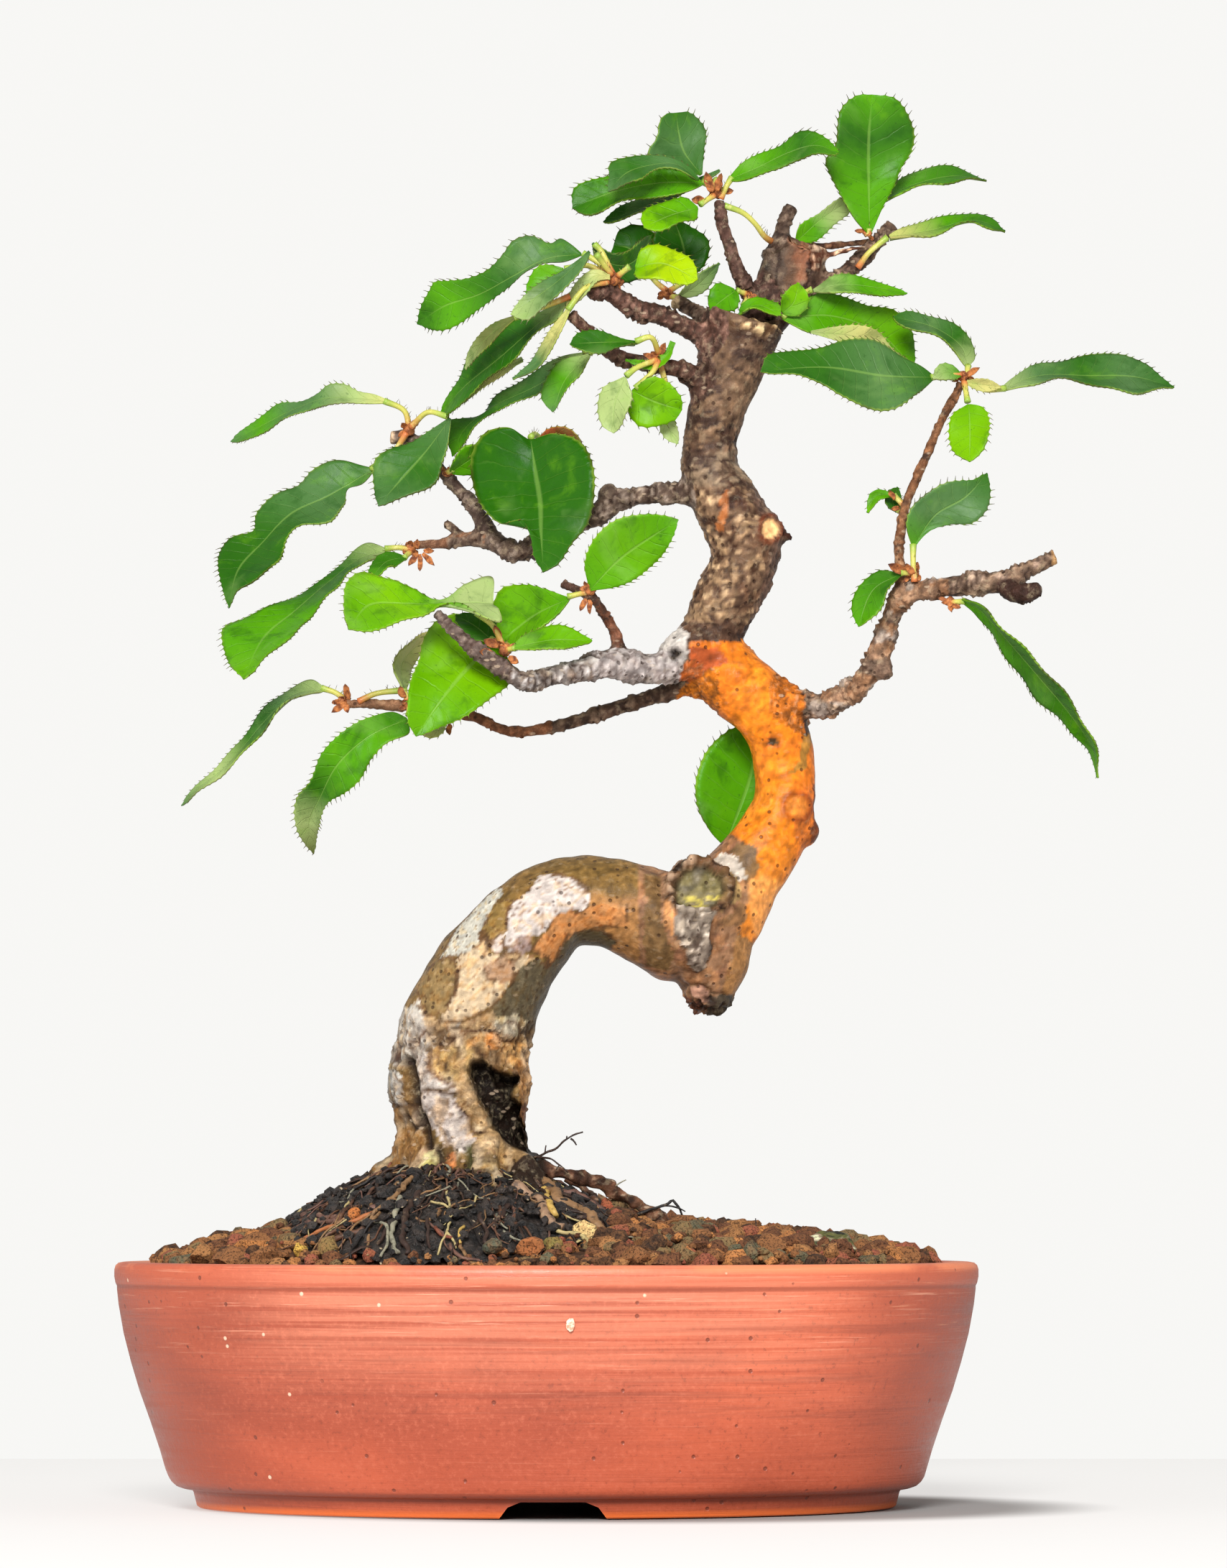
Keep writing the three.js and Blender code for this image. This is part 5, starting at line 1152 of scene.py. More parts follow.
for outline, tone in BEND_PATCHES:
    lay(patch(outline) & (is_orange | is_low | is_high) & (depths < 6), *tone, 0.9)
lay(elbow_front * ramp(front_z, 95.5, 98.5) * ramp(front_z + knots * 3, 110, 107.4) * (1 - turned * 0.6)
    * ramp(front_x - np.interp(front_z, [97, 103, 110], [36.4, 35, 34.6]), 0, 0.8), 226, 158, 92, 0.85)
lay(knob_end * (grain < 0), 44, 30, 26, 0.8)

upper = is_high & ~is_orange
lay(upper, 114, 90, 70)
lay(upper & (lumps < 0), 98, 76, 62, 0.7)
# Painted light: the left side of the upper trunk, the side towards the lamp, is laid paler.
lit_left_edge = np.interp(front_z, [150, 168, 186, 206], [30, 33, 28, 34])
lay(upper * ramp(front_x - lit_left_edge, 1, -4), 140, 114, 92, 0.4)
in_swelling = ramp(front_z, 149, 153) * ramp(front_z, 179, 175)
lay(upper * ramp(wrinkles, 0.08, 0.3) * (1 - in_swelling * 0.7), 138, 112, 90, 0.6)
lay(upper * ramp(wrinkles, -0.14, -0.36) * (1 - in_swelling * 0.6), 58, 44, 40, 0.75)
lay(upper & (front_z > 177.6) & (front_z < 183.8) & (wrinkles > -0.1), 152, 134, 112, 0.6)
lay(upper * in_swelling, 126, 100, 78, 0.6)
shaded_right_edge = np.interp(front_z, [150, 158, 168, 176], [34.6, 38, 40, 36])
for mask, tone, amount in [
    (ramp(drift_x + knots * 0.5 + (33 - front_x) * 0.03, 0.02, 0.2), (176, 146, 112), 0.7),
    (ramp(drift_z + knots * 0.4, -0.12, -0.3), (98, 70, 54), 0.65),
    (ramp(grain + knots * 0.6, -0.3, -0.42), (62, 38, 28), 0.75),
    (ramp(grain - knots * 0.4, 0.34, 0.46), (206, 178, 142), 0.6),
    # Painted shade along the right edge of the swelling.
    (ramp(front_x - shaded_right_edge, -1.4, 0.2) * (depths < 3), (108, 86, 76), 0.75),
]:
    lay(upper * in_swelling * mask, *tone, amount)
lay((kinds == "knob") & (front_x > 40.9) & (front_x < 44) & (front_z > 160), 58, 34, 28, 0.95)
lay(upper & (front_z < 153.8) & (front_z > 149), 74, 54, 44, 0.7)
lay(cracked_top * (front_z < 190), 52, 36, 30, 0.6)
lay(cracked_top * (front_z >= 190), 66, 50, 44, 0.25)
lay(patch([(31.1, 177.6), (32, 175.5), (30.7, 169.2), (29.4, 169.8)]) & (depths < 0), 168, 104, 60, 0.9)
lay(patch([(29, 179), (31.4, 179.4), (34.4, 176), (35.6, 173.4), (34.6, 172.6), (32.6, 175), (31.8, 177)])
    & (depths < 0) & (knots > -0.2), 66, 44, 36, 0.75)
lay(patch([(18.4, 149.8), (22.6, 153.5), (25.2, 151.9), (25, 148.8), (22.9, 143.5), (20.5, 141.4),
           (16.3, 142.4), (16.3, 148.8)]), 198, 190, 182)

# The ground colour and the pale scales of each limb.
for kind, red, green, blue, pale in [
    ("grey", 158, 148, 142, (198, 192, 188)), ("grey twig", 104, 66, 48, (140, 98, 78)),
    ("grey side twig", 96, 70, 60, (130, 106, 92)), ("thin", 104, 82, 68, (140, 118, 100)),
    ("left", 110, 92, 80, (172, 156, 142)), ("left rising", 96, 80, 72, (140, 124, 112)),
    ("left outer", 112, 92, 80, (150, 130, 112)), ("left stub", 104, 84, 72, (150, 130, 112)),
    ("top left", 104, 74, 64, (152, 118, 104)), ("top back", 120, 96, 82, (150, 130, 116)),
    ("upper left", 96, 68, 58, (136, 106, 92)), ("crown shoot", 98, 72, 64, (136, 108, 96)),
    ("leader stub", 96, 78, 68, (130, 112, 98)), ("leader branch", 120, 94, 80, (160, 136, 116)),
    ("leader splinter", 74, 44, 34, (150, 112, 86)), ("front splinter", 222, 182, 152, (240, 214, 186)),
    ("right", 146, 120, 100, (180, 156, 138)),
    ("right shoot", 128, 88, 62, (150, 108, 78)),
]:
    on_limb = kinds == kind
    lay(on_limb, red, green, blue)
    lay(on_limb * ramp(grain + knots * 0.6, 0.05, 0.4), *pale, 0.8)
    lay(on_limb * ramp(wrinkles, -0.12, -0.34), 62, 48, 42, 0.8)
    lay(on_limb * knuckle_bump, *pale, 0.5)
lay(knuckle_line, 54, 38, 30, 0.7)
lay((kinds == "grey") & (front_x > 8) & (drift_x > -0.15), 196, 186, 182, 0.8)
lay((kinds == "grey") & (front_x > -6) & (front_x < 8) & (drift_x > 0.1), 140, 122, 108, 0.7)
lay((kinds == "grey") & (front_x < -6), 92, 72, 64, 0.6)
lay((kinds == "thin") & (front_x < 1), 144, 92, 62, 0.7)
lay((kinds == "thin") & (front_x < -24), 150, 116, 92, 0.7)
lay((kinds == "left outer") & (drift_x > -0.1), 138, 92, 66, 0.6)
lay((kinds == "right") & (front_x < 70) & (drift_x > 0.05), 196, 184, 174, 0.6)
lay((kinds == "right") & (front_x < 70) & (drift_z > 0.1), 168, 120, 84, 0.6)
lay((kinds == "knob") & (front_x > 77), 66, 46, 40)
lay((kinds == "knob") & (front_x > 52) & (front_x < 66), 128, 104, 88)
lay((kinds == "knob") & (front_x < 16) & (front_z > 120), 108, 92, 80)
leader_face = is_leader & (kinds == "knob")
lay(leader_face, 96, 80, 68)
lay(leader_face * ramp(front_x + knots * 2, 40.6, 42), 112, 84, 66, 0.8)
lay(leader_face * ramp(front_x + knots * 3 - (218 - front_z) * 0.4, 43, 45), 146, 98, 74, 0.9)
lay(leader_face * ramp(front_x + knots * 3, 43.6, 44.4) * ramp(knots + grain * 0.6, -0.06, -0.18),
    44, 26, 22, 0.9)
lay(leader_face * ramp(front_x, 46, 47) * ramp(grain, 0.14, 0.3), 196, 142, 108, 0.8)
lay(leader_face * np.exp(-((front_x - 40.6 - knots) / 0.4) ** 2) * (front_z > 213), 40, 28, 24, 0.8)
lay(leader_face * np.exp(-((front_x - 38.4) / 0.7) ** 2 - ((front_z - 216.4) / 0.9) ** 2), 26, 18, 14, 0.95)

# Where the branches run into the bend they take its bare colour, and so do the stubs on it.
lay((kinds == "grey") & (front_x > np.interp(front_z, [141, 145, 150], [22.6, 23.4, 25.2])), 180, 98, 48)
in_bend = ((kinds == "grey") | (kinds == "thin")) & (front_z < 149)
bend_line = np.interp(front_z, [140, 142.5, 144.2, 148.6], [22.4, 23.5, 27, 31])
lay(in_bend & (front_x > bend_line), 210, 124, 38, 0.95)
lay((kinds == "right") & (front_x < 44.8 + knots), 206, 118, 40, 0.95)
bend_scars = (kinds == "knob") & (front_x > 42.5) & (front_x < 48) & (front_z > 112) & (front_z < 126)
lay(bend_scars, 200, 112, 46, 0.9)
lay(bend_scars & (front_x > 46.4 + knots), 92, 50, 34, 0.8)

# The splinter, the cracks, the hollow, the wound with its drop, the scars and the saw cuts.
lay((kinds == "front splinter") * ramp(grain + knots, -0.1, -0.3), 92, 52, 38, 0.85)
lay(cracked_limbs, 54, 40, 36, 0.35)
# Painted shade: the hollow is laid near black.
lay(hollow, 17, 14, 12, 0.97)
lay(hollow * ramp(flecks, 0.3, 0.42), 74, 64, 56, 0.7)
lay(wound_ring, 84, 60, 42, 0.9)
lay(wound_ring * (grain > 0.05) * (front_x < 26), 176, 152, 130, 0.75)
lay(wound_ring * (grain < -0.08), 40, 28, 22, 0.85)
lay(wound_face, 122, 112, 78)
lay(wound_face * ramp(knots, -0.05, 0.25), 124, 116, 108, 0.6)
lay(wound_face * ramp(grain, 0.05, 0.2) * (front_z < 106.4), 196, 180, 92, 0.85)
lay(wound_face * ramp(wound_out, 0.78, 0.98), 30, 24, 20, 0.95)
lay(drop_shape, 132, 120, 108)
lay(drop_shape & (front_z < 98), 112, 98, 88, 0.8)
lay(drop_shape * ramp(grain, 0.06, 0.3), 170, 156, 140, 0.6)
lay(drop_shape * ramp(grain, -0.12, -0.3), 84, 68, 58, 0.7)
lay(drop_shape & (flecks > 0.36), 220, 206, 190, 0.55)
for (scar_face, scar_ring), face_colour, ring_colour in zip(
    scars,
    [(62, 50, 34), (212, 132, 60), (255, 204, 146), (36, 30, 28)],
    [(176, 96, 40), (128, 62, 30), (110, 48, 26), (150, 142, 136)],
):
    lay(scar_face, *face_colour, 0.95)
    lay(scar_ring, *ring_colour, 0.7)
saw_face = (np.abs(front_z - 205.9) < 1.0) & (kinds == "high trunk") & np.array(
    [vert.normal.z > 0.8 for vert in wood_mesh.verts])
lay(saw_face, 150, 120, 88)
lay(saw_lip, 172, 138, 98, 0.85)
lay(saw_lip * (grain < -0.05), 78, 54, 38, 0.8)
lay(saw_lip * ramp(grain, 0.0, 0.12), 232, 204, 160, 0.9)
# Painted shade in a narrow band under the saw-cut lip.
shade_under_saw_lip = np.exp(-((front_z - 203.7 - knots * 1.4) / 0.4) ** 2) * (kinds == "high trunk")
lay(shade_under_saw_lip, 56, 38, 30, 0.7)
lay((kinds == "right") & (front_x > 88.4), 206, 160, 110)
lay((kinds == "left rising") & (front_x < -27), 206, 178, 150)
lay((kinds == "top back") & (front_x < 23), 214, 186, 150)

bark = np.clip(bark * (1 + grain[:, None] * 0.26 + flecks[:, None] * 0.22), 0, 255) / 255
grey_of = bark.mean(axis=1, keepdims=True)
bark = np.clip(grey_of + (bark - grey_of) * 1.08, 0, 1) ** 1.06
bark_light = np.where(bark <= 0.04045, bark / 12.92, ((bark + 0.055) / 1.055) ** 2.4)
roughened = np.where(is_orange, 0.12, np.where(low_trunk & (front_z > 84), 0.28, 0.85))
roughened = np.where(upper, np.where(front_z > 187, 0.5, 0.36), roughened)
roughened = np.where((kinds == "grey") & (front_x > 2), 0.45, roughened)
roughened = np.where(scars[2][0] > 0.4, 0.1, roughened)
wood_mesh.to_mesh(wood.data)
wood_mesh.free()
bark_layer = wood.data.color_attributes.new("BarkColour", "FLOAT_COLOR", "POINT")
bark_colours = np.column_stack([bark_light, np.ones(count)]).astype(np.float32)
bark_layer.data.foreach_set("color", bark_colours.ravel())
rough_layer = wood.data.attributes.new("BarkRough", "FLOAT", "POINT")
rough_layer.data.foreach_set("value", roughened.astype(np.float32))
wood.data.shade_smooth()

bark_material, tree, surface = new_material("quince_bark", 0.62, 0.08)
rough_bark = from_layer(tree, "BarkRough", "Fac")
mottle = clouds(tree, stretched(tree), 620, 5, 0.65, 0.3)
threads = clouds(tree, stretched(tree), 2300, 4, 0.7)
pore = dots(tree, stretched(tree), 720, 0.3, 0.14, 0, (0.72, 0.76))
cork = dots(tree, stretched(tree, (1, 1, 1.9)), 480, 0.34, 0.2, 1, (0.8, 0.84))
dark_mottle = times(tree, between(tree, mottle, 0.62, 0.34), plus(tree, times(tree, rough_bark, 0.42), 0.1))
pale_mottle = times(tree, between(tree, mottle, 0.5, 0.75), plus(tree, times(tree, rough_bark, 0.24), 0.03))
shade = layered(tree, from_layer(tree, "BarkColour"), [
    (dark_mottle, (44, 30, 22)),
    (pale_mottle, (240, 216, 176)),
    (times(tree, pore, 0.7), (48, 30, 24)),
    (times(tree, times(tree, cork, rough_bark), 0.55), (196, 172, 146)),
])
tree.links.new(shade, surface.inputs["Base Color"])
tree.links.new(weighed(tree, (rough_bark, 0.2), (threads, 0.35)), surface.inputs["Roughness"])
bark_height = weighed(
    tree, (mottle, plus(tree, times(tree, rough_bark, 1.1), 0.25)),
    (threads, plus(tree, times(tree, rough_bark, 0.5), 0.06)), (pore, -0.5),
    (times(tree, cork, rough_bark), 0.5))
raise_surface(tree, surface, bark_height, 0.9, 0.0004)
wood.data.materials.append(bark_material)
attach(wood, "root")
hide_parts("wood")

# The ball of fine roots. Black peat crumb bound by hair roots, left standing proud of the poured
# granules where the tree was lifted, with longer roots lying over it on all sides.
BALL_RINGS = 60
HAIR_ROOTS = 520
HAIR_STRIDE = 1.9
CAUGHT_CRUMBS = 900

peat, tree, surface = new_material("black_peat", 0.5, 0.5)
crumbly = clouds(tree, stretched(tree), 520, 5, 0.7, 0.4)
glints = clouds(tree, stretched(tree), 2100, 3, 0.7)
pale_bit = dots(tree, stretched(tree), 900, 0.3, 0.2, 0, (0.93, 0.94))
peat_ground = mix_colour(tree, between(tree, crumbly, 0.4, 0.66), earth(14, 11, 10), earth(58, 48, 42))
peat_tone = layered(tree, peat_ground, [
    (between(tree, glints, 0.62, 0.74, 0, 0.6), (120, 104, 92)),
    (times(tree, pale_bit, 0.8), (206, 184, 150)),
])
tree.links.new(peat_tone, surface.inputs["Base Color"])
raise_surface(tree, surface, weighed(tree, (crumbly, 1), (glints, 0.5)), 1.0, 0.0008)

ball_mesh = bmesh.new()
bmesh.ops.create_circle(ball_mesh, cap_ends=False, segments=220, radius=1)
rim_edges = ball_mesh.edges[:]
for ring in range(BALL_RINGS):
    drawn = bmesh.ops.extrude_edge_only(ball_mesh, edges=rim_edges)
    rim_edges = [part for part in drawn["geom"]
                 if isinstance(part, bmesh.types.BMEdge) and len(part.link_faces) == 1]
    for vert in verts_of(drawn):
        vert.co *= (BALL_RINGS - ring - 0.99) / (BALL_RINGS - ring)
bmesh.ops.remove_doubles(ball_mesh, verts=ball_mesh.verts, dist=1e-4)
for vert in ball_mesh.verts:
    across = vert.co.x * (BALL_LEFT if vert.co.x < 0 else BALL_RIGHT)
    x = BALL_X + across * 0.98
    y = BALL_Y + vert.co.y * (BALL_FRONT - 1 if vert.co.y < 0 else BALL_BACK - 1)
    spot = Vector((x, y, 0))
    up = mound_height(x, y) + ball_height(x, y) - 0.6
    up += 1.3 * noise.noise(spot * 0.22) + 0.9 * noise.noise(spot * 0.6) + 0.7 * noise.noise(spot * 1.5)
    shift = Vector((noise.noise(spot * 0.7 + Vector((9, 0, 0))),
                    noise.noise(spot * 0.7 + Vector((0, 9, 0))), 0)) * 1.1
    vert.co = FOOT + (Vector((x, y, up)) + shift) * MM
bmesh.ops.recalc_face_normals(ball_mesh, faces=ball_mesh.faces)
if sum(face.normal.z for face in ball_mesh.faces) < 0:
    bmesh.ops.reverse_faces(ball_mesh, faces=ball_mesh.faces)
smooth_faces(ball_mesh)
root_ball = piece("peat_root_ball", ball_mesh, peat)
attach(root_ball, "root")


def surface_height(x, y):
    return mound_height(x, y) + ball_height(x, y)


def front_depth(x, z):
    """The depth at which a point seen at x, z lies on the front of the ball."""
    y = -44
    while y < 4 and surface_height(x, y) < z - 0.2:
        y += 0.5
    return y - 0.6


def run_of(points, count):
    """Places and ways at equal steps of length along the curve through points, and its length."""
    fine = [curve_point(points, number / 200) for number in range(201)]
    lengths = [0]
    for (first, _), (second, _) in zip(fine, fine[1:]):
        lengths.append(lengths[-1] + (second - first).length)
    run = []
    low = 0
    for number in range(count + 1):
        wanted = lengths[-1] * number / count
        while low < 199 and lengths[low + 1] < wanted:
            low += 1
        part = (wanted - lengths[low]) / max(lengths[low + 1] - lengths[low], 1e-9)
        place = fine[low][0].lerp(fine[low + 1][0], min(1, part))
        way = fine[low][1].lerp(fine[low + 1][1], min(1, part)).normalized()
        run.append((place, way))
    return run, lengths[-1]


def lay_root(whole, points, radius, tip_radius, tone, sides, step):
    """A root through points in mm, with a waver and small swellings of its own."""
    straight = sum((b - a).length for a, b in zip(points, points[1:]))
    count = max(3, round(straight / step))
    run, _ = run_of(points, count)
    seed = points[0] * 0.7
    stations = []
    for number, (place, way) in enumerate(run):
        part = number / count
        spot = seed + place * 0.5
        waver = Vector((noise.noise(spot), noise.noise(spot + Vector((5, 0, 0))),
                        noise.noise(spot + Vector((0, 5, 0))))) * min(radius * 1.1, 0.7)
        swell = 1 + 0.3 * noise.noise(place * 0.9 + seed)
        width = (radius + (tip_radius - radius) * part) * swell
        stations.append((FOOT + (place + waver) * MM, way, max(0.1, width) * MM))
    bm = toned_mesh("RootTone")
    tone_layer = bm.verts.layers.float_color["RootTone"]
    grow(bm, stations, sides)
    for vert in bm.verts:
        vert[tone_layer] = tone
    bmesh.ops.recalc_face_normals(bm, faces=bm.faces)
    smooth_faces(bm)
    append(whole, bm)


ROOT_TONES = {
    "black": earth(26, 20, 18), "dark": earth(52, 34, 26), "brown": earth(92, 60, 42),
    "plum": earth(104, 72, 60),
    "orange": earth(162, 96, 52), "tan": earth(134, 100, 66), "pale": earth(150, 118, 92),
    "straw": earth(186, 152, 78), "cream": earth(176, 158, 108), "grey": earth(136, 132, 112),
    "red": earth(116, 62, 42),
}
# Roots that show from the front, each seen across and up, with radius, end radius and tone.
SHOWN_ROOTS = [
    ([(-3.8, 59.5), (-1.6, 57.2), (-0.3, 54), (0.8, 51.6), (1.6, 50)], 0.95, 0.6, "straw"),
    ([(-5.4, 55.2), (-1.9, 53.4), (-0.3, 50.5), (0.7, 49), (3, 48)], 1.05, 0.8, "pale"),
    ([(0.7, 49), (2.6, 47.6), (5.7, 46.9), (8, 45)], 0.4, 0.3, "cream"),
    ([(-1, 56.2), (0.7, 54.7), (2.6, 52.9), (5.5, 51.5), (8.6, 49), (11, 46.4), (13, 44)], 1.05, 0.9,
     "tan"),
    ([(3, 57), (4.8, 56.2), (6.7, 54.7), (8.5, 52.6)], 0.75, 0.5, "brown"),
    ([(9, 53.4), (11.5, 52.8), (13.8, 52.4), (15.8, 51.2), (17, 49)], 0.65, 0.5, "tan"),
    ([(2.6, 54.6), (6, 53.6), (9.6, 51), (13, 49.4), (15, 47.5)], 0.6, 0.4, "plum"),
    ([(5, 50), (8, 49.6), (12, 47.6), (15, 45.6)], 0.5, 0.4, "dark"),
    ([(-23.4, 56.8), (-26, 54.4), (-28.9, 51.6), (-30.7, 49.3)], 0.5, 0.35, "tan"),
    ([(-48, 47.2), (-42.2, 50.1), (-35.5, 50.1), (-29.5, 51.6)], 0.55, 0.6, "plum"),
    ([(-46, 46.5), (-41.6, 48.9), (-36, 49.4), (-32, 50.6)], 0.45, 0.5, "plum"),
    ([(-42, 46.2), (-38, 48.2), (-34, 49.2), (-30, 50.8)], 0.34, 0.42, "orange"),
    ([(-40, 44.6), (-35, 46.8), (-31.5, 48.4)], 0.5, 0.5, "brown"),
    ([(-25.6, 53.4), (-25.8, 52.2), (-26.4, 49.8), (-26.8, 46.8), (-26.2, 43.8)], 0.48, 0.4, "grey"),
    ([(-29, 50.8), (-30.4, 49.2), (-31.1, 45.5), (-31.2, 43.4)], 0.35, 0.25, "tan"),
    ([(-30.4, 49.2), (-28, 48.6), (-27.6, 46.1), (-28.9, 43.1)], 0.3, 0.25, "grey"),
    ([(-22, 54), (-24.4, 51), (-25, 47), (-24.2, 43.6)], 0.6, 0.5, "dark"),
    ([(-17.6, 54.6), (-16.8, 51.6), (-16.8, 49.8), (-17.4, 47.4), (-18.5, 45.5), (-19, 43.4)], 0.24, 0.18,
     "cream"),
    ([(-17.4, 47.4), (-16.2, 46), (-15.7, 44.6)], 0.25, 0.2, "cream"),
    ([(-14.4, 48.6), (-15.2, 47.2), (-15, 45.6)], 0.28, 0.2, "straw"),
    ([(-20.2, 52.6), (-18.4, 52.4), (-16.8, 51.6)], 0.22, 0.25, "cream"),
    ([(-6.6, 52), (-8.2, 50), (-9.4, 48.6)], 0.45, 0.35, "dark"),
    ([(-19.4, 48.2), (-18, 47), (-16.6, 46.4)], 0.34, 0.25, "red"),
    ([(-12, 50.4), (-10.6, 48), (-10.8, 45.6)], 0.4, 0.3, "dark"),
    ([(-7.4, 47.8), (-5.4, 46.2), (-3.6, 45.4)], 0.22, 0.18, "grey"),
]
# Hair roots and twigs that stand free above the mound: across, up, deep, radius.
FREE_ROOTS = [
    ([(-3, 60.2, -4), (-0.5, 61, -6), (1.9, 62.2, -6.6), (3.4, 63.4, -7), (4.8, 64.5, -7),
      (6.3, 64.9, -7)], 0.26, "dark"),
    ([(4.1, 63.6, -7), (4.6, 63.2, -7.2), (5.1, 62.5, -7.3)], 0.18, "dark"),
    ([(-0.4, 61, -6), (-0.3, 61.7, -6.2), (-0.1, 62.5, -6.2)], 0.18, "dark"),
    ([(3.4, 63.4, -7), (3.5, 64.2, -7)], 0.16, "dark"),
    ([(-3, 60.4, -5), (-0.5, 60.3, -7), (1, 59.9, -7.6), (2.2, 59.1, -8), (3.7, 57.8, -8)], 0.22, "dark"),
    ([(2.2, 59.1, -8), (1.6, 58.2, -8)], 0.14, "dark"),
    ([(15.5, 50.5, -7), (18.2, 51.5, -7.5), (20.6, 52.1, -7.6), (21.9, 53, -7.6), (23.2, 51.4, -7.4),
      (24, 49.4, -7)], 0.32, "black"),
    ([(20.6, 52.1, -7.6), (22.6, 51.8, -7.9), (24, 51, -8)], 0.2, "black"),
    ([(11.2, 54.9, -7), (12.4, 55.8, -7), (13.7, 56.4, -7)], 0.16, "grey"),
    ([(36, 44, -16), (36.5, 47.6, -16), (36.3, 49.8, -16)], 0.14, "dark"),
    ([(-32.9, 55, -3), (-32.8, 56, -3.4), (-32.2, 56.8, -3.4)], 0.5, "red"),
    ([(-27.8, 57.6, -3), (-27.2, 59.4, -3.2)], 0.35, "red"),
]
root_mesh = toned_mesh("RootTone")
for line, radius, tip_radius, tone in SHOWN_ROOTS:
    points = [seen(x, z, front_depth(x, z)) for x, z in line]
    lay_root(root_mesh, points, radius, tip_radius, ROOT_TONES[tone], 8, 0.6)
for line, radius, tone in FREE_ROOTS:
    lay_root(root_mesh, [seen(x, z, y) for x, z, y in line], radius, radius * 0.6, ROOT_TONES[tone], 5, 0.6)
HAIR_TONES = {"black": 6, "dark": 8, "brown": 6, "plum": 3, "tan": 4, "cream": 2, "grey": 2}
hair_tones = [name for name, share in HAIR_TONES.items() for _ in range(share)]
spread = random.Random(77)
for _ in range(HAIR_ROOTS):
    turn = spread.uniform(0, math.tau)
    out = spread.uniform(0.12, 0.95)
    x = BALL_X + math.cos(turn) * out * (BALL_LEFT if math.cos(turn) < 0 else BALL_RIGHT)
    y = BALL_Y + math.sin(turn) * out * (BALL_FRONT - 1 if math.sin(turn) < 0 else BALL_BACK)
    heading = math.atan2(y + 1, x + 14) + spread.uniform(-0.7, 0.7)
    points = []
    for _ in range(spread.randint(4, 8)):
        lift = spread.uniform(-0.1, 0.9)
        points.append(Vector((x, y, surface_height(x, y) + lift)))
        x += math.cos(heading) * HAIR_STRIDE
        y += math.sin(heading) * HAIR_STRIDE
        heading += spread.uniform(-0.6, 0.6)
    if all(math.hypot(point.x / 67, point.y / 50.5) < 1 for point in points):
        radius = spread.choice([0.16, 0.2, 0.24, 0.3, 0.42])
        lay_root(root_mesh, points, radius, radius * 0.6, ROOT_TONES[spread.choice(hair_tones)], 3, 1.1)
root_skin, tree, surface = new_material("fine_root_skin", 0.6, 0.4)
scuff = clouds(tree, stretched(tree), 700, 4, 0.65)
root_tone = layered(tree, from_layer(tree, "RootTone"), [
    (between(tree, scuff, 0.5, 0.32, 0, 0.7), (30, 20, 16)),
    (between(tree, scuff, 0.56, 0.74, 0, 0.3), (214, 184, 144)),
])
tree.links.new(root_tone, surface.inputs["Base Color"])
raise_surface(tree, surface, scuff, 0.8, 0.0003)
fine_roots = piece("fine_roots", root_mesh, root_skin)
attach(fine_roots, "root")

# Dark crumbs of peat and small granules caught among the roots.
CRUMB_TONES = [
    (earth(24, 20, 18), 9), (earth(46, 38, 34), 6), (earth(70, 58, 50), 3), (earth(120, 80, 54), 2),
    (earth(186, 168, 140), 1),
]
caught = []
for _ in range(CAUGHT_CRUMBS):
    turn = chance.uniform(0, math.tau)
    out = math.sqrt(chance.uniform(0.02, 1.1))
    x = BALL_X + math.cos(turn) * out * (BALL_LEFT if math.cos(turn) < 0 else BALL_RIGHT)
    y = BALL_Y + math.sin(turn) * out * (BALL_FRONT - 2 if math.sin(turn) < 0 else BALL_BACK)
    caught.append((x, y, chance.uniform(0.35, 1.15), 1, ball_height(x, y) + chance.uniform(-0.5, 0.7)))
peat_crumbs = drop_all("peat_crumbs", caught, CRUMB_TONES, peat)
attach(peat_crumbs, "root")

# Odd grains by the roots: a cream pumice grain, a green-grey one, a yellow one, olive and orange.
odd_mesh = toned_mesh("GranuleTone")
for x, z, size, tone in [
    (6.6, 47.6, 2.3, (240, 206, 140)), (1.2, 45.6, 2.0, (146, 132, 72)), (19.2, 48.2, 1.7, (176, 182, 132)),
    (-41.6, 44.6, 1.4, (226, 182, 84)), (-2.4, 45.2, 2.2, (164, 100, 58)), (-8.8, 45.4, 1.8, (84, 90, 74)),
    (10.4, 51.6, 1.6, (166, 88, 62)), (15.6, 47.4, 2.3, (150, 86, 66)), (-36.6, 45.2, 2, (140, 116, 70)),
    (-32.4, 50.6, 1.2, (190, 112, 56)),
]:
    handful = toned_mesh("GranuleTone")
    y = front_depth(x, z) - size * 0.5
    drop_granule(handful, [earth(*tone)], x, y, size, 2, z - mound_height(x, y))
    append(odd_mesh, handful)
odd_grains = piece("odd_grains", odd_mesh, granule_clay)
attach(odd_grains, "root")

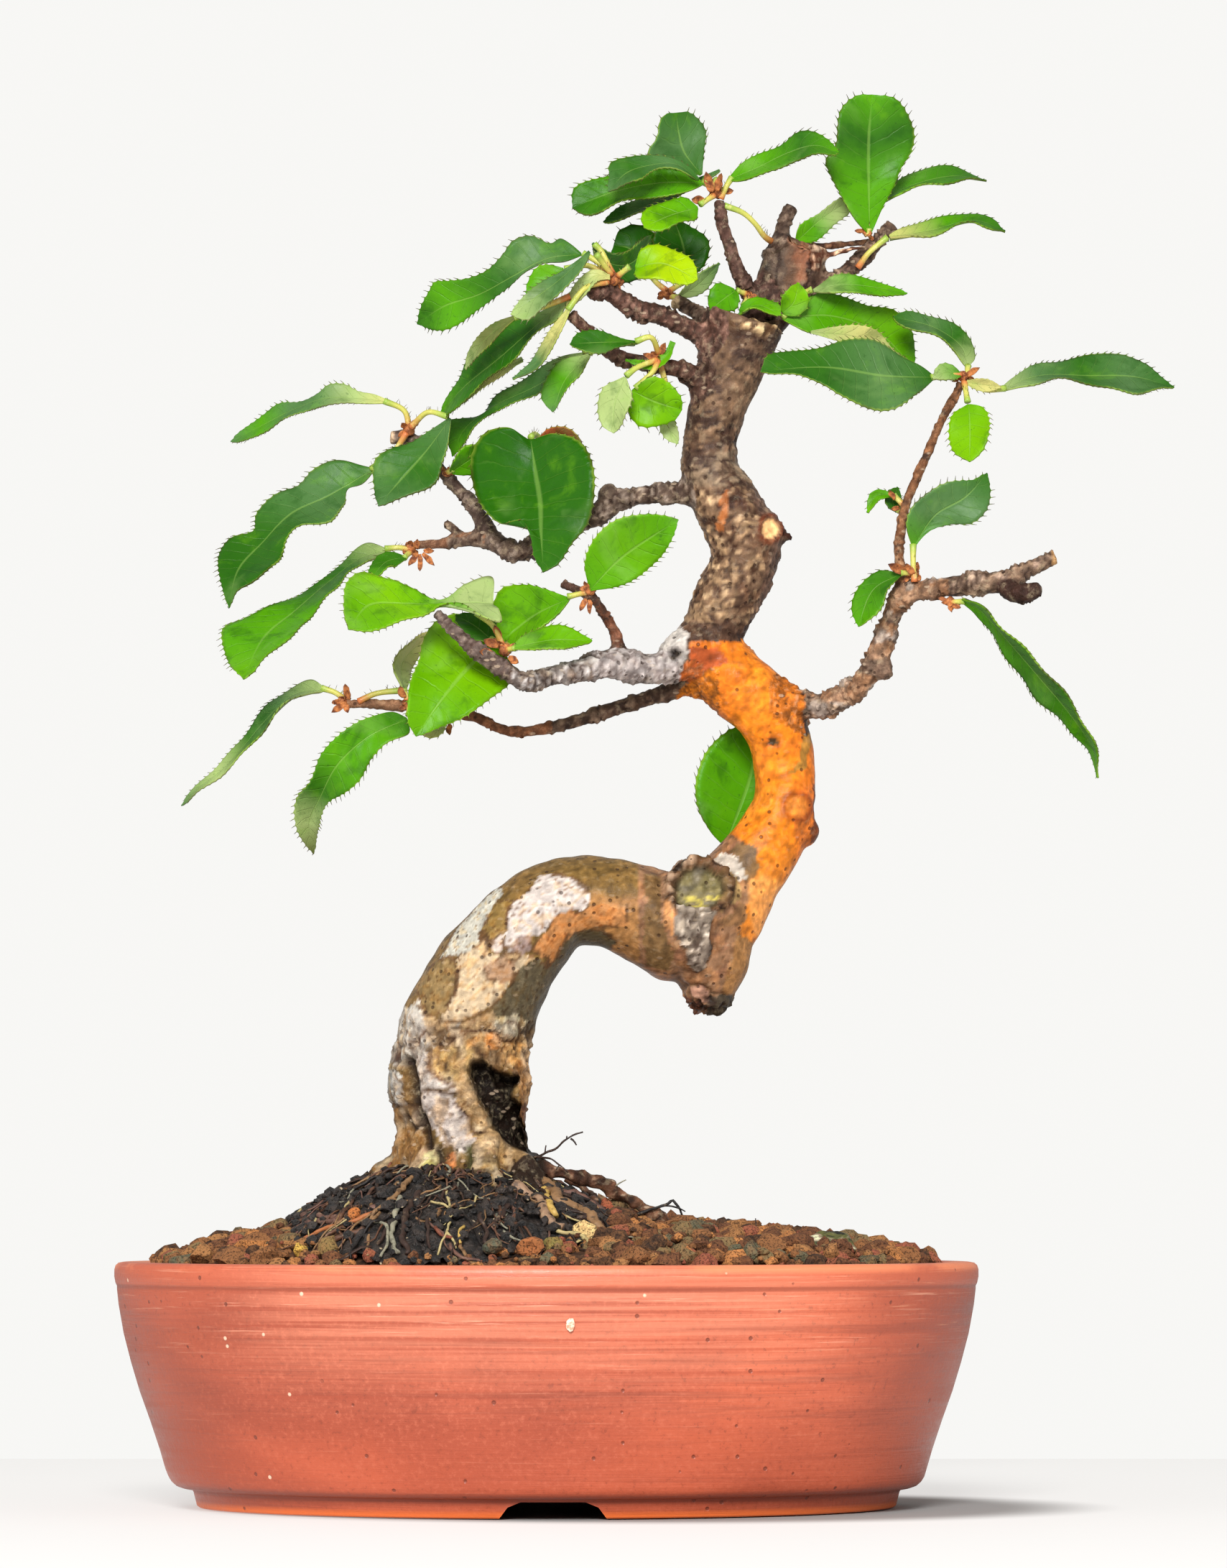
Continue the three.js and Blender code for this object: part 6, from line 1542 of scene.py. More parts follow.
# A curled flake of old bark on the granules at the right: a thin sheet bent over like a shell, dark
# and mossy inside its curl, with pale worn folds on its back. It lies loose.
flake_mesh = bmesh.new()
bmesh.ops.create_grid(flake_mesh, x_segments=30, y_segments=48, size=1)
for vert in flake_mesh.verts:
    u, v = vert.co.x, (vert.co.y + 1) / 2
    top = np.interp(v, [0, 0.12, 0.4, 0.7, 0.86, 1], [44.8, 46.2, 47, 47.4, 46.6, 44.4])
    tatter = 1 + 0.2 * noise.noise(Vector((v * 7, 0, 3)))
    bend = u * 1.3 * tatter
    fold = 0.3 * noise.noise(Vector((u * 2.2, v * 6, 1))) + 0.16 * math.sin(v * 17 + u * 3)
    x = 43.2 + v * 10.4 + 0.4 * noise.noise(Vector((u * 3, 5, 0)))
    y = -22 + math.sin(bend) * (1.6 + 1.6 * math.sin(math.pi * v)) + v * 1.2
    vert.co = FOOT + seen(x, 43.4 + math.cos(bend) * (top - 43.4) + fold, y) * MM
bmesh.ops.recalc_face_normals(flake_mesh, faces=flake_mesh.faces)
bmesh.ops.solidify(flake_mesh, geom=flake_mesh.faces[:], thickness=0.00035)
smooth_faces(flake_mesh)
shell_material, tree, surface = new_material("mossy_bark_flake", 0.5, 0.3)
folds = clouds(tree, stretched(tree, (1, 1, 2.4)), 260, 4, 0.6, 1.2)
specks = clouds(tree, stretched(tree), 900, 3, 0.65)
mossy = mix_colour(tree, between(tree, folds, 0.3, 0.46), earth(24, 24, 18), earth(88, 88, 46))
shell = layered(tree, mossy, [
    (between(tree, folds, 0.46, 0.54), (142, 124, 104)),
    (between(tree, folds, 0.55, 0.6), (214, 212, 172)),
    (between(tree, folds, 0.62, 0.68), (60, 56, 40)),
    (between(tree, specks, 0.42, 0.32, 0, 0.8), (26, 22, 18)),
])
tree.links.new(shell, surface.inputs["Base Color"])
raise_surface(tree, surface, weighed(tree, (folds, 1), (specks, 0.4)), 0.8, 0.0005)
curled_flake = piece("curled_bark_flake", flake_mesh, shell_material)
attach(curled_flake, "root")
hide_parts("bark_flake")

# The leaves. Long oval blades, folded a little along the midrib and waved, with fine teeth that
# end in bristles; the face is green with a soft sheen, the underside paler. Each blade hangs on
# a stout yellow stalk from a bud on its twig, wrapped in dried red-brown scales. A leaf is its
# stalk (across, up, deep), the line of its midrib (across, up), depths, width, turns and tones;
# where a leaf is lobed or curled its width is the lines of its two edges. None in a row stands for
# a stalk or a width that the leaf doesn't have.
LEAF_COLUMNS = 14
ROW_LENGTH = 0.24
TOOTH_LENGTH = 1.1
BLADE_THICKNESS = 0.34
NARROW_BLADE = 1.6
STALK_STEP = 0.5
# The grey tone is the green of leaves greyed by sheen: a painted sheen.
TONES = {
    "dark": earth(42, 92, 17), "deep": earth(32, 85, 3), "mid": earth(72, 137, 6),
    "grey": earth(72, 108, 58), "bright": earth(86, 146, 0), "lime": earth(103, 158, 0),
    "yellow": earth(146, 176, 0),
    "pale": earth(150, 168, 104), "olive": earth(92, 98, 50), "straw": earth(186, 180, 108),
    "red": earth(150, 74, 44),
}


def along(values, t):
    if len(values) == 1:
        return values[0]
    spot = t * (len(values) - 1)
    low = min(int(spot), len(values) - 2)
    return values[low] + (values[low + 1] - values[low]) * (spot - low)


def tone_along(names, t):
    colours = [Vector(TONES[name]) for name in names]
    return along(colours, t)


def leaf_layers(bm):
    """Layers for where on its leaf a point lies (across, along, the leaf's length) and its green."""
    return bm.verts.layers.float_vector.new("LeafPlace"), bm.verts.layers.float_color.new("LeafTone")


def grow_blade(whole, spine, depths, width, turns, tones):
    """One toothed blade. Its width is in mm, or it is the lines of its two edges from stalk to tip,
    first the one on the right of the way that it grows, then the one on the left."""
    marks_on_line = [seen(x, z, along(depths, i / (len(spine) - 1))) for i, (x, z) in enumerate(spine)]
    _, length = run_of(marks_on_line, 4)
    rows = max(16, round(length / ROW_LENGTH))
    run, _ = run_of(marks_on_line, rows)
    edges = []
    if isinstance(width, tuple):
        for edge in width:
            line = [marks_on_line[0]] + [
                seen(x, z, along(depths, (i + 1) / (len(edge) + 1))) for i, (x, z) in enumerate(edge)]
            edges.append(run_of(line + [marks_on_line[-1]], rows)[0])
    seed = abs(round(spine[0][0] * 31 + spine[0][1] * 17)) + 1
    phase = seed % 7
    teeth = max(6, round(length / TOOTH_LENGTH))
    bm = bmesh.new()
    place_layer, tone_layer = leaf_layers(bm)
    bmesh.ops.create_grid(bm, x_segments=LEAF_COLUMNS, y_segments=rows, size=1)
    rims = []
    downs = {}
    for vert in bm.verts:
        u, t = vert.co.x, (vert.co.y + 1) / 2
        row = round(t * rows)
        place, way = run[row]
        flat = way.cross(Vector((0, 1, 0))).normalized()
        facing = way.cross(flat).normalized()
        angle = math.radians(along(turns, t))
        side = flat * math.cos(angle) + facing * math.sin(angle)
        half = width / 2 * max(0, math.sin(math.pi * (0.96 * t + 0.02) ** 0.9)) ** 0.8 if not edges else 0
        half = max(0.22 if t > 0.5 else 0.5, half * (1 - smooth_between(t, 0.9, 1) * 0.75))
        if edges:
            across = (edges[0 if u < 0 else 1][row][0] - place) * math.copysign(1, u)
            across += facing * (min(2, math.tan(abs(angle))) * math.copysign(across.length, angle))
            across += flat * (0.25 if t < 0.97 else 0.1)
            half = across.length
            side = across.normalized()
        normal = way.cross(side).normalized()
        tooth_spot = (t * teeth + seed * 0.37 + (0.5 if u > 0 else 0)) % 1
        tooth = (tooth_spot ** 1.4 * 0.42 - 0.12) * abs(u) ** 6
        tooth *= smooth_between(t, 0.1, 0.25) * min(1, half / 1.8)
        out = u * half + math.copysign(tooth, u) if abs(u) > 0.01 else 0
        raised = (math.sqrt(u * u + 0.012) - 0.11) * min(half, 5) * 0.24
        raised += u * math.sin(t * 9 + phase) * min(half, 5) * 0.12
        wave = math.sin(t * length * 0.62 + phase + (1.7 if u > 0 else 0))
        raised += abs(u) ** 2.5 * 0.32 * min(1, half / 2.6) * wave
        vein = math.sin((t * length / 2.3 - abs(u) * half * 0.5) * math.tau + seed)
        raised += vein * 0.05 * min(1, abs(u) * 5) * (1 - abs(u) ** 3) * min(1, half / 4)
        vert.co = FOOT + (place + side * out + normal * raised) * MM
        vert[place_layer] = (u, t, length)
        vert[tone_layer] = tone_along(tones, t)
        downs[(round(u * LEAF_COLUMNS), row)] = normal
        if abs(u) > 0.999 and t > 0.12 and tooth_spot > 1 - teeth / rows:
            outward = (side * math.copysign(1, u) + way * 1.1).normalized()
            rims.append((vert.co.copy(), outward, t, half))
    back = bmesh.ops.extrude_face_region(bm, geom=bm.faces[:])
    for face in back["geom"]:
        if isinstance(face, bmesh.types.BMFace):
            face.material_index = 1
    for vert in verts_of(back):
        u, t, _ = vert[place_layer]
        thick = BLADE_THICKNESS + 0.5 * math.exp(-(u / 0.09) ** 2) * (1 - t)
        vert.co -= downs[(round(u * LEAF_COLUMNS), round(t * rows))] * (thick * MM)
    bmesh.ops.recalc_face_normals(bm, faces=bm.faces)
    smooth_faces(bm)
    for number, (rim, outward, t, half) in enumerate(rims):
        if half < NARROW_BLADE and number % 2:
            continue
        reach = (0.62 + 0.42 * ((number * 7 + seed) % 5) / 4) * min(1, 0.4 + half * 0.25)
        bristle = bmesh.ops.create_cone(
            bm, cap_ends=True, segments=3, radius1=0.11 * MM, radius2=0.03 * MM, depth=reach * MM,
            matrix=outward.to_track_quat("Z", "Y").to_matrix().to_4x4())
        for vert in bristle["verts"]:
            tip = vert.co.dot(outward) > 0
            vert.co += rim + outward * (reach * 0.42 * MM)
            vert[place_layer] = (1.6 if tip else 1.15, t, length)
            vert[tone_layer] = tone_along(tones, t)
    append(whole, bm)
    return length


def grow_stalk(whole, stalk, ground, seed):
    """A leaf stalk with bristles along its upper side."""
    points = [seen(x, z, y) for x, z, y in stalk]
    straight = sum((b - a).length for a, b in zip(points, points[1:]))
    run, length = run_of(points, max(6, round(straight / STALK_STEP)))
    bm = bmesh.new()
    place_layer, tone_layer = leaf_layers(bm)
    last = len(run) - 1
    stations = [
        (FOOT + place * MM, way, (0.62 - 0.14 * math.sin(math.pi * number / last)) * MM)
        for number, (place, way) in enumerate(run)]
    rings = grow(bm, stations, 8)
    for number, ring in enumerate(rings):
        for vert in ring:
            vert[place_layer] = (0, number / last, length)
            vert[tone_layer] = ground
    bmesh.ops.recalc_face_normals(bm, faces=bm.faces)
    smooth_faces(bm, 2)
    spring = random.Random(seed)
    for number in range(int(length / 0.9)):
        place, way = run[min(last, 1 + round(spring.random() * (last - 1)))]
        up = (Vector((spring.uniform(-0.8, 0.8), spring.uniform(-0.8, 0.4), 1)) - way * 0.2).normalized()
        reach = spring.uniform(0.5, 1.0)
        hair = bmesh.ops.create_cone(
            bm, cap_ends=True, segments=3, radius1=0.08 * MM, radius2=0.02 * MM, depth=reach * MM,
            matrix=up.to_track_quat("Z", "Y").to_matrix().to_4x4())
        for vert in hair["verts"]:
            tip = vert.co.dot(up) > 0
            vert.co += FOOT + (place + up * (0.55 + reach * 0.4)) * MM
            vert[place_layer] = (1.6 if tip else 1.15, 0.6, length)
            vert[tone_layer] = TONES["straw"]
    append(whole, bm)


def grow_scale(whole, base, way, length, width, seed):
    """A dried bud scale: a small pointed blade that curls outward."""
    bm = bmesh.new()
    place_layer, _ = leaf_layers(bm)
    bmesh.ops.create_grid(bm, x_segments=4, y_segments=8, size=1)
    way = way.normalized()
    side = way.cross(Vector((0.2, 1, 0.1))).normalized()
    face_way = way.cross(side).normalized()
    for vert in bm.verts:
        u, t = vert.co.x, (vert.co.y + 1) / 2
        half = width / 2 * max(0.04, math.sin(math.pi * (0.15 + 0.85 * t) ** 1.2) ** 0.8)
        bend = 0.35 * t * t * length
        place = base + way * (t * length) + side * (u * half) + face_way * (bend + u * u * half * 0.6)
        place += Vector((noise.noise(place * 0.9), noise.noise(place * 0.9 + Vector((3, 1, 7))), 0)) * 0.25
        vert.co = FOOT + place * MM
        vert[place_layer] = (u, t, seed % 7)
    back = bmesh.ops.extrude_face_region(bm, geom=bm.faces[:])
    for vert in verts_of(back):
        vert.co += face_way * (0.16 * MM)
    bmesh.ops.recalc_face_normals(bm, faces=bm.faces)
    smooth_faces(bm, 3)
    append(whole, bm)


def grow_bud(whole, x, z, y, radius):
    bm = bmesh.new()
    place_layer, _ = leaf_layers(bm)
    bmesh.ops.create_icosphere(bm, subdivisions=3, radius=1)
    middle = seen(x, z, y)
    for vert in bm.verts:
        lump = 1 + 0.3 * noise.noise(vert.co * 2.3 + Vector((x, y, z)))
        vert[place_layer] = (0, 0.5, 0)
        vert.co = FOOT + (middle + vert.co * radius * 0.72 * lump) * MM
    smooth_faces(bm, 3)
    append(whole, bm)
    spring = random.Random(round(x * 13 + z * 7))
    for number in range(5):
        turn = number * 2.4 + spring.random()
        way = Vector((math.cos(turn) * 0.8, math.sin(turn) * 0.8, spring.uniform(-0.9, 0.9))).normalized()
        grow_scale(whole, middle + way * radius * 0.45, way, radius * spring.uniform(0.8, 1.3),
                   radius * spring.uniform(0.6, 0.9), number + round(x))


SPRAYS = {
    "leaves_low_left": ((-7.4, 148.9, -8.2, 1.6), [
        ([(-7.8, 149.6, -8.8), (-9.4, 153, -11), (-12.4, 155.4, -12)],
         [(-9.4, 157), (-14, 157.2), (-18.7, 156.9), (-25, 157), (-31, 156.8), (-34.6, 152.6)],
         [-11, -14], ([(-9.4, 160.9), (-13.8, 160.1), (-18.7, 157.3), (-23.6, 158.5), (-28.5, 160.1),
          (-32.5, 161.3), (-35.2, 159.3), (-35.4, 155.2)], [(-8.8, 152.8), (-12.1, 153.6), (-15.4, 156),
          (-18.7, 156.6), (-21.9, 154.8), (-26.8, 153.2), (-30.9, 152.4)]), [35, 10, -20],
         ["pale", "pale", "bright", "lime", "bright", "bright"]),
        ([(-7, 148.9, -9), (-5.6, 149.2, -10.5)], [(-6, 149.3), (1, 150.6), (7.9, 150.5)], [-10.5, -13],
         ([(-2.3, 148.7), (2.6, 148.8)], [(-3.1, 151.5), (0.1, 152.5), (4.2, 151.9)]), [-45],
         ["bright", "bright"]),
        ([(-7.2, 149.2, -7.2), (-7, 149.8, -4.6), (-9, 149.6, -2.4)],
         [(-9.5, 150), (-14, 145.5), (-18.5, 140), (-22.9, 133.8)], [-2.2, 0],
         ([(-12.5, 154.5), (-15.4, 154.8), (-18.7, 153.4), (-20.7, 151), (-21.9, 147), (-23.2, 143.6),
          (-24, 139.7), (-24.1, 136.4)], [(-7.4, 147), (-6.8, 143), (-10.5, 139.5), (-14.6, 136.8),
          (-18.7, 135.5)]), [15], ["bright", "lime", "bright", "bright"]),
        ([(-7.6, 149.6, -7.4), (-9.8, 150.8, -5.4)], [(-9.2, 150.2), (-12.5, 153), (-16, 155)],
         [-5.4, -4], 6, [35], ["dark"]),
    ]),
    "leaves_low_middle": ((7.6, 159.3, -7.4, 1.3), [
        ([(7.6, 159.6, -7.6), (7.6, 160.6, -8.6)], [(7.5, 159.4), (13, 165), (22.9, 171.7)], [-8.6, -13],
         ([(11, 160), (14.9, 161.8), (19.2, 165.2), (21.4, 168.7)], [(7, 163.9), (8.8, 168.3),
          (12.7, 171.7), (17.5, 172.6)]), [20], ["mid", "bright", "mid"]),
        ([(7, 159, -7), (3.6, 158.2, -6)], [(3.8, 157.9), (-2, 155), (-8.6, 149.8)], [-6, 4],
         ([(-0.7, 159.1), (-4, 159.5), (-8, 158.9), (-9.2, 155)], [(1.5, 154.5), (-1.5, 151.5),
          (-5, 149)]), [20], ["mid", "bright", "bright"]),
    ]),
    "leaves_left_far": ((-35.8, 139.9, 16, 1.2), [
        ([(-34.8, 139.8, 16), (-37, 141.4, 16), (-39.4, 142.2, 16)], [(-38.6, 142), (-44, 141.2),
          (-49.3, 136.4), (-53, 132), (-57, 127.7), (-61.4, 124.4), (-63.8, 121.6)], [16, 10],
         ([(-40.7, 143), (-44, 142.3), (-47.2, 140.5), (-49.3, 137.9), (-53, 133), (-57, 128.6),
          (-60.9, 125.4)], [(-43.2, 140.5), (-46.5, 138), (-49.5, 134.8), (-53, 131.2), (-57, 126.8),
          (-61.5, 123.6)]), [60], ["pale", "grey", "dark", "pale", "grey"]),
    ]),
    "leaves_left_low": ((-24, 139.3, 12.6, 1.2), [
        ([(-24, 139, 12), (-24.2, 137.4, 11.4)],
         [(-24.4, 136.8), (-31, 133.8), (-36.6, 128.8), (-39.6, 123), (-41.5, 118.5), (-40.7, 113.2)],
         [11.4, 7], ([(-26.8, 137.9), (-30.9, 136.8), (-35.8, 134), (-39.1, 130.7), (-41.1, 125.8),
          (-43.6, 122.4), (-43.2, 117.6)], [(-24.6, 134), (-28.5, 132.3), (-30.9, 129.9), (-32.5, 126.6),
          (-35.8, 124.2), (-38.3, 122.5), (-40, 118.5)]), [25, 20, 10, -20],
         ["dark", "mid", "mid", "dark", "pale", "olive"]),
        ([(-24.4, 140, 12.4), (-25, 142, 12.6)], [(-25, 142), (-25.3, 146.5), (-20, 152)], [12.6, 14], 5,
         [55], ["pale", "straw"]),
        ([(-33, 139.8, 15), (-30, 141.2, 14), (-25.4, 141.8, 13)], None, None, None, None, None),
        ([(-17.6, 138, 13), (-17.8, 136.2, 12)], [(-17.8, 136), (-20, 134.6), (-22.4, 134.8)], [12, 11],
         2.6, [20], ["pale", "straw"]),
    ]),
    "leaves_left_middle": ((-23.9, 166.9, 4.8, 1.4), [
        ([(-23.6, 166.2, 4.8), (-25.8, 166.8, 4.6), (-28.4, 166.6, 4.2)],
         [(-27.4, 166.3), (-32, 165.3), (-38, 161), (-44, 155.8), (-49.5, 151), (-53, 143.9)], [4.6, -2],
         ([(-30.5, 166.8), (-32.5, 166.2), (-35.8, 163.8), (-39.1, 160.9), (-43.2, 158.5), (-47.2, 156),
          (-51.3, 154.4), (-54.2, 153.2), (-55.1, 150.7), (-54.8, 147.5)], [(-29.3, 165), (-31.7, 164.4),
          (-35, 161.7), (-37.4, 158.5), (-40.7, 155.2), (-43.2, 152.8), (-45.6, 149.5), (-48.9, 146.6),
          (-51.3, 144.6)]), [30], ["pale", "dark", "dark", "mid", "mid", "bright"]),
        ([(-24, 166, 4.4), (-25, 165, 3.4)], [(-24.8, 165.1), (-28, 164.4), (-31, 161)], [3.4, 1], 3.6,
         [30], ["dark", "mid"]),
    ]),
    "leaves_left_upper": ((-24.2, 187.5, -2.4, 1.5), [
        ([(-24.1, 187.4, -2), (-25, 190.8, -1), (-28.6, 192.6, -1)],
         [(-27.6, 192.4), (-33, 193), (-39, 193), (-45, 190.8), (-50, 188.2), (-55.4, 185.4)], [-1, 4],
         ([(-30.9, 193.7), (-33.4, 194.2), (-35.8, 195.2), (-38.7, 194.8), (-40.3, 193.4), (-43.2, 192.1),
          (-47.2, 191.5), (-50.1, 189.9), (-52.5, 187.9)], [(-30.9, 192.2), (-35, 192.2), (-39.1, 191.9),
          (-42.3, 190.9), (-45.6, 189.6), (-48.1, 187.7), (-51.3, 186)]), [50],
         ["straw", "pale", "grey", "grey", "mid", "grey"]),
        ([(-23.8, 188, -3.4), (-20.8, 190.6, -4.6), (-17.4, 189.8, -5.4)],
         [(-17, 189.5), (-21, 184), (-25.5, 178.8), (-29.5, 174.2)], [-5.4, -10],
         ([(-20.3, 187.1), (-23.6, 185), (-26.8, 183.4), (-29.3, 181.3), (-29.8, 177.5)], [(-17.2, 185.4),
          (-18.1, 181.7), (-19.5, 177.9), (-23.2, 175.8), (-26.8, 174.6)]), [20],
         ["grey", "dark", "grey"]),
        ([(-24.6, 187, -3.6), (-27, 183.4, -4.4), (-30.8, 180.6, -3)],
         [(-30.3, 180.6), (-38, 176), (-44.5, 173), (-50, 167.5), (-54, 163), (-55.6, 156.4)], [-3, -5],
         ([(-35, 181.3), (-37.8, 180.9), (-40.7, 179.7), (-43.2, 177.3), (-47.2, 175.6), (-50.1, 173.2),
          (-50.9, 169.5), (-54.6, 167.9), (-56.4, 165.4), (-56.6, 161.7)], [(-32.5, 178.1), (-35, 177.3),
          (-35.8, 174), (-38.3, 169.9), (-40.3, 169.3), (-43.2, 169.1), (-46, 166.6), (-48.1, 162.6),
          (-50.9, 160.1), (-54.2, 159.3)]), [20], ["dark", "grey", "dark", "deep", "dark"]),
    ]),
    "leaf_left_small": ((-17.6, 179.9, -1.2, 1), [
        ([(-17.6, 179.9, -1.4), (-16.4, 180.6, -2.2)], [(-16.8, 180), (-13, 182.6), (-9.5, 184.6)],
         [-2.2, -2], 6, [45], ["mid", "mid"]),
    ]),
    "leaf_broad": ((2, 172.4, 4.4, 1.2), [
        ([(2, 172.8, 4.6), (2, 178, 5), (0, 184, 4), (-2, 186.6, 0), (-2.9, 186.2, -3)],
         [(-2.9, 185.8), (-2, 180), (-1.2, 174.8), (-1.1, 169), (-0.7, 162.6)], [-3, -9],
         ([(-6.8, 187.5), (-10.5, 186.2), (-12.8, 182), (-12.4, 177), (-10.5, 173.2), (-7.2, 170.3),
          (-4, 170.9), (-2.6, 168.4), (-1.9, 165)], [(1.75, 186.6), (6.24, 184.6), (8.5, 179),
          (7.1, 171.5), (4.2, 167.5), (1.75, 163.8)]), [0], ["deep", "deep", "dark"]),
        (None, [(-1.6, 185.4), (0.8, 186.4), (3.4, 186.6), (6.2, 184.6)], [-1.6, -3.4], 3, [25],
         ["red", "red", "olive"]),
    ]),
    "leaves_top_left": ((11.6, 214, -6.4, 1.6), [
        ([(11, 214.6, -6), (8.8, 217, -5), (6.2, 218.6, -4)],
         [(6, 218.4), (0, 217.6), (-6, 214.5), (-12, 211.3), (-18, 209.3), (-22.8, 206.1)], [-4, 4],
         ([(4, 220), (2.3, 221), (0.6, 220.2), (-2.7, 221.2), (-5.5, 220.3), (-7.7, 217.8),
          (-10.6, 215.3), (-13.9, 213.9), (-17.9, 213.6), (-20.9, 213.3), (-21.9, 210.8)], [(2.9, 217.2),
          (-0.5, 217), (-3.8, 215.6), (-6.6, 213), (-8.9, 211.1), (-11.7, 208.8), (-15, 206),
          (-18.6, 205.9)]), [30], ["dark", "grey", "dark", "mid", "dark"]),
        ([(11.4, 215, -5), (9.4, 219, -3), (8.2, 220.2, -2.6)],
         [(8, 220.3), (11, 216.9), (14, 216.6), (16.4, 218.4), (18.2, 221.8)], [-2.6, 2],
         ([(8.8, 217.5), (10.8, 215.3), (13, 214.1), (15.8, 215), (17, 218.1)], [(11.3, 218.4),
          (14.1, 218.6), (16.4, 220.3)]), [30], ["grey", "dark", "grey"]),
        ([(12.4, 214.6, -7), (14.4, 216.2, -8.6)], [(15.4, 216), (20, 216.8), (26.3, 214)], [-8.6, -12],
         ([(15.8, 214.4), (17.8, 213.7), (21.4, 213.2), (25.1, 213.2)], [(16.5, 218.6), (19.6, 219.7),
          (23.3, 218.3), (25.5, 215.8)]), [-30], ["bright", "yellow", "yellow"]),
        ([(11.2, 214.8, -7.4), (8.6, 218.4, -10)], [(7.4, 218.9), (1.5, 213.4), (-6.4, 207.8)],
         [-10, -13], ([(5.2, 217), (2.4, 215), (-0.5, 213.6), (-2.7, 211.9), (-4.7, 209.9)],
          [(6.3, 216.4), (4.6, 213.9), (2.9, 212.2), (-0.5, 209.1), (-3.5, 206.6)]), [40],
         ["grey", "grey", "pale"]),
        ([(10.6, 214.4, -7.2), (7, 213.4, -7.6), (3.4, 210.6, -7.6)],
         [(3.6, 210.8), (-2, 205.8), (-8.5, 200), (-14.6, 195), (-18.8, 190.2)], [-7.6, -3],
         ([(1.2, 209.1), (-2.7, 207.4), (-5.5, 206.3), (-8.3, 203.5), (-13.9, 199.6), (-16.2, 195.6)],
          [(2.9, 207.4), (-1, 205.2), (-3.8, 201.8), (-7.8, 198.4), (-11.1, 195.6), (-14.5, 191.7)]),
         [50], ["pale", "dark", "deep", "dark", "mid"]),
        ([(10.6, 213.6, -7.6), (6.6, 212.4, -9.4), (3.6, 208.6, -10.4)],
         [(3.8, 209), (2, 205.6), (-0.5, 201.4), (-2.6, 198.6), (-6.1, 196.5)], [-10.4, -12], 2.6, [40],
         ["straw", "straw", "grey", "grey"]),
        ([(10.8, 214.6, -7), (7, 216.4, -6), (3, 215.8, -5.6)],
         [(3, 215.6), (-0.5, 213.8), (-3.8, 211.6)], [-5.6, -6], 4.8, [20], ["bright", "mid"]),
        ([(4, 211, -9), (-2, 208.6, -8.6), (-5.8, 207.2, -8.6)],
         [(-5.6, 207.4), (-9.6, 204.6), (-13, 200.8), (-14.4, 198.2)], [-8.6, -7], 2.8, [30],
         ["olive", "olive", "pale"]),
        (None, [(-4.4, 199.9), (-8, 198), (-11.6, 195.6), (-14.6, 192.4)], [-4.4, -4], 1.9, [10],
         ["pale", "straw", "pale"]),
        (None, [(11, 214.4), (8.4, 214.6), (5.4, 211.6), (3.2, 208.8)], [-8.4, -9], 2.8, [20],
         ["straw", "pale", "straw"]),
    ]),
    "leaves_upper_left": ((19.6, 200.1, -6.6, 1.3), [
        ([(19.6, 200.8, -7), (18, 203.8, -11), (15.4, 203, -11)],
         [(15.8, 202.9), (10, 202.9), (4, 202.6)], [-11, -15], ([(13.6, 203.2), (11.3, 203.9),
          (8.5, 204.7), (5.7, 204.3)], [(15.3, 202.5), (11.9, 202.1), (9.1, 201.1), (6.3, 201.1)]), [35],
         ["deep", "dark", "dark"]),
        ([(19.4, 199.6, -8), (18.4, 197.6, -9.6), (15.4, 194.8, -9.6)],
         [(14.8, 194.4), (19, 192.4), (23.6, 191)], [-9.6, -8], ([(14.2, 191.5), (16.4, 188.9),
          (19.7, 188.7), (22.5, 189.6)], [(18.1, 196.6), (21.4, 195.1), (23.3, 192.8)]), [15],
         ["bright", "lime", "bright"]),
        ([(19.2, 199.8, -8), (15.6, 198.4, -11), (13.8, 197, -12)],
         [(13.6, 196.8), (11.8, 192), (11.6, 186.9)], [-12, -12],
         ([(10.2, 194.5), (9.2, 191.1), (10.2, 188.3)], [(14.6, 192.8), (13.6, 189.5)]), [20],
         ["pale", "pale", "pale"]),
        ([(19.6, 199.6, -6), (20.8, 195, -5.4), (20.8, 190.6, -5)],
         [(20.8, 190.8), (21.2, 188), (22.8, 185)], [-5, -4.6], 3, [15], ["pale", "pale"]),
        (None, [(22, 203), (20.8, 200.4), (18.4, 198.9), (13.7, 199.8)], [-7.6, -9], 1.7, [10],
         ["mid", "bright", "mid"]),
    ]),
    "leaves_upper_left_end": ((8.4, 202.6, -5, 1.2), [
        ([(8.2, 202, -5), (7.4, 200.8, -5.4)], [(7.4, 200.7), (3.4, 196.6), (0.9, 190.6)], [-5.4, -7],
         ([(2.4, 199), (0.1, 195.6), (-0.2, 192.8)], [(6.8, 199.6), (5.2, 196.7), (2.4, 193.4)]), [40],
         ["pale", "mid", "grey"]),
        ([(8, 202.6, -4.4), (6.6, 201.2, -2)],
         [(6.8, 201), (-1.6, 195.4), (-9.8, 191.4), (-14.6, 187.4), (-16.6, 182.8)], [-2, 0],
         ([(2.9, 200.1), (-1.6, 197.3), (-6.1, 195.1), (-9.4, 192.8), (-11.7, 189.7), (-15, 188.6),
          (-17.1, 187.6)], [(6.3, 199.8), (2.4, 197.6), (-1.6, 193.9), (-6.1, 192), (-10.6, 190),
          (-13.9, 186.6)]), [45], ["pale", "grey", "dark", "dark", "mid"]),
    ]),
    "leaves_crown": ((30, 229.4, 0, 1.6), [
        ([(30.4, 228.2, -0.4), (31.4, 230.4, -1), (32.4, 232, -1)],
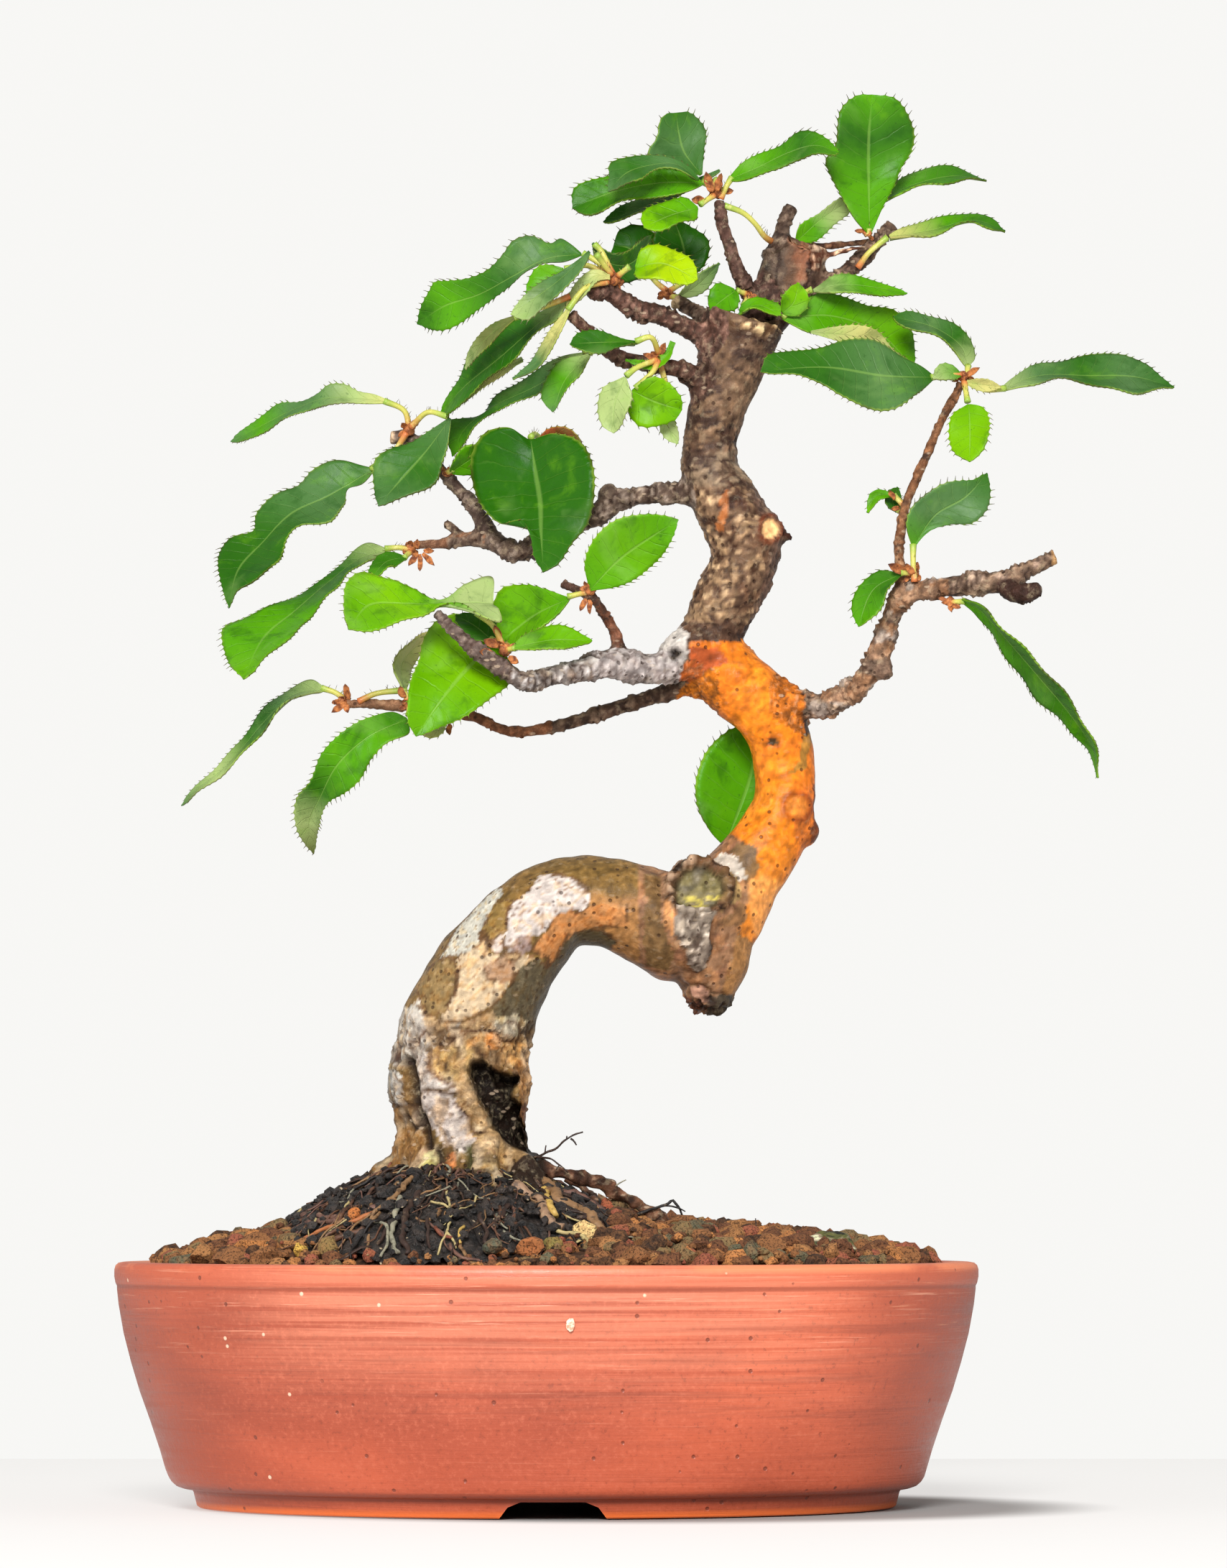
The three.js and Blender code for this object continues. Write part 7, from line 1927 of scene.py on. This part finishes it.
         [(31.8, 231.6), (36.7, 233.6), (42, 236.2), (47, 237.6), (51.1, 236.4)], [-1, -5],
         ([(33.7, 231.3), (36.7, 231.6), (40.4, 233), (43.5, 235), (46.5, 235.4), (49.9, 234.9)],
          [(33.7, 233.9), (36.7, 235.4), (40.7, 237), (44.1, 239.1), (46.5, 239.4), (49, 238.5)]), [-45],
         ["mid", "mid", "dark", "mid"]),
        ([(29.4, 229.8, 0), (27.6, 231, 0)], [(27.4, 231), (20, 231), (12, 229.5), (4.4, 226.6)], [0, 6],
         ([(22, 233), (15, 233), (9, 231.4), (5, 229.6)], [(24, 229), (17, 227.6), (10, 225.6),
          (6.4, 225.4)]), [37], ["mid", "mid", "dark"]),
        ([(29.4, 229.4, 1), (29.6, 231.6, 3.4)], [(30.2, 233.2), (25, 230.8), (18, 227.2), (9.8, 224.1)],
         [3.4, 8], ([(27.6, 232.1), (22.7, 230.4), (16.5, 228.4), (12.9, 226.4)], [(27, 231), (22, 228),
          (16.5, 224.9), (12, 224.4)]), [50], ["grey", "grey", "dark"]),
        ([(29.4, 230.2, 1), (27.8, 232, 2.4)], [(27, 232.4), (24, 236.5), (23, 240), (22.6, 243.4)],
         [2.4, 1], ([(27.1, 237), (27.2, 240), (26.3, 241.9), (24.2, 243.4)], [(22, 234), (17.6, 236),
          (19, 239.1), (19.6, 241.6), (21, 243.1)]), [20], ["dark", "grey", "dark"]),
        ([(29.2, 230, -1), (27.4, 231.6, -2.6)],
         [(26.6, 231.5), (22.5, 234.3), (18, 234.1), (14, 232.8), (10.7, 229.6)], [-2.6, -5],
         ([(25.1, 233.3), (22.7, 234.8), (19.6, 235.4), (15.3, 235), (11.9, 234.8), (11.3, 232.1)],
          [(25.1, 232.4), (22.7, 233.6), (19.6, 233.6), (17.1, 232.2), (15.3, 230.2)]), [45],
         ["dark", "grey", "dark", "grey"]),
        ([(29.2, 228.8, -1.2), (26.8, 227.2, -3)], [(26.4, 226.6), (22, 225.4), (17, 223.2)], [-3, -7],
         ([(24.8, 228.1), (22, 227.8), (19, 226.6), (17, 224.4)], [(25.4, 224.4), (22.7, 223.2),
          (19.6, 222.4)]), [35], ["mid", "bright", "lime"]),
        ([(39.4, 220.6, 6.6), (38, 221.6, 4), (36.4, 223.8, 2), (34.3, 225.7, 1), (31, 227, 0)], None,
         None, None, None, None),
    ]),
    "leaves_top_back": ((21, 211.4, 7.6, 1.3), [
        ([(21.2, 211.8, 8), (24, 213.6, 9.6)], [(23.8, 213.4), (24, 219), (22, 225)], [9.6, 11],
         ([(27.2, 217), (27.4, 221)], [(20, 217), (18.8, 221)]), [20], ["deep", "deep"]),
        ([(21.4, 211, 7.6), (23, 210.8, 7)], [(23, 210.8), (26.4, 213), (30.2, 216.8)], [7, 5], 3, [30],
         ["pale", "grey"]),
        ([(20.8, 212, 8), (18.6, 214, 9), (17.4, 216.4, 9)], [(17.4, 216.4), (14.4, 219.4), (11.6, 220)],
         [9, 11], ([(19, 221), (15.6, 222.8), (12.4, 222)], [(14.4, 215.6), (11.4, 217.6)]), [20],
         ["deep", "deep"]),
    ]),
    "leaves_top_front": ((35.2, 211, 1.6, 1.2), [
        ([(35.2, 210.8, 1.2), (34.4, 209.4, -0.8)], [(33.6, 208.4), (37, 209.4), (40.9, 207.7)], [-1, -4],
         ([(34, 207.4), (36.7, 208.5), (39.4, 208)], [(34.3, 209.4), (37.4, 210.7), (39.8, 209.6)]),
         [-50], ["mid", "bright"]),
        ([(34.8, 211.4, 1.2), (33.2, 212, 0)], [(33, 212), (31, 210.6), (28.6, 208.6)], [0, -3], 5.4,
         [10], ["mid", "mid"]),
    ]),
    "leaves_top_right": ((56, 222.4, 6.4, 1.2), [
        ([(56.2, 221.6, 6), (56.4, 223, 5.6)], [(56.5, 221.9), (56.4, 230), (56.3, 238), (57, 246.6)],
         [5.6, 6], ([(57.9, 225.3), (59.7, 229.6), (61.2, 233.3), (63.4, 236.4), (64.1, 239.4),
          (62.8, 243.1), (60.6, 245.9)], [(53.9, 224.7), (51.4, 229), (49.6, 232.7), (48.9, 234.8),
          (50.5, 237.6), (50.9, 241.3), (51.7, 244), (54.5, 246.3)]), [10],
         ["mid", "mid", "dark", "mid"]),
        ([(54.4, 216, 5.4), (56.3, 218.6, 4.4), (59.6, 221.4, 4)],
         [(60, 221.5), (67, 222.6), (75, 224.4), (80.3, 222.5)], [4, 0], 6.4, [-60],
         ["straw", "mid", "dark"]),
        ([(56.4, 223, 7), (57.4, 226, 7.6), (59, 228.4, 8)],
         [(58.6, 228), (64, 230.6), (71, 232.2), (77, 231.5)], [8, 11], 7, [-60], ["mid", "dark"]),
        ([(43, 219.4, 8), (43.8, 220.8, 8)], [(43.6, 220.6), (48, 224.6), (53.2, 228)], [8, 9],
         ([(46.5, 221), (50.2, 224.1), (53, 226.3)], [(44.1, 222.9), (47.8, 225.3), (51.4, 228.1)]), [20],
         ["mid", "mid", "pale", "pale"]),
    ]),
    "leaves_top_right_low": ((43.6, 210.8, 1.9, 1.3), [
        ([(43.4, 210.4, 1.4), (42.4, 208.6, 0), (41.2, 207.2, -0.6)],
         [(41.2, 207.2), (50, 207.5), (58, 204.5), (64.3, 198.3)], [-0.6, 4],
         ([(44, 204.8), (48, 204.3), (52, 203.2), (57, 201.4), (60.5, 199.4)], [(44.3, 209.4),
          (48, 210.9), (52.4, 210.1), (56.9, 209), (60.6, 207.9), (62.8, 205), (63.9, 202)]), [-30],
         ["mid", "mid", "bright", "mid"]),
        ([(44, 211.2, 1.2), (46.4, 212.2, 0)], [(46.6, 212), (51, 213), (56, 212.8), (63.1, 211.5)],
         [0, -3],
         ([(50.2, 211.3), (55.1, 211.3), (59.4, 211.2)], [(50.2, 214.2), (55.1, 213.9), (59.4, 212.7)]),
         [-50], ["pale", "mid", "mid"]),
        (None, [(46.2, 204.7), (54, 203.8), (60, 200.8), (64.2, 198.3)], [-3.4, -1],
         ([(48, 204.2), (52, 203), (57, 200.9), (60.5, 199)], [(50, 205.3), (54.6, 205.5), (57.8, 204.3),
          (60.6, 201.2)]), [0], ["pale", "straw", "pale"]),
        ([(43.4, 210.6, 0.8), (41.6, 208.6, -0.6)], [(41.2, 208), (43.2, 210), (44, 213.4)], [-1, -2.4],
         4.6, [10], ["bright", "lime"]),
    ]),
    "leaves_right_top": ((72.8, 196.9, -6.2, 1.3), [
        ([(72.4, 197.2, -6.8), (69.6, 197, -8), (67.2, 196.7, -8.4)],
         [(67.8, 196.7), (59, 197), (49, 198.5), (37.4, 197.8)], [-8, -14], ([(64.3, 199.4),
          (58.3, 201.8), (53.1, 202.5), (47.9, 201.2), (42.7, 201.2), (38.8, 199.9)], [(64.9, 194.3),
          (62.8, 192.8), (59.4, 191.1), (53.5, 191.6), (50, 193.1), (47.2, 195.4), (43.5, 197)]), [25],
         ["dark", "grey", "dark", "dark"]),
        ([(73.4, 196.6, -6), (73.7, 198.8, -5.4)],
         [(73.6, 198.6), (72.6, 202), (68, 205.4), (60.6, 207.4)], [-4.8, -3],
         ([(74.4, 200.5), (73.5, 203.1), (70.9, 205.7), (67.2, 207.2), (63.5, 207.9)], [(72.8, 199.4),
          (70.9, 201.3), (67.2, 203.9), (63.5, 204.6), (61.5, 205.7)]), [40],
         ["pale", "dark", "grey", "dark"]),
        ([(73, 196, -7), (73.6, 192.4, -8)], [(73.8, 192), (74, 187), (73.9, 182)], [-8, -9],
         ([(71.3, 190.2), (70.7, 187.2), (71.7, 183.5)], [(76.1, 190.9), (77.1, 187.9), (76.5, 184.2)]),
         [15], ["bright", "lime", "lime"]),
        ([(73.6, 196.4, -6), (76.4, 194.6, -5.6), (80.2, 194.8, -5)],
         [(79.4, 194.5), (86, 197), (95, 197), (103, 196.8), (109.8, 195)], [-5, -2],
         ([(84.2, 195.3), (89.4, 195.9), (93.1, 194.8), (96.1, 194.1), (101.3, 193.6), (106.4, 194.1)],
          [(82, 196.5), (85.7, 198.3), (91.6, 199.6), (96.1, 199.8), (100.5, 199.8), (104.2, 198.3),
          (107.2, 196.5)]), [-40], ["pale", "grey", "dark", "grey", "dark"]),
        (None, [(72.4, 197.2), (70, 197.6), (67.6, 196.6)], [-7.4, -9.4], 3.2, [20], ["mid", "pale"]),
        (None, [(73.4, 195.8), (76.4, 195.4), (79.4, 195)], [-7.4, -7], 2.2, [20], ["straw", "straw"]),
    ]),
    "leaves_right_base": ((64, 162.4, -4.4, 1.4), [
        ([(64.2, 160.8, -5), (64, 164, -5.4), (64, 167.4, -5.6)],
         [(64, 166.9), (68, 172.6), (73, 175.6), (77, 179.9)], [-5.6, -8], ([(65.4, 168.7), (67.2, 170.2),
          (70.2, 171.2), (73.9, 171.7), (76.5, 173.9), (77.5, 176.9)], [(62.7, 170.2), (63.5, 173.2),
          (65.7, 175.4), (69.4, 177.6), (72.4, 178), (74.6, 178.4)]), [30],
         ["mid", "grey", "grey", "dark"]),
        ([(63.4, 162.4, -5.4), (61.8, 162.4, -6.2)], [(61.8, 162.2), (57, 159.4), (54.4, 153)],
         [-6.2, -9],
         ([(58.3, 162.3), (55.2, 159.6), (53.8, 156.1)], [(59.6, 159.4), (58.3, 156.6), (56.5, 154.2)]),
         [35], ["dark", "mid"]),
        ([(62.2, 174.4, -3.2), (60.6, 176, -3.6)], [(60.6, 176), (57.6, 175.9), (56, 173)], [-3.6, -4.6],
         1.8, [20], ["mid", "bright"]),
        ([(62.3, 172.6, -3), (61.4, 173.4, -2)], [(61.4, 173.2), (60.4, 175), (61.4, 177.4)], [-2, -1], 3,
         [20], ["dark"]),
    ]),
    "leaf_right_hanging": ((70.4, 157.3, -3.6, 1.2), [
        ([(70.6, 157.2, -3.8), (73, 157.4, -4.2)],
         [(72.6, 157.4), (75.4, 156), (80, 151), (86, 144), (91, 138), (95, 132), (96, 126.5)],
         [-4.2, -9], 7, [66], ["mid", "dark", "mid"]),
    ]),
    "leaf_behind_trunk": ((31, 112.6, 8, 1.6), [
        ([(31, 112.8, 8.4), (31, 114.8, 10.6)], [(31, 114.6), (33.6, 121), (35.6, 127), (36.6, 134.6)],
         [10.6, 12.4], ([(35, 117.4), (38.6, 122), (40, 128)], [(28.6, 116.8), (26.4, 120.6), (25.9, 125),
          (27.4, 129.8), (30.4, 133.4), (33.4, 135.2)]), [12], ["mid", "mid", "mid"]),
    ]),
}


def vein_group():
    """Masks of a leaf from its own place across and along: side veins, midrib, rim, bristles."""
    group = bpy.data.node_groups.new("leaf_lines", "ShaderNodeTree")
    group.interface.new_socket("Place", in_out="INPUT", socket_type="NodeSocketVector")
    for mask in ("Veins", "Midrib", "Rim", "Bristle"):
        group.interface.new_socket(mask, in_out="OUTPUT", socket_type="NodeSocketFloat")
    start = group.nodes.new("NodeGroupInput")
    stop = group.nodes.new("NodeGroupOutput")
    parts = put(group, "ShaderNodeSeparateXYZ", {0: start.outputs["Place"]})
    outward = put(group, "ShaderNodeMath", {0: parts.outputs["X"]}, operation="ABSOLUTE").outputs[0]
    reach = times(group, times(group, parts.outputs["Y"], parts.outputs["Z"]), 1 / 2.3)
    wobble = times(group, clouds(group, stretched(group), 300, 2), 0.5)
    slant = plus(group, plus(group, reach, times(group, outward, -0.95)), wobble)
    turn = put(group, "ShaderNodeMath", {0: slant, 1: 0.5}, operation="PINGPONG").outputs[0]
    veins = times(group, between(group, turn, 0.07, 0.015), between(group, outward, 1.0, 0.75))
    group.links.new(times(group, veins, between(group, outward, 0.02, 0.08)), stop.inputs["Veins"])
    fading = between(group, parts.outputs["Y"], 1.0, 0.7)
    group.links.new(times(group, between(group, outward, 0.06, 0.016), fading), stop.inputs["Midrib"])
    group.links.new(between(group, outward, 0.94, 1.0), stop.inputs["Rim"])
    group.links.new(between(group, outward, 1.1, 1.45), stop.inputs["Bristle"])
    return group


leaf_lines = vein_group()
LEAF_SIDES = {}
for side_name, paleness, vein_tone, rim_tone, gloss in [
    ("leaf_face", 0.0, (140, 178, 84), (170, 190, 70), 0.36),
    ("leaf_underside", 0.62, (96, 130, 66), (206, 212, 140), 0.6),
]:
    material, tree, surface = new_material(side_name, gloss, 0.1)
    lines = put(tree, "ShaderNodeGroup", {}, node_tree=leaf_lines)
    tree.links.new(from_layer(tree, "LeafPlace", "Vector"), lines.inputs["Place"])
    patches = clouds(tree, stretched(tree), 190, 4, 0.6, 0.4)
    freckles = clouds(tree, stretched(tree), 1500, 3, 0.7)
    sheen = clouds(tree, stretched(tree, (1, 1, 1), (0.4, 0.2, 0.7)), 95, 3, 0.55, 0.6)
    edge_kind = clouds(tree, stretched(tree, (1, 1, 1), (2, 5, 1)), 120, 1)
    rim = mix_colour(tree, between(tree, edge_kind, 0.47, 0.53), earth(*rim_tone), earth(108, 84, 40))
    green = layered(tree, from_layer(tree, "LeafTone"), [
        (paleness, (164, 180, 124)),
        (between(tree, patches, 0.5, 0.3, 0, 0.5), (24, 70, 10)),
        (between(tree, patches, 0.54, 0.74, 0, 0.2), (112, 172, 16)),
        # Pale patches painted on as sheen.
        (between(tree, sheen, 0.54, 0.74, 0, 0.2), (140, 172, 96)),
        (between(tree, freckles, 0.62, 0.72, 0, 0.55), (34, 70, 22)),
        (times(tree, lines.outputs["Veins"], 0.055), vein_tone),
        (times(tree, lines.outputs["Midrib"], 0.27), vein_tone),
    ])
    green = mix_colour(tree, times(tree, lines.outputs["Rim"], 0.3), green, rim)
    green = mix_colour(tree, lines.outputs["Bristle"], green, earth(66, 52, 30))
    tree.links.new(green, surface.inputs["Base Color"])
    lift = weighed(
        tree, (lines.outputs["Veins"], -0.6), (lines.outputs["Midrib"], -0.8), (patches, 0.9),
        (freckles, 0.25))
    raise_surface(tree, surface, lift, 0.6, 0.0002)
    LEAF_SIDES[side_name] = material

stalk_material, tree, surface = new_material("leaf_stalk", 0.45, 0.4)
parts = put(tree, "ShaderNodeSeparateXYZ", {0: from_layer(tree, "LeafPlace", "Vector")})
streaky = clouds(tree, stretched(tree), 900, 3, 0.6)
up_stalk = between(tree, weighed(tree, (parts.outputs["Y"], 1), (streaky, 0.2)), 0.05, 0.6)
skin_tone = layered(tree, mix_colour(tree, up_stalk, earth(190, 104, 58), earth(186, 182, 84)), [
    (between(tree, parts.outputs["Y"], 0.6, 1.0), (138, 166, 62)),
    (between(tree, streaky, 0.55, 0.7, 0, 0.5), (216, 208, 132)),
    (between(tree, parts.outputs["X"], 1.05, 1.5), (70, 62, 36)),
])
tree.links.new(skin_tone, surface.inputs["Base Color"])

scale_material, tree, surface = new_material("dried_scales", 0.7, 0.3)
parts = put(tree, "ShaderNodeSeparateXYZ", {0: from_layer(tree, "LeafPlace", "Vector")})
dry = clouds(tree, stretched(tree), 800, 4, 0.65)
husk = mix_colour(tree, between(tree, dry, 0.35, 0.65), earth(108, 58, 36), earth(194, 122, 68))
husk = mix_colour(tree, between(tree, parts.outputs["Y"], 0.7, 1.0, 0, 0.8), husk, earth(64, 30, 22))
tree.links.new(husk, surface.inputs["Base Color"])
raise_surface(tree, surface, dry, 0.6, 0.0002)

# Dried bracts that stand out from the buds: across, up and deep at the foot, the way, length, width.
BRACTS = {
    "leaves_left_far": [
        ((-34.6, 140, 15.6), (-0.1, 1), 3.4, 1.3), ((-35, 139.6, 15.4), (-1, -0.75), 3.6, 1.3),
        ((-35, 139.4, 15.2), (0.3, -1), 2, 1)],
    "leaves_left_middle": [
        ((-22.6, 165.8, 4), (-0.6, -1), 3.4, 1.1), ((-22.2, 165.6, 3.8), (0.1, -1), 3.8, 1.1),
        ((-21.8, 165.8, 4), (0.9, -0.8), 3.8, 1.1), ((-21.6, 166.2, 4), (1, 0), 2.4, 1),
        ((-22.6, 166.6, 4), (0, 1), 2, 1)],
    "leaves_low_middle": [
        ((7.4, 158.6, -7.6), (-0.3, 1), 2.8, 1), ((6.8, 157.8, -7.6), (-0.4, -1), 3, 1.1),
        ((7.4, 157.6, -7.6), (0.1, -1), 3.2, 1)],
    "leaves_low_left": [
        ((-8.6, 149.6, -9.6), (-1, 0.5), 3, 1.6), ((-9.6, 148.4, -9.8), (-1, 0.1), 2.6, 1.4),
        ((-6.6, 147.6, -10), (0.9, -0.5), 2.4, 1.4), ((-8, 151, -9.4), (-0.5, 1), 2.8, 1.2)],
    "leaves_left_low": [
        ((-25, 140.6, 12), (-0.3, 1), 2.4, 1.3), ((-17, 136, 12), (0.1, -1), 2.6, 1.2)],
    "leaves_crown": [
        ((28.8, 229.4, -1.6), (-0.2, 1), 4, 1.6), ((29.8, 229.6, -1.8), (0.3, 1), 3.4, 1.4),
        ((27.6, 227.8, -1.4), (-1, 0.1), 2.8, 1.6)],
    "leaves_right_base": [
        ((63, 162.4, -5.4), (-1, 0.45), 4.4, 1.7), ((64, 162.2, -5.6), (-0.6, 0.9), 2.6, 1.3),
        ((60.8, 175.2, -3.8), (-0.5, 1), 2.2, 0.9), ((61.6, 173.8, -3.8), (-0.9, -0.2), 2, 0.9)],
    "leaves_upper_left": [
        ((19.8, 200.6, -7.6), (0.5, 1), 2.6, 1.1), ((19, 200, -7.8), (-1, 0.4), 2.8, 1.1)],
    "leaves_right_top": [
        ((73.4, 197, -7.4), (0.9, 0.5), 3, 1.2)],
    "leaf_right_hanging": [
        ((70.4, 157, -4.4), (0.3, -1), 2, 1), ((70.8, 156.8, -4), (1, -0.4), 1.8, 0.9)],
}

for name, (bud_spot, leaves) in SPRAYS.items():
    spray_mesh = bmesh.new()
    grow_bud(spray_mesh, *bud_spot)
    for number, (stalk, spine, depths, width, turns, tones) in enumerate(leaves):
        if stalk:
            grow_stalk(spray_mesh, stalk, TONES["straw"], number + round(bud_spot[0]))
        if spine:
            grow_blade(spray_mesh, spine, depths, width, turns, tones)
    for number, ((x, z, y), (across, up), long, wide) in enumerate(BRACTS.get(name, [])):
        grow_scale(spray_mesh, seen(x, z, y), Vector((across, -0.35, up)), long, wide, number + 3)
    spray = piece(name.replace("leaves_", "green_spray_").replace("leaf_", "green_leaf_"), spray_mesh,
                  LEAF_SIDES["leaf_face"], LEAF_SIDES["leaf_underside"], stalk_material, scale_material)
    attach(spray, "root")
    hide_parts(name)
